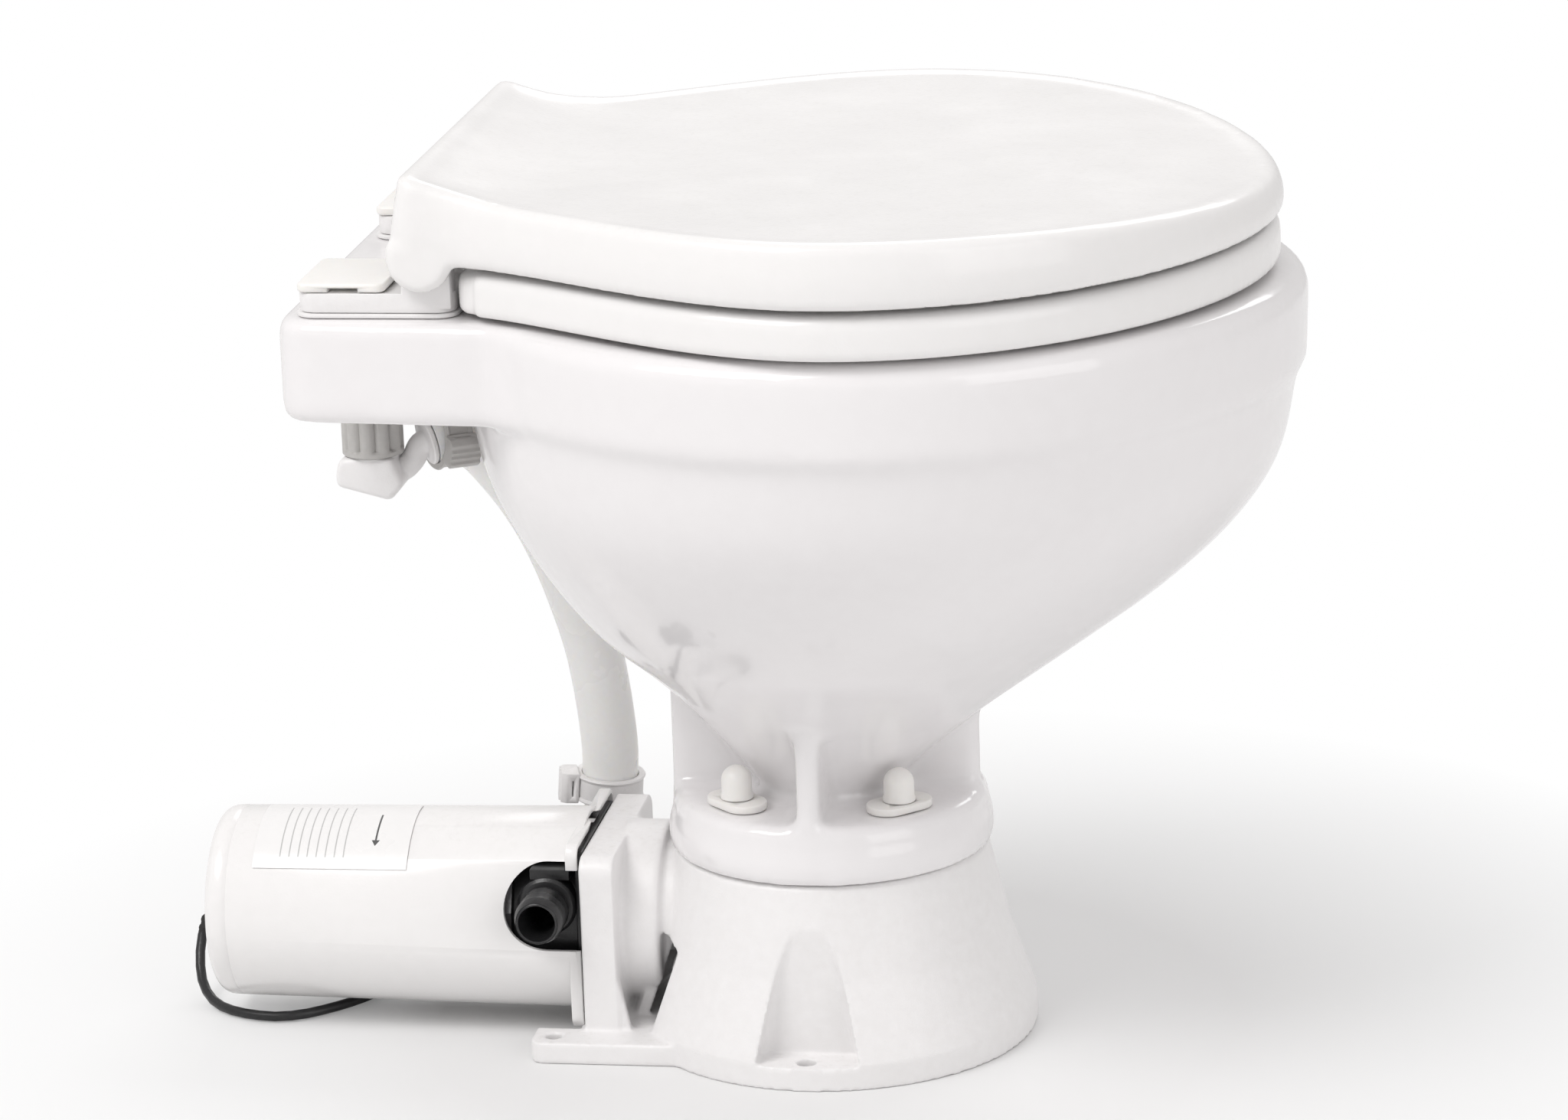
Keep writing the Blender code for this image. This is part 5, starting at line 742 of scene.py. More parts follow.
    @classmethod
    def bevel(cls, target: bpy.types.Object, width: float, segments: int = 3,
              angle: float = 35.0) -> bpy.types.Object:
        """Rounds an object's sharp edges."""
        step = target.modifiers.new("Bevel", "BEVEL")
        step.width = width
        step.segments = segments
        step.limit_method = "ANGLE"
        step.angle_limit = math.radians(angle)
        step.miter_outer = "MITER_ARC"
        cls.solid_mesh(target)
        target.data.shade_smooth()
        target.data.set_sharp_from_angle(angle=math.radians(40))
        return target

    @classmethod
    def cast(cls, target: bpy.types.Object, cell: float, rounds: int,
             kept_share: float = 1.0) -> bpy.types.Object:
        """Softens a body as casting and glazing do: an even skin whose edges and corners are eased.

        Args:
            target: the joined body.
            cell: size of the skin's cells.
            rounds: smoothing passes.
            kept_share: share of the skin's triangles that stay.
        Returns:
            The same object with its new mesh.
        """
        skin = target.modifiers.new("Skin", "REMESH")
        skin.mode = "VOXEL"
        skin.voxel_size = cell
        skin.adaptivity = 0.0
        skin.use_smooth_shade = True
        ease = target.modifiers.new("Ease", "SMOOTH")
        ease.factor = 0.5
        ease.iterations = rounds
        if kept_share < 1:
            target.modifiers.new("Fewer", "DECIMATE").ratio = kept_share
        cls.solid_mesh(target)
        target.data.shade_smooth()
        return target


def dress(piece: bpy.types.Object, finish: str, body: str = BODY, stands_for: Sequence[str] = ()) -> bpy.types.Object:
    """Gives a piece its finish, its body and the nodes it stands for.

    Args:
        piece: the finished piece, at the origin.
        finish: name of its finish.
        body: the body it rides on.
        stands_for: nodes that it replaces.
    Returns:
        The piece.
    """
    piece.data.materials.clear()
    piece.data.materials.append(material(finish))
    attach(piece, body)
    if stands_for:
        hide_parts(*stands_for)
    faces = len(piece.data.polygons) if piece.type == "MESH" else 0
    log.info("%s: %s, %d faces", piece.name, finish, faces)
    return piece


# ---- The lead ----


@dataclass
class SupplyLead:
    """The thin black lead from the motor's rear to its coil and two-pole connector."""

    radius: float = 0.002
    points: tuple[Point, ...] = (
        (-0.2526, 0.0220, 0.0340), (-0.2590, 0.0220, 0.0337), (-0.2640, 0.0200, 0.0275),
        (-0.2655, 0.0140, 0.0170), (-0.2625, 0.0040, 0.0075), (-0.2555, -0.0060, 0.0030),
        (-0.2465, -0.0140, 0.0023), (-0.2370, -0.0186, 0.0023), (-0.2260, -0.0205, 0.0023),
        (-0.2165, -0.0175, 0.0023), (-0.2080, -0.0110, 0.0023), (-0.1980, 0.0000, 0.0023),
        (-0.1905, 0.0130, 0.0023), (-0.1870, 0.0300, 0.0023), (-0.1866, 0.0460, 0.0023),
        (-0.1866, 0.0560, 0.0023))
    steps: int = 28
    coil_radius: float = 0.0235
    turns: int = 2
    climb_turns: float = 0.5
    loop_points: int = 24
    pitch: float = 0.005
    end_run: float = 0.004
    tail: float = 0.021
    gap: float = 0.0003
    connector_width: float = 0.014
    connector_length: float = 0.026

    def route(self) -> list[Vector]:
        """The whole route from the grommet through the coil to the connector."""
        free = smooth_route(self.points, self.steps, self.loop_points)
        inner = self.coil_radius - self.pitch * (self.turns - self.climb_turns) / 2
        begin = free[-1] + Vector((0, self.gap, 0))
        centre = Vector((begin.x + self.coil_radius, begin.y + self.end_run, begin.z))
        layer = (self.turns - self.climb_turns) / 2
        coil = []
        for i in range(self.turns * self.loop_points + 1):
            turns = i / self.loop_points
            inward, outward = min(turns, layer), max(0.0, turns - layer - self.climb_turns)
            climb = min(1.0, max(0.0, (turns - layer) / self.climb_turns))
            radius = self.coil_radius - (self.coil_radius - inner) * (inward - outward) / layer
            angle = math.pi - math.tau * turns
            coil.append(centre + Vector((radius * math.cos(angle), radius * math.sin(angle),
                                         self.pitch * climb)))
        return free + coil + [coil[-1] + Vector((0, self.tail, 0))]

    def relief(self, route: list[Vector]) -> bpy.types.Object:
        """The moulded grommet: a flange on the cover and a ribbed sleeve that tapers along the lead."""
        y, z = route[0].yz
        flange = Form.turned("lead_grommet", (
            (0, 0.2456), (0.0039, 0.2456), (0.0039, 0.2498), (0.0050, 0.2498), (0.0055, 0.2503),
            (0.0055, 0.2512), (0.0048, 0.2519), (0, 0.2519)), axis=BACK, at=(0, y, z))
        run, spots, widths = 0.0, [], []
        for a, b in zip(route, route[1:4]):
            for k in range(8):
                t = k / 8
                spots.append(a.lerp(b, t))
                widths.append(0.0036 - 0.0012 * min(1.0, (run + (b - a).length * t) / 0.016)
                              - (0.00035 if k % 4 in (2, 3) else 0.0))
            run += (b - a).length
        sleeve = Form.tube("grommet_sleeve", spots, widths, 24)
        return Form.join(flange, sleeve)

    def connector(self, end: Vector) -> bpy.types.Object:
        """The two-pole connector: a housing with a latch, ribs and two sockets."""
        half, length = self.connector_width / 2, self.connector_length
        y0, height = end.y + self.gap, 2 * end.z
        body = Form.prism("lead_connector", rounded(half, end.z, 0.0022, (0, end.z)), y0, y0 + length,
                          Matrix(((-1, 0, 0, end.x), (0, 0, 1, 0), (0, 1, 0, 0), (0, 0, 0, 1))))
        latch = Form.box("latch", (end.x - 0.0022, y0 + 0.006, height - 0.0022),
                         (end.x + 0.0022, y0 + 0.018, height - 0.0002))
        cuts = [Form.box("side_step", (end.x + s * half - 0.0006, y0 + 0.003 + 0.0035 * k, 0.0025),
                         (end.x + s * half + 0.0006, y0 + 0.0045 + 0.0035 * k, height - 0.0025))
                for s in (-1, 1) for k in range(4)]
        groove = Form.box("latch_groove", (end.x - 0.0034, y0 + 0.004, height - 0.0016),
                          (end.x + 0.0034, y0 + 0.022, height + 0.001))
        sockets = [Form.rod("socket", 0.0021, y0 + length - 0.006, y0 + length + OVERRUN, FAR,
                            (end.x + s * 0.0032, 0, end.z)) for s in (-1, 1)]
        Form.join(Form.cut(body, groove, *cuts, *sockets), latch)
        return Form.bevel(body, 0.00035, 2)

    def tie(self) -> bpy.types.Object:
        """A thin hook-and-loop band round the coil's two turns."""
        free_end = Vector(self.points[-1])
        centre = Vector((free_end.x + self.coil_radius, free_end.y + self.gap + self.end_run, free_end.z))
        low, high = (Vector((0, 0.02225, 0)), Vector((0, 0.01975, self.pitch)))
        outer, inner = [], []
        for i in range(40):
            a = math.tau * i / 40
            out = Vector((0, math.cos(a), math.sin(a)))
            at = centre + max((low, high), key=lambda p: p.dot(out))
            outer.append(at + out * 0.00222)
            inner.append(at + out * 0.00205)
        rings = []
        for dx, ring in ((-0.003, inner), (-0.003, outer), (0.003, outer), (0.003, inner), (-0.003, inner)):
            rings.append([p + Vector((dx, 0, 0)) for p in ring])
        return Form.loft("coil_band", rings, capped=False)

    def build(self) -> None:
        route = self.route()
        curve = bpy.data.curves.new("supply_lead", "CURVE")
        curve.dimensions = "3D"
        curve.bevel_depth = self.radius
        curve.bevel_resolution = 5
        curve.use_fill_caps = True
        spline = curve.splines.new("POLY")
        spline.points.add(len(route) - 1)
        for point, at in zip(spline.points, route):
            point.co = (*at, 1)
        lead = bpy.data.objects.new("supply_lead", curve)
        bpy.context.scene.collection.objects.link(lead)
        dress(lead, "black", stands_for=("supply_cord", "supply_cord_coil"))
        relief = dress(self.relief(route), "black_rubber", stands_for=("cord_grommet",))
        plug = dress(self.connector(route[-1]), "black", stands_for=("supply_connector",))
        band = dress(self.tie(), "black_rubber")


# ---- The bowl ----


@dataclass
class BowlShell:
    """The glazed china: rim, basin, neck with its ribs, flange and the rear ledge."""

    flange_bottom: float = 0.0763
    flange_height: float = 0.0227
    flange_radius: float = 0.0644
    flange_step: float = 0.0018
    rib_thickness: float = 0.0092
    rib_reach: tuple[float, float, float] = (0.063, 0.060, 0.062)
    rib_height: float = 0.046
    front: float = 0.186
    rear: float = 0.135
    half_width: float = 0.160
    widest: float = 0.030
    front_power: float = 1.87
    rear_power: float = 2.05
    cone_height: float = 0.168
    wall: float = 0.009
    band_step: float = 0.0045
    band_step_height: float = 0.006
    rim_top: float = 0.308
    rim_edge: float = 0.008
    opening: tuple[float, float, float] = (0.157, 0.098, 0.130)
    lip_depth: float = 0.022
    outlet_radius: float = 0.020
    ledge_rear: float = 0.192
    ledge_half_width: float = 0.097
    ledge_corner: float = 0.016
    ledge_height: float = 0.040
    ledge_top: float = 0.009
    ledge_wall: float = 0.008
    ledge_edge: float = 0.0045
    ledge_fairing: Flat = (-0.085, 0.118)
    duct: tuple[float, float, float] = (0.017, 0.046, 0.006)
    inlet: Flat = (-0.178, 0.0075)
    bolts: float = 0.032
    bolt_hole: float = 0.0036
    hinge_bolt: Flat = (-0.165, 0.067)
    hinge_hole: float = 0.0046
    cell: float = 0.0024
    rounds: int = 9
    kept_share: float = 0.78
    sections: tuple[tuple[float, ...], ...] = (
        (0.00, 0.140, 0.190, 0.160), (0.075, 0.200, 0.265, 0.212), (0.17, 0.300, 0.360, 0.300),
        (0.254, 0.400, 0.452, 0.400), (0.334, 0.500, 0.555, 0.500), (0.411, 0.595, 0.665, 0.600),
        (0.536, 0.745, 0.780, 0.740), (0.677, 0.880, 0.880, 0.870), (0.815, 0.962, 0.955, 0.955),
        (1.00, 1.000, 1.000, 1.000))

    @property
    def neck(self) -> float:
        """Height of the flange's top."""
        return self.flange_bottom + self.flange_height

    def outline(self, share: float, inset: float) -> list[Point]:
        """One level outline between neck and band.

        Args:
            share: height from 0 at the neck to 1 at the band.
            inset: how far it lies inside the outside.
        Returns:
            The outline's points.
        """
        front, rear, width = eased(self.sections, share)
        plan = oval(self.front * front - inset, self.rear * rear - inset, self.half_width * width - inset,
                    self.widest * share, 2 + (self.front_power - 2) * share,
                    2 + (self.rear_power - 2) * share)
        return level(plan, self.neck + self.cone_height * share)

    def grown(self, grow: float, z: float) -> list[Point]:
        """The rim's outline, wider than the band's foot by a margin."""
        return level(oval(self.front + grow, self.rear + grow, self.half_width + grow, self.widest,
                          self.front_power, self.rear_power), z)

    def outside(self) -> bpy.types.Object:
        """The cone, the band and the rolled rim."""
        rings = [[(x, y, self.neck - self.flange_height / 2) for x, y, _ in self.outline(0, 0)]]
        rings += [self.outline(i / 30, 0) for i in range(31)]
        band = self.neck + self.cone_height
        for t in (0.3, 0.6, 1.0):
            step = self.band_step * 0.8 * t * t * (3 - 2 * t)
            rings.append(self.grown(step, band + self.band_step_height * t))
        rings.append(self.grown(self.band_step, self.rim_top - self.rim_edge))
        for fall, rise in quarter(6)[1:]:
            rings.append(self.grown(self.band_step - self.rim_edge * fall,
                                    self.rim_top - self.rim_edge * rise))
        return Form.loft("bowl_china", rings)

    def cavity(self) -> bpy.types.Object:
        """The basin, the room under the rim's lip and the outlet."""
        pipe = [(self.outlet_radius * x, self.outlet_radius * y) for x, y in oval(1, 1, 1, 0, 2, 2)]
        rings = [level(pipe, self.flange_bottom - OVERRUN), level(pipe, self.neck + self.cone_height * 0.12)]
        first = self.sections[3][0]
        rings += [self.outline(first + (1 - first) * i / 20, self.wall) for i in range(21)]
        lip = self.rim_top - self.lip_depth
        rings.append(self.grown(-self.wall, lip))
        mouth = oval(*self.opening, self.widest, self.front_power, self.rear_power)
        rings += [level(mouth, lip + 0.0001), level(mouth, self.rim_top + OVERRUN)]
        return Form.loft("bowl_cavity", rings)

    def ledge(self) -> bpy.types.Object:
        """The rear ledge with its open hollow."""
        x, y = self.ledge_fairing
        half = [(x, y), ((x - self.rear) / 2, self.ledge_half_width + self.ledge_edge)]
        for fall, rise in reversed(quarter(8)):
            half.append((-self.ledge_rear + self.ledge_corner * fall,
                         self.ledge_half_width - self.ledge_corner * rise))
        lump = Form.prism("ledge", mirrored(half), self.rim_top - self.ledge_height, self.rim_top)
        Form.bevel(lump, self.ledge_edge, 4)
        near_end, far_end = self.ledge_wall - self.ledge_rear, -self.opening[1]
        hollow = rounded((far_end - near_end) / 2, self.ledge_half_width - self.ledge_wall,
                         self.ledge_corner - self.ledge_wall, ((far_end + near_end) / 2, 0))
        return Form.cut(lump, Form.prism("ledge_hollow", hollow, self.rim_top - self.ledge_height - OVERRUN,
                                         self.rim_top - self.ledge_top))

    def build(self) -> None:
        """Joins, cuts, softens and dresses the bowl."""
        half_width, depth, bore = self.duct
        radius, step = self.flange_radius, self.flange_radius - self.flange_step
        mid = self.flange_bottom + self.flange_height / 2
        flange = Form.turned("flange", (
            (0, self.flange_bottom), (radius - 0.001, self.flange_bottom),
            (radius, self.flange_bottom + 0.001), (radius, mid), (step, mid + self.flange_step),
            (step, self.neck - 0.0025), (step - 0.0025, self.neck), (0, self.neck)), steps=96)
        half, foot = self.rib_thickness / 2, self.neck - self.flange_height / 2
        top = self.neck + self.rib_height
        rear, front, side = self.rib_reach
        ribs = [Form.bevel(Form.box("rib", low, high), 0.0028, 3) for low, high in (
            ((-rear, -half, foot), (front, half, top)), ((-half, -side, foot), (half, side, top)))]
        duct = Form.box("duct", (-self.ledge_rear + self.ledge_wall / 2, -half_width, self.rim_top - depth),
                        (-self.rear + self.wall, half_width, self.rim_top - self.ledge_top / 2))
        bowl = Form.join(self.outside(), self.ledge(), duct, flange, *ribs)
        z = self.rim_top - self.ledge_top - bore * 1.5
        x, y = self.hinge_bolt
        holes = [Form.rod("bolt_hole", self.bolt_hole, self.flange_bottom - OVERRUN, self.neck + OVERRUN,
                          at=(sx * self.bolts, sy * self.bolts, 0), steps=20)
                 for sx in (1, -1) for sy in (1, -1)]
        holes += [Form.rod("hinge_hole", self.hinge_hole, self.rim_top - self.ledge_height,
                           self.rim_top + OVERRUN, at=(x, side.value * y, 0), steps=20) for side in Side]
        holes += [Form.rod("inlet_bore", self.inlet[1], self.rim_top - depth - OVERRUN, z + bore,
                           at=(self.inlet[0], 0, 0), steps=24),
                  Form.rod("duct_bore", bore, -self.inlet[0], self.opening[1] - OVERRUN, axis=BACK,
                           at=(0, 0, z), steps=24)]
        Form.cut(bowl, self.cavity(), *holes)
        dress(Form.cast(bowl, self.cell, self.rounds, self.kept_share), "china", stands_for=("bowl",))


# ---- Seat and lid ----


@dataclass
class TaperedPlan:
    """The plan that seat and lid share: a round front, sides that draw in and a straight rear edge."""

    front: float
    rear: float
    half_width: float
    rear_half_width: float
    corner: float
    widest: float = 0.028
    front_power: float = 1.87
    taper_end: float = -0.125

    def outline(self, inset: float = 0.0, lean: float = 0.0, steps: int = 26) -> list[Flat]:
        """The outline drawn in by an inset, with its rear edge moved forward by a lean."""
        front, rear = self.front - inset, self.rear - inset - lean
        width, rear_width = self.half_width - inset, self.rear_half_width - inset
        corner = max(self.corner - inset, inset / 2)
        half = []
        for i in range(steps + 1):
            c = abs(math.cos(math.pi / 2 * i / steps))
            y = width * max(0.0, 1 - c ** self.front_power) ** (1 / self.front_power)
            half.append((self.widest + (front - self.widest) * c, y))
        stop = -rear + corner
        for i in range(1, steps + 1):
            x = self.widest + (stop - self.widest) * i / steps
            s = max(0.0, (x - self.taper_end) / (self.widest - self.taper_end)) ** 0.8
            half.append((x, rear_width + (width - rear_width) * s * s * (3 - 2 * s)))
        for i in range(1, 7):
            a = math.pi / 2 * (1 + i / 6)
            half.append((stop + corner * math.cos(a), rear_width - corner + corner * math.sin(a)))
        half.append((-rear, (rear_width - corner) / 2))
        return mirrored(half)


@dataclass
class SeatRing:
    """The ring seat with an arm on each hinge pin."""

    plan: TaperedPlan = field(default_factory=lambda: TaperedPlan(0.180, 0.1208, 0.1665, 0.0952, 0.009))
    bottom: float = 0.3103
    top: float = 0.3275
    edge: float = 0.006
    foot_edge: float = 0.0026
    opening: tuple[float, float, float] = (0.139, 0.078, 0.110)
    arm_y: float = 0.060
    arm_width: float = 0.012
    arm_radius: float = 0.0075
    hinge: Flat = HINGE
    cell: float = 0.0015
    rounds: int = 5

    def build(self) -> None:
        """Makes the seat and dresses it."""
        rings = []
        for fall, rise in quarter(4):
            rings.append(level(self.plan.outline(self.foot_edge * rise), self.bottom + self.foot_edge * fall))
        for fall, rise in quarter(6):
            rings.append(level(self.plan.outline(self.edge * fall), self.top - self.edge * rise))
        seat = Form.loft("seat_ring", rings)
        front, rear, width = self.opening
        walls = [(self.edge * 0.5, self.bottom - OVERRUN), (0, self.bottom + self.edge * 0.5)]
        walls += [(self.edge * fall, self.top - self.edge * rise) for fall, rise in quarter(6)]
        walls.append((self.edge, self.top + OVERRUN))
        hole = Form.loft("seat_opening", [level(oval(front + g, rear + g, width + g, 0.030, 1.87, 2), z)
                                          for g, z in walls])
        Form.cut(seat, hole)
        hx, hz = self.hinge
        end = -self.plan.rear + self.edge * 2
        for side in Side:
            y = side.value * self.arm_y
            low, high = y - self.arm_width / 2, y + self.arm_width / 2
            arm = Form.rod("arm", self.arm_radius, low, high, FAR, (hx, 0, hz))
            root = Form.prism("arm_root", ((hx, hz - self.arm_radius), (end, self.bottom + self.edge),
                                           (end, self.top - self.edge * 0.3),
                                           (hx, hz + self.arm_radius * 0.9)),
                              -high, -low, ALONG_Y)
            Form.join(seat, arm, root)
        Form.cut(seat, Form.rod("pin_hole", PIN_HOLE, -PIN_END, PIN_END, FAR, (hx, 0, hz)))
        dress(Form.cast(seat, self.cell, self.rounds), "gloss_white", stands_for=("seat",))


@dataclass
class DishedLid:
    """The hollow lid: a dished top, a rear lip that sweeps up, and an ear at each rear corner."""

    plan: TaperedPlan = field(default_factory=lambda: TaperedPlan(0.1815, 0.146, 0.169, 0.099, 0.008))
    bottom: float = 0.3294
    crease: float = 0.3540
    lean: float = 0.003
    lip: tuple[float, float] = (0.013, 0.058)
    notch: float = 0.026
    cap_gap: float = 0.0035
    front_drop: float = 0.0095
    bead: float = 0.0012
    dish: float = 0.0028
    wall: float = 0.004
    top: float = 0.008
    edge: float = 0.005
    bulge: float = 0.002
    hinge: Flat = HINGE
    ear: tuple[float, float] = (0.012, 0.0085)
    block: Flat = (0.045, 0.0895)
    knuckle: float = 0.0095
    gap: float = 0.0008
    cell: float = 0.0018
    rounds: int = 5

    def height(self, x: float) -> float:
        """The upper edge along the lid's length."""
        rise, length = self.lip
        lip = max(0.0, 1 - (x + self.plan.rear) / length)
        return self.crease + rise * lip ** 2 - self.front_drop * max(0.0, x / self.plan.front) ** 3

    def shell(self) -> bpy.types.Object:
        """The outside with its crease line and soft dish."""
        rings = [level(self.plan.outline(self.edge * 0.4), self.bottom),
                 level(self.plan.outline(self.bulge * 0.3), self.bottom + self.edge * 0.3)]
        for share, inset, lean in ((0.35, 0.0, 0.4), (0.52, self.bulge * 0.15, 0.6),
                                   (0.7, self.bulge / 2, 0.8)):
            rings.append(level(self.plan.outline(inset, self.lean * lean),
                               lambda x, s=share: self.bottom + (self.height(x) - self.bottom) * s))
        for inset, drop in ((self.bulge, self.edge * 0.5), (self.edge * 0.6, self.edge * 0.2),
                            (self.edge, self.edge * 0.05), (self.edge * 1.4, 0.0),
                            (self.edge * 1.9, self.bead * 0.35), (self.edge * 2.5, self.bead * 0.85)):
            rings.append(level(self.plan.outline(inset, self.lean), lambda x, d=drop: self.height(x) - d))
        middle = (self.plan.front - self.plan.rear) / 2
        edge = self.plan.outline(self.edge * 3.2, self.lean)
        for i in range(15):
            share = 1 - (i / 14) ** 1.3 * 0.94
            deep = self.bead + self.dish * (1 - ((share - 0.06) / 0.94) ** 2)
            rings.append(level([(middle + (x - middle) * share, y * share) for x, y in edge],
                               lambda x, d=deep: self.height(x) - d))
        return Form.loft("lid_shell", rings)

    def ear_outline(self) -> list[Flat]:
        """The rounded lower rear corner of the skirt, in X and Z."""
        hx, hz = self.hinge
        radius = self.ear[0]
        points = []
        for i in range(17):
            a = math.pi * (1 + i / 16)
            reach = radius if i > 8 else self.plan.rear + hx
            points.append((hx + reach * math.cos(a), hz + radius * math.sin(a)))
        return points + [(hx + radius, self.bottom + self.edge),
                         (-self.plan.rear, self.bottom + self.edge * 2)]

    def build(self) -> None:
        """Makes the lid and dresses it."""
        lid = self.shell()
        under = self.crease - self.bead - self.dish - self.top - self.front_drop * 0.3
        Form.cut(lid, Form.loft("lid_recess", [
            level(self.plan.outline(self.wall), self.bottom - OVERRUN),
            level(self.plan.outline(self.wall), self.bottom + self.edge),
            level(self.plan.outline(self.wall * 2.5), under)]))
        hx, hz = self.hinge
        for side in Side:
            low, high = sorted((-side.value * self.plan.rear_half_width,
                                -side.value * (self.plan.rear_half_width - self.ear[1])))
            Form.join(lid, Form.bevel(Form.prism("ear", self.ear_outline(), low, high, ALONG_Y), 0.0022, 3))
        inner, outer = self.block
        reach = self.knuckle + self.gap * 2
        for side in Side:
            low, high = sorted((side.value * (inner - self.gap), side.value * (outer + self.gap)))
            corner = (-self.plan.rear - self.wall, low, self.bottom - OVERRUN)
            Form.cut(lid, Form.box("knuckle_room", corner, (hx + reach, high, hz + reach)),
                     Form.box("cap_room", corner, (hx - self.cap_gap, high, hz + self.notch)))
        Form.cut(lid, Form.rod("pin_holes", PIN_HOLE, -PIN_END, PIN_END, FAR, (hx, 0, hz)))
        dress(Form.cast(lid, self.cell, self.rounds), "gloss_white", LID_BODY, ("lid",))


# ---- Base, pump and motor cover ----


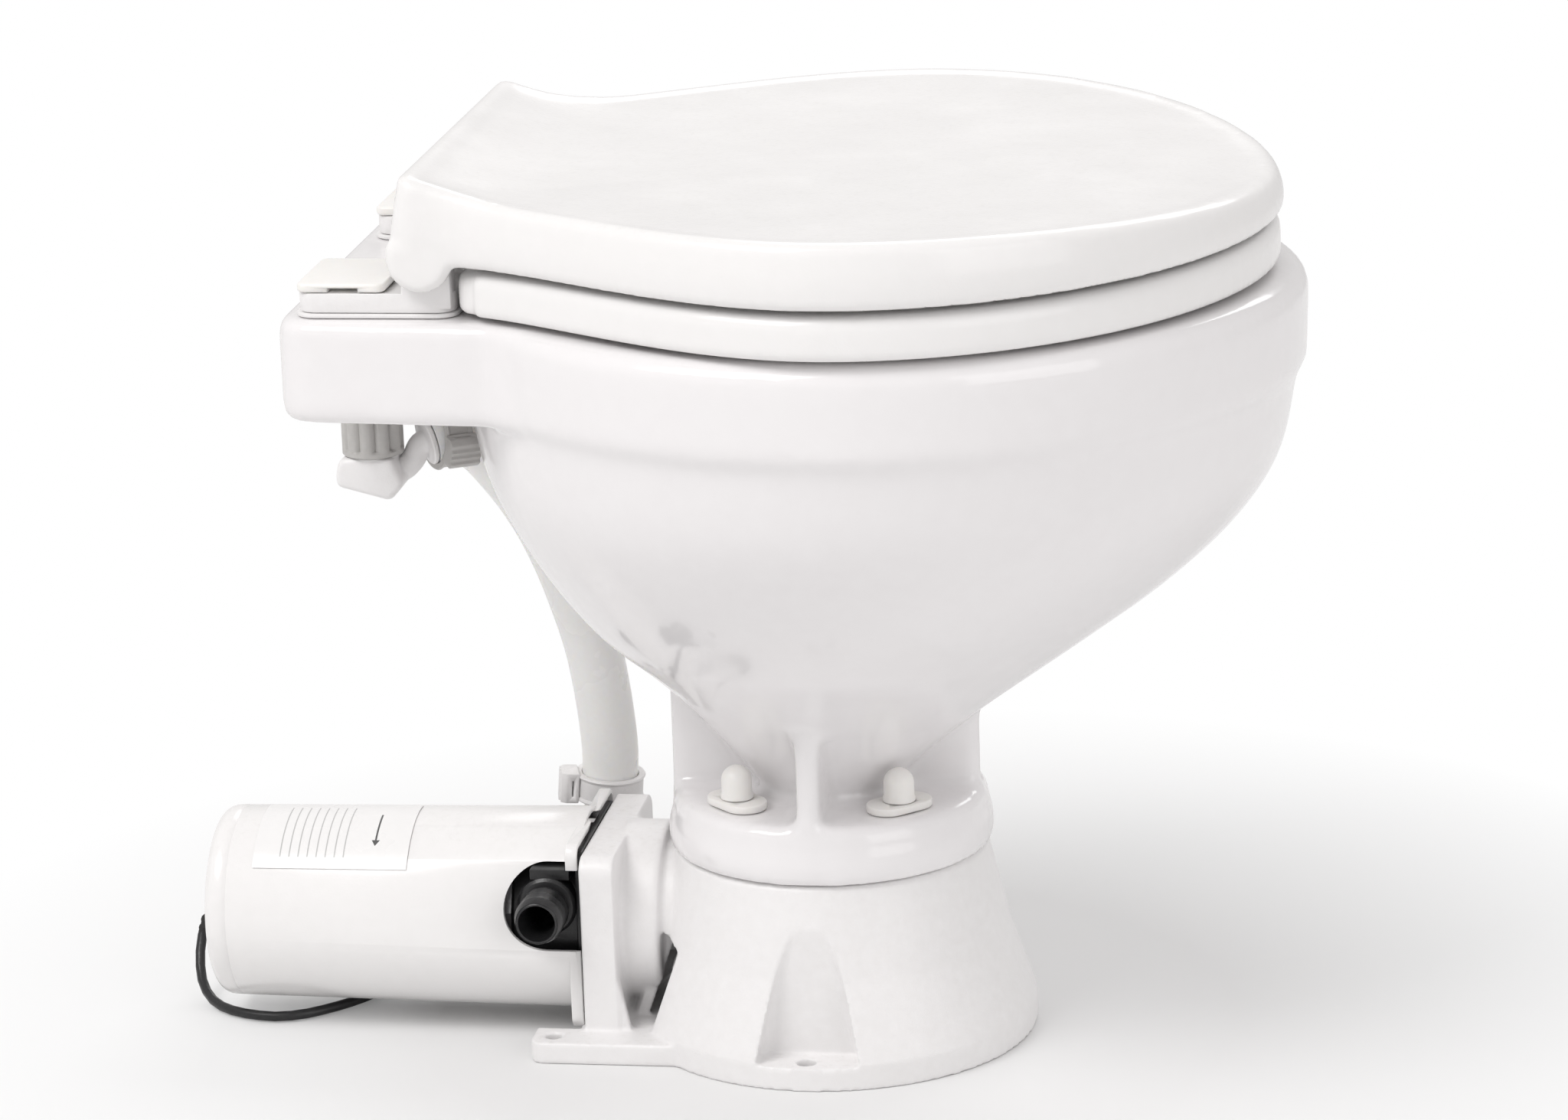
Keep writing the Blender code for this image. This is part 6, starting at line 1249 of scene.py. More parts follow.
@dataclass
class BaseHousing:
    """The moulded base: cone with niches, foot, drum, mounting plate, gussets and discharge stub."""

    top: float = 0.076
    top_radius: float = 0.0622
    top_edge: float = 0.0015
    foot_radius: Flat = (0.080, 0.083)
    rim_height: float = 0.010
    waist: Flat = (0.040, 0.44)
    wall: float = 0.0045
    top_plate: float = 0.008
    niche: tuple[float, float, float, float] = (0.0205, 0.0095, 0.009, 0.063)
    niche_back: float = 0.066
    niche_corner: float = 0.005
    foot: tuple[float, float, float, float] = (0.0085, 0.060, 0.0965, 0.114)
    tab: tuple[float, float] = (0.018, 0.006)
    spout: tuple[float, float, float] = (0.052, 0.0235, 0.004)
    axis_z: float = MOTOR_Z
    drum: tuple[float, float, float] = (0.0355, 0.065, 0.0022)
    plate: tuple[float, float, float, float, float] = (0.0805, 0.0943, 0.045, 0.0795, 0.007)
    gusset: tuple[float, float, float] = (0.0042, 0.031, 0.004)
    window: tuple[Flat, ...] = ((0.0900, 0.0087), (0.0900, 0.0500), (0.0663, 0.0465), (0.0561, 0.0410),
                                (0.0675, 0.0087))
    socket: float = 0.0315
    window_inside: float = 0.0255
    discharge: tuple[float, float, float, float] = (0.0105, 0.0028, 0.034, 0.051)
    pipe_inside: float = 0.025
    pipe_bore: Flat = (0.0091, 0.0213)
    sump: Flat = (0.022, 0.030)
    sump_wall: float = 0.004
    post: float = 0.007
    spout_bore_front: float = 0.0013
    eye: Flat = (0.0145, 0.075)
    chamber: Flat = (0.031, 0.0727)
    side_hole: tuple[float, float, float] = (0.00375, -0.001, 0.075)
    tab_hole: tuple[float, float, float] = (0.0033, -0.1055, 0.051)
    bolt_hole: tuple[float, float, float] = (0.0036, 0.010, 0.032)
    seal_recess: tuple[float, float, float] = (0.0242, 0.0358, 0.004)
    discharge_x: float = DISCHARGE_X
    cell: float = 0.0009
    rounds: int = 1
    kept_share: float = 0.4

    def levels(self, inset: float, low: float, high: float) -> list[list[Point]]:
        """The cone's outlines from the floor to the top."""
        (bx, by), (z, share), r = self.foot_radius, self.waist, self.top_radius
        rows = [(bx, by, low), (bx, by, self.rim_height)]
        rows += [(r + (bx - r) * share, r + (by - r) * share, z), (r, r, high)]
        return [level([((x - inset) * c, (y - inset) * s) for c, s in circle(1)], h) for x, y, h in rows]

    def along(self, name: str, radius: float, front: float, rear: float, z: float,
              steps: int = 64) -> bpy.types.Object:
        """A round bar or cutter along -X at a height."""
        return Form.rod(name, radius, front, rear, BACK, (0, 0, z), steps)

    def niche_form(self, name: str, side: Side, grow: float, low: float) -> bpy.types.Object:
        """A niche for a side screw, broad at its pad and narrower above.

        Args:
            name: the form's name.
            side: which side of the base.
            grow: how much larger than the niche it is.
            low: its lowest level.
        Returns:
            The form, which reaches out past the cone.
        """
        broad, narrow, pad, high = self.niche
        deep = self.foot_radius[1] - self.niche_back
        rings = []
        for z in (low, pad, (pad + high) / 2, high - self.niche_corner / 2, high + grow):
            share = min(max((z - pad) / (high - pad), 0.0), 1.0)
            half = broad + (narrow - broad) * share ** 0.85
            centre = (0.0, side.value * (self.niche_back + deep))
            rings.append(level(rounded(half + grow, deep + grow, self.niche_corner, centre), z))
        return Form.loft(name, rings)

    def build(self) -> None:
        """Makes the base and dresses it."""
        base = Form.loft("base_moulding", self.levels(0, 0, self.top - self.top_edge) + [
            level(circle(self.top_radius - self.top_edge), self.top)])
        thick, half_foot, foot_rear, tab_rear = self.foot
        tab_width, tab_corner = self.tab
        half = [(self.sump[0], half_foot)]
        for fall, rise in reversed(quarter(6)):
            half.append((-tab_rear + tab_corner * fall, half_foot - tab_corner * rise))
        half += [(-tab_rear, half_foot - tab_width), (-foot_rear, half_foot - tab_width)]
        front, rear, width, high, corner = self.plate
        mid = (high + thick / 2) / 2
        radius, drum_front, edge = self.drum
        spout_z, spout_radius, spout_wall = self.spout
        inside = self.sump[0] / 2
        Form.join(base, self.along("socket", self.socket, inside, drum_front + edge / 2, self.axis_z, 96))
        window = [(-x, z) for x, z in self.window]
        Form.cut(base, *(Form.prism("window", window, *sorted(-side.value * y for y in (
            self.window_inside, self.foot_radius[1])), ALONG_Y) for side in Side))
        parts = [
            Form.prism("foot", mirrored(half), 0, thick),
            Form.prism("plate", rounded(width, high - mid, corner, (0, mid)), -rear, -front, ALONG_X),
            Form.box("plate_foot", (-rear, -width, thick / 2), (-front, width, thick + corner * 2)),
            Form.turned("drum", ((0, drum_front), (radius - edge, drum_front), (radius - edge * 0.3,
                        drum_front + edge * 0.3), (radius, drum_front + edge), (radius, front + OVERRUN),
                        (0, front + OVERRUN)), BACK, (0, 0, self.axis_z), 96),
            self.along("spout", spout_radius, inside, drum_front + edge / 2, spout_z)]
        leg, tall, thin = self.gusset
        for side in Side:
            y = side.value * (width - thin * 0.75)
            parts.append(Form.prism("gusset", (
                (-front - OVERRUN, thick / 2), (-front + leg, thick / 2), (-front + leg, thick + OVERRUN),
                (-front - OVERRUN, thick + tall)), -y - thin / 2, -y + thin / 2, ALONG_Y))
        bore, pipe_wall, z, tip = self.discharge
        parts.append(Form.rod("discharge", bore + pipe_wall, self.pipe_inside, tip, FAR,
                              (self.discharge_x, 0, z)))
        Form.join(base, *parts)
        hollow = Form.loft("base_hollow", self.levels(self.wall, -OVERRUN, self.top - self.top_plate))
        pad = self.niche[2]
        sump_radius, sump_floor = self.sump
        outer = sump_radius + self.sump_wall
        below = -OVERRUN * 2
        keep = [Form.rod("sump_wall", outer, sump_floor - self.sump_wall, self.top + OVERRUN),
                Form.rod("post", self.post, below, sump_floor),
                self.along("spout_wall", spout_radius, 0, drum_front + OVERRUN, spout_z),
                Form.box("foot_floor", (-foot_rear, -half_foot, below), (-outer, half_foot, thick))]
        keep += [self.niche_form("niche_wall", side, self.wall, below) for side in Side]
        Form.cut(hollow, *keep)
        eye, eye_rear = self.eye
        chamber, chamber_front = self.chamber
        cuts = [hollow, Form.rod("sump", sump_radius, sump_floor, self.top + OVERRUN),
                self.along("spout_bore", spout_radius - spout_wall, self.spout_bore_front,
                           drum_front + edge / 4, spout_z, 60),
                self.along("eye", eye, drum_front - OVERRUN, eye_rear, self.axis_z),
                self.along("chamber", chamber, chamber_front, rear + OVERRUN, self.axis_z),
                Form.rod("discharge_bore", *self.pipe_bore, tip + OVERRUN, FAR, (self.discharge_x, 0, z))]
        cuts += [self.niche_form("niche", side, 0.0, pad) for side in Side]
        for (hole, x, y), high in ((self.side_hole, pad), (self.tab_hole, thick)):
            cuts += [Form.rod("screw_hole", hole, -OVERRUN, high + OVERRUN, at=(x, side.value * y, 0))
                     for side in Side]
        hole, deep, spread = self.bolt_hole
        over = self.top + OVERRUN
        cuts += [Form.rod("bolt_hole", hole, self.top - deep, over, at=(sx * spread, sy * spread, 0))
                 for sx in (1, -1) for sy in (1, -1)]
        inner, outer, deep = self.seal_recess
        cuts.append(Form.turned("seal_recess", ((inner, self.top - deep), (outer, self.top - deep),
                                                (outer, over), (inner, over))))
        Form.cut(base, *cuts)
        dress(Form.cast(base, self.cell, self.rounds, self.kept_share), "satin_white",
              stands_for=("base_housing",))


@dataclass
class MotorCover:
    """The drawn motor cover with its square flange and the blank rating label."""

    front: float = 0.0975
    rear: float = 0.2495
    radii: Flat = (0.0403, 0.0383)
    wall: float = 0.002
    edge: float = 0.006
    axis_z: float = MOTOR_Z
    flange: tuple[float, float, float, float] = (0.003, 0.0395, 0.038, 0.005)
    lip: float = 0.0018
    arch: float = 0.0168
    port: Flat = PORT
    cord: Flat = (0.022, 0.034)
    label_length: float = 0.063
    label_arc: float = math.radians(60)
    label_start: float = math.radians(-8)
    label_x: float = -0.198

    def radius(self, behind: float, inset: float = 0.0) -> float:
        """The cover's radius at a distance behind the bowl's axis."""
        share = (behind - self.front) / (self.rear - self.front)
        return self.radii[0] + (self.radii[1] - self.radii[0]) * share - inset

    def shell(self) -> bpy.types.Object:
        """The cover with its arches for the pump's ports and the hole for the lead."""
        edge = []
        for i in range(9):
            a = math.pi / 2 * i / 8
            edge.append((self.radius(self.rear) - self.edge * (1 - math.cos(a)),
                         self.rear - self.edge * (1 - math.sin(a))))
        seam = self.rear - self.edge - 0.0035
        groove = [(self.radius(seam), seam - 0.0005), (self.radius(seam) - 0.00035, seam),
                  (self.radius(seam), seam + 0.0005)]
        back = self.rear - self.wall
        inner = self.radius(back - self.edge, self.wall)
        cover = Form.turned("cover_shell", [(self.radius(self.front, self.wall), self.front),
                                            (self.radius(self.front), self.front)] + groove + edge + [
            (0, self.rear), (0, back), (inner - self.edge, back), (inner, back - self.edge)],
            BACK, (0, 0, self.axis_z), 128)
        thick, half_width, half_height, corner = self.flange
        flange = Form.prism("cover_flange", rounded(half_width, half_height, corner, (0, self.axis_z)),
                            -self.front - thick, -self.front + self.lip, ALONG_X)
        Form.bevel(flange, 0.0006, 2)
        recess = rounded(half_width - self.lip, half_height - self.lip, corner - self.lip, (0, self.axis_z))
        Form.cut(flange, Form.prism("plate_recess", recess, -self.front, -self.front + self.lip + 0.001,
                                    ALONG_X),
                 Form.rod("flange_bore", self.radius(self.front, self.wall) + 0.0002, self.front - OVERRUN,
                          self.front + thick + OVERRUN, BACK, (0, 0, self.axis_z), 128))
        Form.join(cover, flange)
        px, pz = self.port
        for side in Side:
            low, high = sorted((side.value * self.arch, side.value * 0.08))
            Form.cut(cover, Form.rod("arch", self.arch, self.arch, 0.08, (0, side.value, 0), (px, 0, pz), 64),
                     Form.box("arch_slot", (px, low, pz - self.arch),
                              (-self.front + 0.004, high, pz + self.arch)))
        Form.cut(cover, Form.rod("lead_hole", 0.0042, back - self.edge, self.rear + OVERRUN, BACK,
                                 (0, *self.cord)))
        return Form.bevel(cover, 0.0005, 2, 50)

    def label(self) -> bpy.types.Object:
        """The label, bent round the cover, with a UV map for its print."""
        bm = bmesh.new()
        bmesh.ops.create_grid(bm, x_segments=12, y_segments=30, size=0.5, calc_uvs=False)
        uv = bm.loops.layers.uv.new("print")
        for face in bm.faces:
            for loop in face.loops:
                loop[uv].uv = (loop.vert.co.x + 0.5, loop.vert.co.y + 0.5)
        for vert in bm.verts:
            behind = -self.label_x - vert.co.x * self.label_length
            a = self.label_start + self.label_arc * (0.5 + vert.co.y)
            r = self.radius(behind) + 0.0003
            vert.co = (-behind, -r * math.sin(a), self.axis_z + r * math.cos(a))
        label = Form.place(bm, "blank_label")
        skin = label.modifiers.new("Foil", "SOLIDIFY")
        skin.thickness = 0.00022
        skin.offset = 1.0
        Form.solid_mesh(label)
        label.data.shade_smooth()
        label.data.set_sharp_from_angle(angle=math.radians(40))
        return label

    def build(self) -> None:
        """Makes cover and label and dresses them."""
        dress(self.shell(), "gloss_white", stands_for=("motor_cover",))
        dress(self.label(), "label", stands_for=("rating_label",))


@dataclass
class FlushPump:
    """The black pump with its barbed inlet on the near side and its outlet stub."""

    front: float = 0.0975
    length: float = 0.027
    radius: float = 0.0335
    axis_z: float = MOTOR_Z
    chamber: Flat = (0.0265, 0.014)
    port: Flat = PORT
    port_radius: float = 0.0085
    bore: float = 0.0062
    tip: float = 0.0555
    barbs: tuple[int, float, float] = (3, 0.0055, 0.0013)
    outlet_tip: float = 0.044
    inside: float = 0.0186
    bore_inside: float = 0.0166
    boss: tuple[float, float, float, float] = (0.0118, 0.02, 0.0356, 0.0012)
    plate: tuple[float, float, float] = (0.0360, 0.0340, 0.005)
    plate_eye: float = 0.0062
    shaft_hole: float = 0.0049

    def tail(self) -> bpy.types.Object:
        """The inlet tail with its saw-toothed rings and a rounded mouth."""
        count, pitch, rise = self.barbs
        start = self.tip - count * pitch
        profile = [(0.0, self.inside), (self.port_radius, self.inside), (self.port_radius, start)]
        for i in range(count):
            low = start + i * pitch
            profile += [(self.port_radius + rise * 0.85, low), (self.port_radius + rise, low + 0.0007),
                        (self.port_radius + rise * 0.8, low + 0.0014), (self.port_radius, low + pitch * 0.96)]
        profile += [(self.port_radius - 0.0002, self.tip - 0.0004), (self.port_radius - 0.0006, self.tip),
                    (0.0, self.tip)]
        return Form.turned("inlet_tail", profile, NEAR, (self.port[0], 0, self.port[1]), 64)

    def build(self) -> None:
        """Makes the pump's body and dresses it."""
        rear, x, z = self.front + self.length, *self.port
        body = Form.turned("pump_body", (
            (0, self.front), (self.radius - 0.0004, self.front), (self.radius, self.front + 0.0004),
            (self.radius, rear - 0.0012), (self.radius - 0.0012, rear), (0, rear)),
            BACK, (0, 0, self.axis_z), 96)
        radius, low, high, edge = self.boss
        boss = Form.turned("port_boss", ((0, low), (radius, low), (radius, high - edge),
                                         (radius - edge, high), (0, high)), NEAR, (x, 0, z), 64)
        stub = Form.rod("outlet_stub", self.port_radius, self.inside, self.outlet_tip, FAR, (x, 0, z), 64)
        lug = Form.box("maker_lug", (x - 0.0065, -0.0345, z + 0.0108), (x + 0.0095, -0.0195, z + 0.0152))
        plate = Form.prism("pump_plate", rounded(*self.plate, (0, self.axis_z)), 0.0003 - self.front,
                           -self.front + 0.0029, ALONG_X)
        Form.cut(Form.bevel(plate, 0.0004, 2),
                 Form.rod("plate_eye", self.plate_eye, self.front - 0.005, self.front + OVERRUN, BACK,
                          (0, 0, self.axis_z)))
        dress(plate, "black", stands_for=("pump_backplate",))
        Form.join(body, boss, self.tail(), stub, Form.bevel(lug, 0.0006, 2))
        radius, depth = self.chamber
        Form.cut(body, Form.rod("chamber", radius, self.front - OVERRUN, self.front + depth, BACK,
                                (0, 0, self.axis_z), 64),
                 Form.rod("shaft_hole", self.shaft_hole, self.front + depth - OVERRUN, rear + OVERRUN, BACK,
                          (0, 0, self.axis_z)),
                 Form.turned("inlet_bore", (
                     (0, self.bore_inside), (self.bore, self.bore_inside), (self.bore, self.tip - 0.006),
                     (self.bore + 0.0012, self.tip - 0.0012), (self.bore + 0.0012, self.tip + OVERRUN),
                     (0, self.tip + OVERRUN)), NEAR, (x, 0, z), 64),
                 Form.rod("outlet_bore", self.bore, self.bore_inside, self.outlet_tip + OVERRUN, FAR,
                          (x, 0, z), 64))
        Form.bevel(body, 0.0004, 2, 40)
        dress(body, "black", stands_for=("flush_pump_body",))


# ---- Flushing line ----


@dataclass
class FlushLine:
    """Outlet elbow, hose with its two clips, union nut and inlet elbow."""

    points: tuple[Point, ...] = (
        (-0.1015, 0.0600, 0.0700), (-0.1000, 0.0582, 0.0960), (-0.1025, 0.0500, 0.1340),
        (-0.1080, 0.0430, 0.1620), (-0.1150, 0.0380, 0.1850), (-0.1235, 0.0345, 0.2035),
        (-0.1320, 0.0280, 0.2190), (-0.1395, 0.0190, 0.2315), (-0.1475, 0.0105, 0.2385),
        (-0.1560, 0.0050, 0.2372))
    elbow_points: tuple[Point, ...] = (
        (-0.1095, 0.0446, 0.0565), (-0.1095, 0.0480, 0.0565), (-0.1090, 0.0535, 0.0572),
        (-0.1055, 0.0590, 0.0605))
    tail_points: tuple[Point, ...] = (
        (-0.1760, 0.0000, 0.2243), (-0.1700, 0.0010, 0.2245), (-0.1662, 0.0020, 0.2257),
        (-0.1627, 0.0035, 0.2293), (-0.1602, 0.0045, 0.2343), (-0.1560, 0.0050, 0.2370))
    radius: float = 0.0115
    bore: float = 0.0088
    clip: tuple[float, float, float, float] = (0.0018, 0.011, 0.012, 0.009)
    nut_radius: float = 0.0122
    nut: Flat = (0.2325, 0.2617)
    flutes: int = 10
    inlet_x: float = -0.178
    elbow_half: float = 0.0115
    elbow_bottom: float = 0.215
    nut_bore: float = 0.0076
    neck: Flat = (0.007, 0.0043)
    tail: Flat = (0.0048, 0.003)
    bend: Flat = (0.0095, 0.0062)

    def hose(self, route: list[Vector]) -> bpy.types.Object:
        """The clear-walled hose, open at both ends, squeezed a little under its clips."""
        outer, inner = [], []
        side = Vector((0.3, 0.9, 0.1)).normalized()
        for i, at in enumerate(route):
            ahead = (route[min(i + 1, len(route) - 1)] - route[max(i - 1, 0)]).normalized()
            side = (side - ahead * side.dot(ahead)).normalized()
            other = ahead.cross(side)
            share = i / (len(route) - 1)
            squeeze = 0.0003 * max(math.exp(-((share - s) / 0.03) ** 2) for s in (0.035, 0.966))
            turn = [side * math.cos(a) + other * math.sin(a) for a in (math.tau * k / 56 for k in range(56))]
            soft_end = 0.0006 if i in (0, len(route) - 1) else 0.0
            outer.append([at + t * (self.radius - squeeze - soft_end) for t in turn])
            inner.append([at + t * (self.bore + soft_end / 2) for t in turn])
        return Form.loft("clear_hose", outer + inner[::-1] + outer[:1], capped=False)

    def band(self, name: str, route: list[Vector], share: float, facing: Point) -> bpy.types.Object:
        """A moulded clip: a band with rims and a ratchet head whose teeth lock it."""
        wall, width, head, tall = self.clip
        k = min(int(share * (len(route) - 1)), len(route) - 2)
        at = route[k].lerp(route[k + 1], share * (len(route) - 1) - k)
        along = (route[k + 1] - route[k]).normalized()
        inner = self.radius + 0.0008
        out = Vector(facing)
        out = (out - along * along.dot(out)).normalized()
        frame = Matrix.Translation(at) @ Matrix((along.cross(out) * -1, out, along)).transposed().to_4x4()
        half, low = width / 2, self.radius + 0.00005
        band = Form.turned(name, ((low, -half + 0.0004), (low + 0.0004, -half), (inner + wall, -half),
                                  (inner + wall + 0.0004, -half + 0.0006), (inner + wall, -half + 0.0014),
                                  (inner + wall * 0.8, -half + 0.0018), (inner + wall * 0.8, half - 0.0018),
                                  (inner + wall, half - 0.0014), (inner + wall + 0.0004, half - 0.0006),
                                  (inner + wall, half), (low + 0.0004, half), (low, half - 0.0004)),
                           along, at, 72)
        top = inner + tall
        outline = [(-head / 2, inner + wall / 2), (head / 2, inner + wall / 2), (head / 2, top - 0.0024)]
        outline += [(head * 0.3, top - 0.0004), (head * 0.22, top - 0.0014), (head * 0.08, top - 0.0002),
                    (0, top - 0.0013), (-head * 0.14, top), (-head * 0.22, top - 0.0012),
                    (-head * 0.38, top - 0.0006), (-head / 2, top - 0.003)]
        block = Form.prism("ratchet", outline, -half - wall / 2, half + wall / 2, frame)
        Form.bevel(block, 0.0005, 2, 30)
        reach = head * 0.7
        slot = Form.prism("ratchet_slot", ((-reach, inner + tall * 0.36), (reach, inner + tall * 0.30),
                                           (reach, inner + tall * 0.36), (-reach, inner + tall * 0.44)),
                          -half * 0.62, half * 0.62, frame)
        return Form.join(band, Form.cut(block, slot))

    def union_nut(self) -> bpy.types.Object:
        """The fluted nut: a plain ring below ten rounded grips."""
        bottom, top = self.nut
        rings = []
        for z, grow, deep in ((bottom, -0.0005, 0.0), (bottom + 0.0005, 0.0, 0.0),
                              (bottom + 0.0018, 0.0, 0.0), (bottom + 0.0026, 0.0, 1.0),
                              (top - 0.0008, 0.0, 1.0), (top, -0.0008, 1.0)):
            ring = []
            for k in range(160):
                a = math.tau * k / 160
                wave = abs(math.sin(a * self.flutes / 2)) ** 0.9
                radius = self.nut_radius + grow - deep * 0.0022 * (1 - wave)
                ring.append((self.inlet_x + radius * math.cos(a), radius * math.sin(a), z))
            rings.append(ring)
        nut = Form.loft("union_nut", rings)
        return Form.cut(nut, Form.rod("nut_bore", self.nut_bore, bottom - OVERRUN, top + OVERRUN,
                                      at=(self.inlet_x, 0, 0)))

    def inlet(self, route: list[Vector]) -> bpy.types.Object:
        """The angular inlet elbow with its tail into the hose."""
        x, half, low = self.inlet_x, self.elbow_half, self.elbow_bottom
        ring, top = 0.002, self.nut[0] - 0.0003
        outline = ((x - half - ring, low + half / 2), (x + half * 0.7, low),
                   (x + half * 1.2, low + half * 0.6), (x + half * 0.8, top), (x - half, top),
                   (x - half - ring, self.nut[0] - half / 2))
        body = Form.prism("flush_inlet_elbow", outline, -half * 0.9, half * 0.9, ALONG_Y)
        Form.bevel(body, 0.0024, 4, 20)
        rim = Form.barrel("elbow_collar", 0.0102, top - 0.003, top, 0.0004, at=(x, 0, 0))
        end = list(reversed(route[-13:]))
        tail = smooth_route(self.tail_points, 24)
        stop = Form.barrel("hose_stop", 0.0104, 0.0003, 0.0025, 0.0006, end[0] - end[1], end[0])
        foot, head = self.nut[0] - half, self.nut[1]
        Form.join(body, rim, Form.rod("elbow_neck", self.neck[0], foot, head - 0.0003, at=(x, 0, 0)),
                  Form.tube("elbow_tail", tail, self.tail[0]), stop,
                  Form.tube("elbow_sleeve", end, self.bore - 0.0008))
        onward = end[-1] + (end[-1] - end[-2]).normalized() * OVERRUN
        return Form.cut(body, Form.rod("neck_bore", self.neck[1], foot, head + OVERRUN, at=(x, 0, 0)),
                        Form.tube("tail_bore", tail + end[1:] + [onward], self.tail[1]))

    def outlet(self, route: list[Vector]) -> bpy.types.Object:
        """The white elbow from the pump's outlet, with its tail inside the hose."""
        first, second = Vector(self.points[0]), Vector(self.points[1])
        up = (second - first).normalized()
        bend = smooth_route([*self.elbow_points[1:], first - up * 0.004, first - up * 0.0012], 28)
        whole = [Vector(self.elbow_points[0])] + bend
        elbow = Form.tube("flush_outlet_bend", whole, self.bend[0], 48)
        tail = route[:18]
        Form.join(elbow, Form.tube("outlet_tail", [whole[-2]] + tail, self.bore - 0.0013, 40))
        onward = tail[-1] + (tail[-1] - tail[-2]).normalized() * OVERRUN
        back = whole[0] - (whole[1] - whole[0]).normalized() * OVERRUN
        return Form.cut(elbow, Form.tube("outlet_bore", [back] + whole + tail + [onward], self.bend[1], 32))

    def build(self) -> None:
        """Makes the line and dresses each piece."""
        route = smooth_route([Vector(point) for point in self.points], 61)
        dress(self.hose(route), "hose_ivory", stands_for=("flush_hose",))
        dress(self.band("lower_clip", route, 0.035, (-1, -0.3, 0)), "satin_white",
              stands_for=("hose_clip_lower",))
        dress(self.band("upper_clip", route, 0.966, (0, -1, -0.2)), "grey", stands_for=("hose_clip_upper",))
        dress(self.union_nut(), "grey", stands_for=("inlet_union_nut",))
        dress(self.inlet(route), "satin_white", stands_for=("inlet_elbow",))
        dress(self.outlet(route), "satin_white", stands_for=("flush_outlet_elbow",))


@dataclass
class DischargeFitting:
    """The grey elbow on the far side, with a barbed tail for the discharge hose."""

    x: float = DISCHARGE_X
    start: float = 0.0513
    z: float = 0.034
    turn: float = 0.020
    tail: float = 0.030
    bore: float = 0.0105
    wall: float = 0.0028

    def build(self) -> None:
        """Makes the elbow and dresses it."""
        pipe = self.bore + self.wall
        turn = Vector((self.x, self.start + self.turn, self.z))
        route = [Vector((self.x, self.start, self.z))]
        for i in range(19):
            a = math.pi / 2 * i / 18
            route.append(turn + Vector((self.turn * (1 - math.cos(a)), self.turn * (math.sin(a) - 0.5), 0)))
        route.append(route[-1] + Vector((self.tail, 0, 0)))
        elbow = Form.tube("discharge_bend", route, pipe, 64)
        end, y = route[-1].x, route[-1].y
        profile = [(0, end - self.tail), (pipe, end - self.tail)]
        low = pipe
        for i in range(4):
            at = end - self.tail + 0.010 + 0.005 * i
            profile += [(low, at), (pipe + 0.0014, at + 0.0008), (pipe + 0.0012, at + 0.0016)]
            low = pipe - 0.0002
        profile += [(pipe - 0.0006, end - 0.0006), (pipe - 0.0012, end), (0, end)]
        collar = Form.turned("elbow_collar", ((0, self.start), (pipe + 0.0012, self.start),
                                              (pipe + 0.0016, self.start + 0.0006),
                                              (pipe + 0.0016, self.start + 0.0056),
                                              (pipe + 0.001, self.start + 0.0062), (0, self.start + 0.0062)),
                             FAR, (self.x, 0, self.z), 64)
        Form.join(elbow, Form.turned("barbed_tail", profile, (1, 0, 0), (0, y, self.z), 64), collar)
        over = [route[0] - Vector((0, OVERRUN, 0))] + route + [route[-1] + Vector((OVERRUN, 0, 0))]
        Form.cut(elbow, Form.tube("elbow_bore", over, self.bore, 48))
        dress(elbow, "grey", stands_for=("discharge_elbow",))


# ---- Hinges and fixings ----


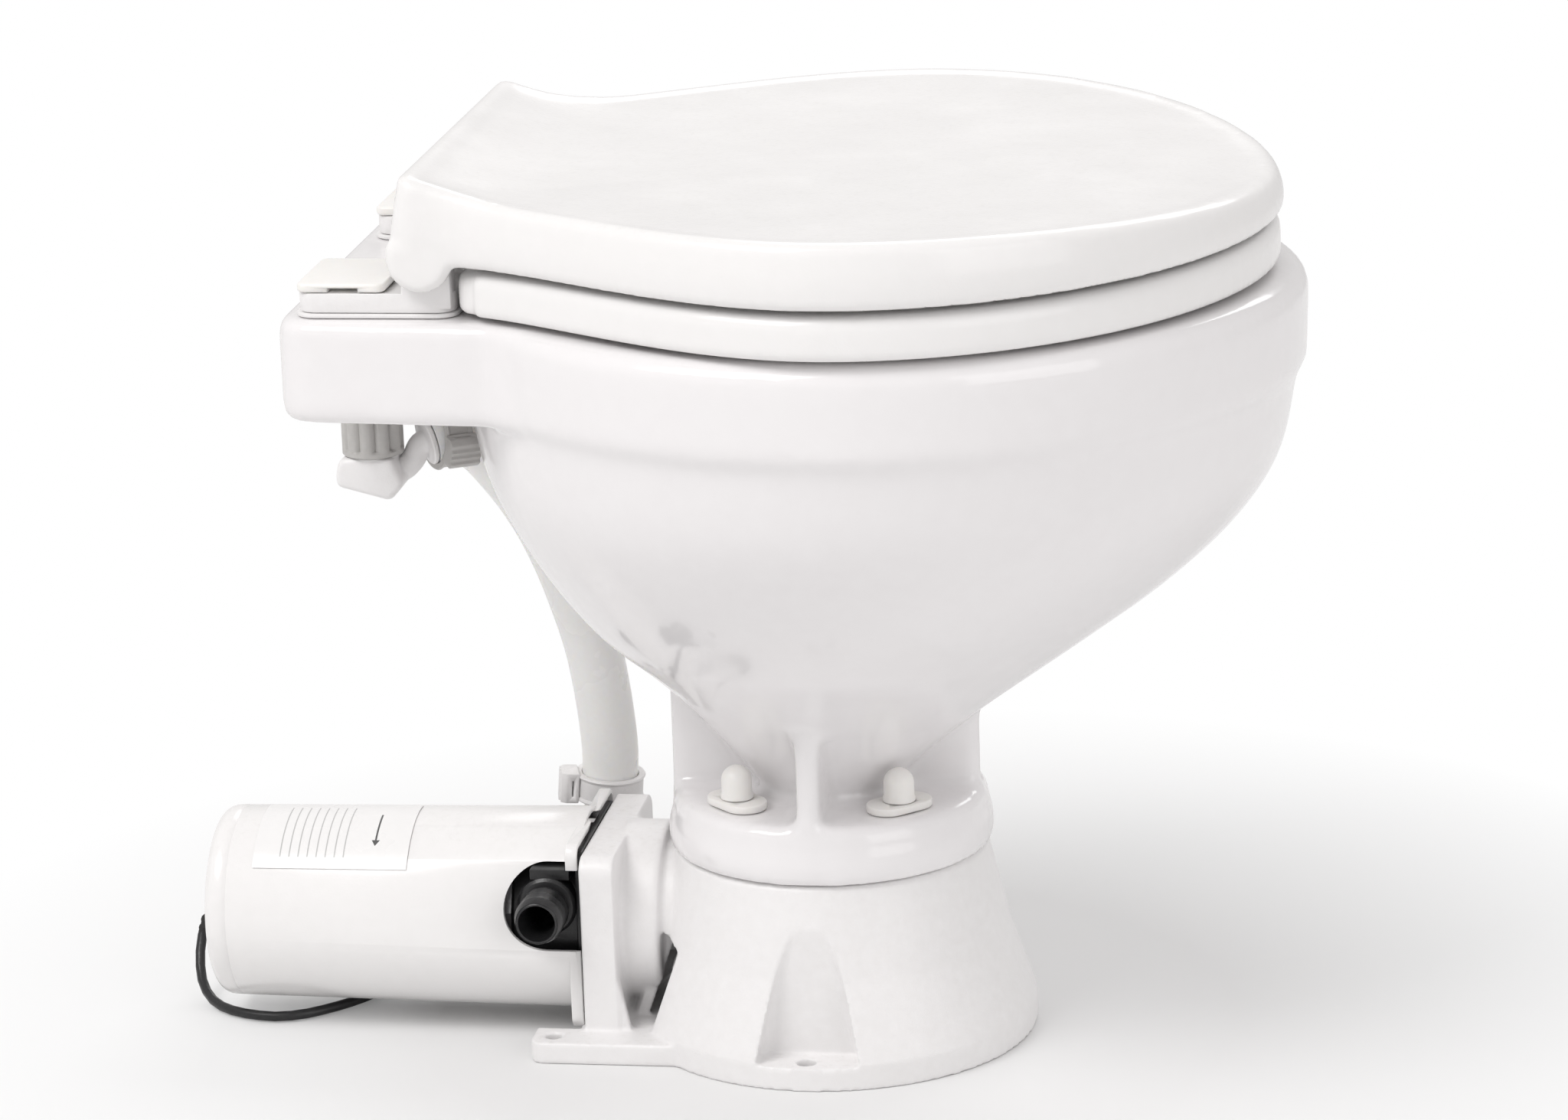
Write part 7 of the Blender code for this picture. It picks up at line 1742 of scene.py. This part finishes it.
@dataclass
class Hinge:
    """One hinge on the ledge: gasket, block with two knuckles, snap cap and pin."""

    side: Side
    rear: float = 0.183
    front: float = 0.1228
    inner: float = 0.045
    outer: float = 0.0895
    corner: float = 0.007
    rim_top: float = 0.308
    top: float = 0.3175
    gasket: float = 0.0015
    gap: float = 0.0003
    axis: Flat = HINGE
    knuckle: tuple[float, float] = (0.0095, 0.010)
    arm: tuple[float, float, float] = (0.060, 0.012, 0.0075)
    bolt: Flat = (-0.165, 0.067)
    cap: tuple[float, float] = (0.0035, 0.149)
    pin: Flat = (0.0035, 0.0955)
    bolt_hole: float = 0.0045
    head_room: Flat = (0.008, 0.0046)
    arm_floor: float = 0.3133

    def across(self, a: float, b: float) -> list[float]:
        """Two distances from the middle plane, in order along Y."""
        return sorted((self.side.value * a, self.side.value * b))

    def build(self) -> None:
        """Makes the pieces and dresses them."""
        word, sign = self.side.word, self.side.value
        low_y, high_y = self.across(self.inner, self.outer)
        centre = (-(self.rear + self.front) / 2, (low_y + high_y) / 2)
        half_x, half_y = (self.rear - self.front) / 2, (high_y - low_y) / 2
        hx, hz = self.axis
        low = self.rim_top + self.gap
        bolt_x, bolt_y = self.bolt[0], sign * self.bolt[1]
        pad = Form.prism(f"ledge_pad_{word}", rounded(half_x + 0.0012, half_y + 0.0012, self.corner + 0.0012,
                                                     centre), low, low + self.gasket)
        Form.bevel(pad, 0.0004, 2)
        Form.cut(pad, Form.rod("pad_hole", self.bolt_hole, low - OVERRUN, low + 0.004,
                               at=(bolt_x, bolt_y, 0)))
        foot = low + self.gasket + self.gap
        block = Form.prism(f"hinge_body_{word}", rounded(half_x, half_y, self.corner, centre), foot, self.top)
        Form.bevel(block, 0.0006, 2)
        radius, width = self.knuckle
        for a, b in ((self.outer, self.outer - width), (self.inner + width * 0.7, self.inner)):
            y0, y1 = self.across(a, b)
            round_end = Form.barrel("knuckle", radius, y0, y1, 0.0008, FAR, (hx, 0, hz), 72)
            stem = Form.box("stem", (hx - radius, y0, foot + self.gasket), (hx + radius, y1, hz))
            Form.join(block, round_end, Form.bevel(stem, 0.0008, 2))
        arm_y, arm_width, arm_radius = self.arm
        y0, y1 = self.across(arm_y - arm_width / 2 - 0.0008, arm_y + arm_width / 2 + 0.0008)
        Form.cut(block, Form.rod("arm_room", arm_radius + 0.0008, y0, y1, FAR, (hx, 0, hz), 64),
                 Form.box("arm_front_room", (hx, y0, self.arm_floor), (-self.front + OVERRUN, y1, hz)),
                 Form.rod("pin_hole", self.pin[0] + self.gap, low_y - OVERRUN, high_y + OVERRUN, FAR,
                          (hx, 0, hz)),
                 Form.rod("bolt_hole", self.bolt_hole, low - OVERRUN, self.top + OVERRUN,
                          at=(bolt_x, bolt_y, 0)),
                 Form.rod("head_room", self.head_room[0], self.top - self.head_room[1], self.top + OVERRUN,
                          at=(bolt_x, bolt_y, 0)))
        tall, cap_front = self.cap
        cap_z = self.top + self.gap
        over = rounded((self.rear - cap_front) / 2, half_y, self.corner / 2,
                       (-(self.rear + cap_front) / 2, centre[1]))
        lid = Form.prism(f"snap_cap_{word}", over, cap_z, cap_z + tall)
        Form.bevel(lid, 0.0011, 4)
        n0, n1 = self.across(self.outer - 0.006, self.outer + OVERRUN)
        Form.cut(lid, Form.box("cap_notch", (bolt_x - 0.006, n0, self.top - 0.001),
                               (bolt_x + 0.006, n1, cap_z + tall * 0.55)))
        pin = Form.barrel(f"hinge_shaft_{word}", self.pin[0], *self.across(self.inner, self.pin[1]), 0.0005,
                          FAR, (hx, 0, hz))
        dress(pad, "satin_white", stands_for=(f"hinge_gasket_{word}",))
        dress(block, "satin_white", stands_for=(f"hinge_block_{word}",))
        dress(lid, "ivory", stands_for=(f"hinge_cap_{word}",))
        dress(pin, "steel", stands_for=(f"hinge_pin_{word}",))


@dataclass
class BowlFixings:
    """Four oval washers and domed cap nuts on the bowl's flange."""

    spread: float = 0.032
    washer: tuple[float, float, float, float] = (0.0993, 0.1023, 0.028, 0.017)
    nut: tuple[float, float, float, float] = (0.1026, 0.013, 0.006, 0.55)

    def build(self) -> None:
        """Makes the washers and nuts and dresses them."""
        low, high, length, width = self.washer
        half = (length - width) / 2
        outline = [(sx * half + width / 2 * math.cos(a), width / 2 * math.sin(a))
                   for sx, start in ((1, -math.pi / 2), (-1, math.pi / 2))
                   for a in (start + math.pi * k / 20 for k in range(21))]
        bottom, tall, radius, share = self.nut
        skirt = bottom + tall * share
        crown = tall * (1 - share)
        dome = [(radius * math.cos(a), skirt + crown * math.sin(a))
                for a in (math.pi / 2 * k / 12 for k in range(12))]
        for i, (sx, sy) in enumerate(((1, -1), (-1, -1), (1, 1), (-1, 1)), 1):
            x, y = sx * self.spread, sy * self.spread
            node = nearest_node("bowl_washer_", (x, y))
            turn = Matrix.Translation((x, y, 0)) @ Matrix.Rotation(math.atan2(y, x) + math.pi / 2, 4, "Z")
            plate = Form.prism(f"oval_washer_{i}", outline, low, high, turn)
            Form.bevel(plate, 0.0006, 3, 50)
            Form.cut(plate, Form.rod("washer_hole", 0.0035, low - OVERRUN, high + OVERRUN, at=(x, y, 0)))
            nut = Form.turned(f"domed_nut_{i}", [
                (0, skirt), (0.0035, skirt), (0.0035, bottom), (radius + 0.0004, bottom),
                (radius + 0.0004, bottom + 0.0014), (radius, bottom + 0.0019), *dome, (0, bottom + tall)],
                at=(x, y, 0), steps=48)
            dress(plate, "ivory", stands_for=(node,))
            dress(nut, "ivory", stands_for=(node.replace("washer", "cap_nut"),))


def nearest_node(prefix: str, at: Flat) -> str:
    """The node of a family whose middle is nearest to a place in plan."""
    def away(name: str) -> float:
        low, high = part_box(name)
        return math.hypot((low[0] + high[0]) / 2 - at[0], (low[1] + high[1]) / 2 - at[1])
    return min((name for name in frame["nodes"] if name.startswith(prefix)), key=away)


@dataclass
class KeptNodes:
    """The nodes that stay as they were packed, mostly inside: each gets its own finish."""

    finishes: dict[str, str] = field(default_factory=lambda: {
        "discharge_impeller": "black", "flush_impeller": "black",
        "bowl_seal": "black_rubber", "shaft_seal": "black_rubber", "joker_valve": "black_rubber",
        "seat_bumper": "black_rubber", "cutter_plate": "steel", "chopper_blade": "steel",
        "motor_can": "steel", "motor_shaft": "steel", "motor_armature": "brass", "bowl_bolt": "steel",
        "hinge_bolt": "steel", "hinge_nut": "grey"})

    def build(self) -> None:
        """Gives each node its material."""
        for name, node in frame["nodes"].items():
            finish = next((look for start, look in self.finishes.items() if name.startswith(start)), None)
            if finish:
                for slot in node.material_slots:
                    slot.link = "OBJECT"
                    slot.material = material(finish)
                log.info("%s: %s, as packed", name, finish)


# ---- Studio ----


@dataclass
class Studio:
    """Camera, floor, world and lamps of the photo."""

    target: Point = (-0.0155, 0.0, 0.19)
    distance: float = 2.25
    yaw: float = math.radians(9.5)
    pitch: float = math.radians(15.7)
    roll: float = math.radians(2.0)
    lens: float = 7500 / 2048 * 36
    floor_colour: Colour = (0.80, 0.80, 0.80)
    ambient: float = 0.65

    def camera(self) -> None:
        """Places the camera that the photo was matched with."""
        back = Vector((math.sin(self.yaw) * math.cos(self.pitch), -math.cos(self.yaw) * math.cos(self.pitch),
                       math.sin(self.pitch)))
        right = Vector((math.cos(self.yaw), math.sin(self.yaw), 0))
        turn = Matrix((right, back.cross(right), back)).transposed().to_4x4()
        data = bpy.data.cameras.new("photo_camera")
        data.sensor_width, data.lens = 36, self.lens
        data.clip_start, data.clip_end = 0.01, 50
        eye = bpy.data.objects.new("photo_camera", data)
        eye.matrix_world = (Matrix.Translation(Vector(self.target) + back * self.distance) @ turn
                            @ Matrix.Rotation(-self.roll, 4, "Z"))
        bpy.context.scene.collection.objects.link(eye)
        bpy.context.scene.camera = eye

    def lamp(self, name: str, at: Point, size: Flat, power: float, colour: Colour = (1, 1, 1)) -> None:
        """An area lamp that faces the object."""
        data = bpy.data.lights.new(name, "AREA")
        data.shape = "RECTANGLE"
        data.size, data.size_y = size
        data.energy, data.color = power, colour
        lamp = bpy.data.objects.new(name, data)
        lamp.location = at
        lamp.rotation_mode = "QUATERNION"
        lamp.rotation_quaternion = (Vector(at) - Vector(self.target)).to_track_quat("Z", "Y")
        bpy.context.scene.collection.objects.link(lamp)

    def world(self) -> None:
        """Soft light from all round, and plain white where the camera sees past the object."""
        world = bpy.data.worlds.new("studio")
        bpy.context.scene.world = world
        world.use_nodes = True
        tree = world.node_tree
        tree.nodes.clear()
        ray = tree.nodes.new("ShaderNodeLightPath").outputs
        seen = Groups.math(tree, "MAXIMUM", Groups.math(tree, "MAXIMUM", ray["Is Camera Ray"],
                                                        ray["Is Transmission Ray"]), 0.0, clamp=True)
        soft, white = (tree.nodes.new("ShaderNodeBackground") for _ in range(2))
        soft.inputs["Color"].default_value = (1.0, 0.985, 0.98, 1)
        soft.inputs["Strength"].default_value = self.ambient
        white.inputs["Color"].default_value = (1, 1, 1, 1)
        white.inputs["Strength"].default_value = 1.0
        mix = tree.nodes.new("ShaderNodeMixShader")
        tree.links.new(seen, mix.inputs[0])
        tree.links.new(soft.outputs[0], mix.inputs[1])
        tree.links.new(white.outputs[0], mix.inputs[2])
        tree.links.new(mix.outputs[0], tree.nodes.new("ShaderNodeOutputWorld").inputs[0])

    def floor(self) -> None:
        """A wide pale floor whose far parts fade into the white."""
        bm = bmesh.new()
        bmesh.ops.create_circle(bm, cap_ends=True, segments=96, radius=3.0)
        plate = Form.place(bm, "studio_floor")
        for vert in plate.data.vertices:
            vert.co.z = -0.0002
        made = bpy.data.materials.new("studio_floor")
        made.use_nodes = True
        tree = made.node_tree
        shader = tree.nodes["Principled BSDF"]
        shader.inputs["Base Color"].default_value = (*self.floor_colour, 1)
        shader.inputs["Roughness"].default_value = 0.8
        shader.inputs["Specular IOR Level"].default_value = 0.2
        glow = tree.nodes.new("ShaderNodeEmission")
        glow.inputs["Color"].default_value = (1, 1, 1, 1)
        ray = tree.nodes.new("ShaderNodeLightPath").outputs["Is Camera Ray"]
        where = tree.nodes.new("ShaderNodeTexCoord").outputs["Object"]
        away = tree.nodes.new("ShaderNodeVectorMath")
        away.operation = "LENGTH"
        tree.links.new(where, away.inputs[0])
        fade = tree.nodes.new("ShaderNodeMapRange")
        fade.inputs["From Min"].default_value, fade.inputs["From Max"].default_value = 0.16, 0.42
        tree.links.new(away.outputs["Value"], fade.inputs["Value"])
        mix = tree.nodes.new("ShaderNodeMixShader")
        tree.links.new(Groups.math(tree, "MULTIPLY", fade.outputs["Result"], ray), mix.inputs[0])
        tree.links.new(shader.outputs[0], mix.inputs[1])
        tree.links.new(glow.outputs[0], mix.inputs[2])
        tree.links.new(mix.outputs[0], tree.nodes["Material Output"].inputs["Surface"])
        plate.data.materials.append(made)

    def build(self) -> None:
        """Lights the scene."""
        self.world()
        self.floor()
        self.lamp("key_light", (-1.25, -1.3, 2.3), (1.4, 1.1), 36, (1, 0.99, 0.985))
        self.lamp("fill_light", (1.9, -1.5, 1.0), (1.6, 1.6), 9, (1, 0.985, 0.985))
        self.lamp("back_light", (0.3, 1.9, 1.7), (1.6, 0.9), 12)
        scene = bpy.context.scene
        scene.view_settings.view_transform = "Standard"


def main() -> None:
    """Builds every sub-assembly in order."""
    logging.basicConfig(level=logging.INFO, format="%(message)s")
    studio = Studio()
    studio.camera()
    SupplyLead().build()
    BowlShell().build()
    SeatRing().build()
    DishedLid().build()
    for side in Side:
        Hinge(side).build()
    BaseHousing().build()
    BowlFixings().build()
    MotorCover().build()
    FlushPump().build()
    DischargeFitting().build()
    FlushLine().build()
    KeptNodes().build()
    studio.build()


if __name__ == "__main__":
    main()
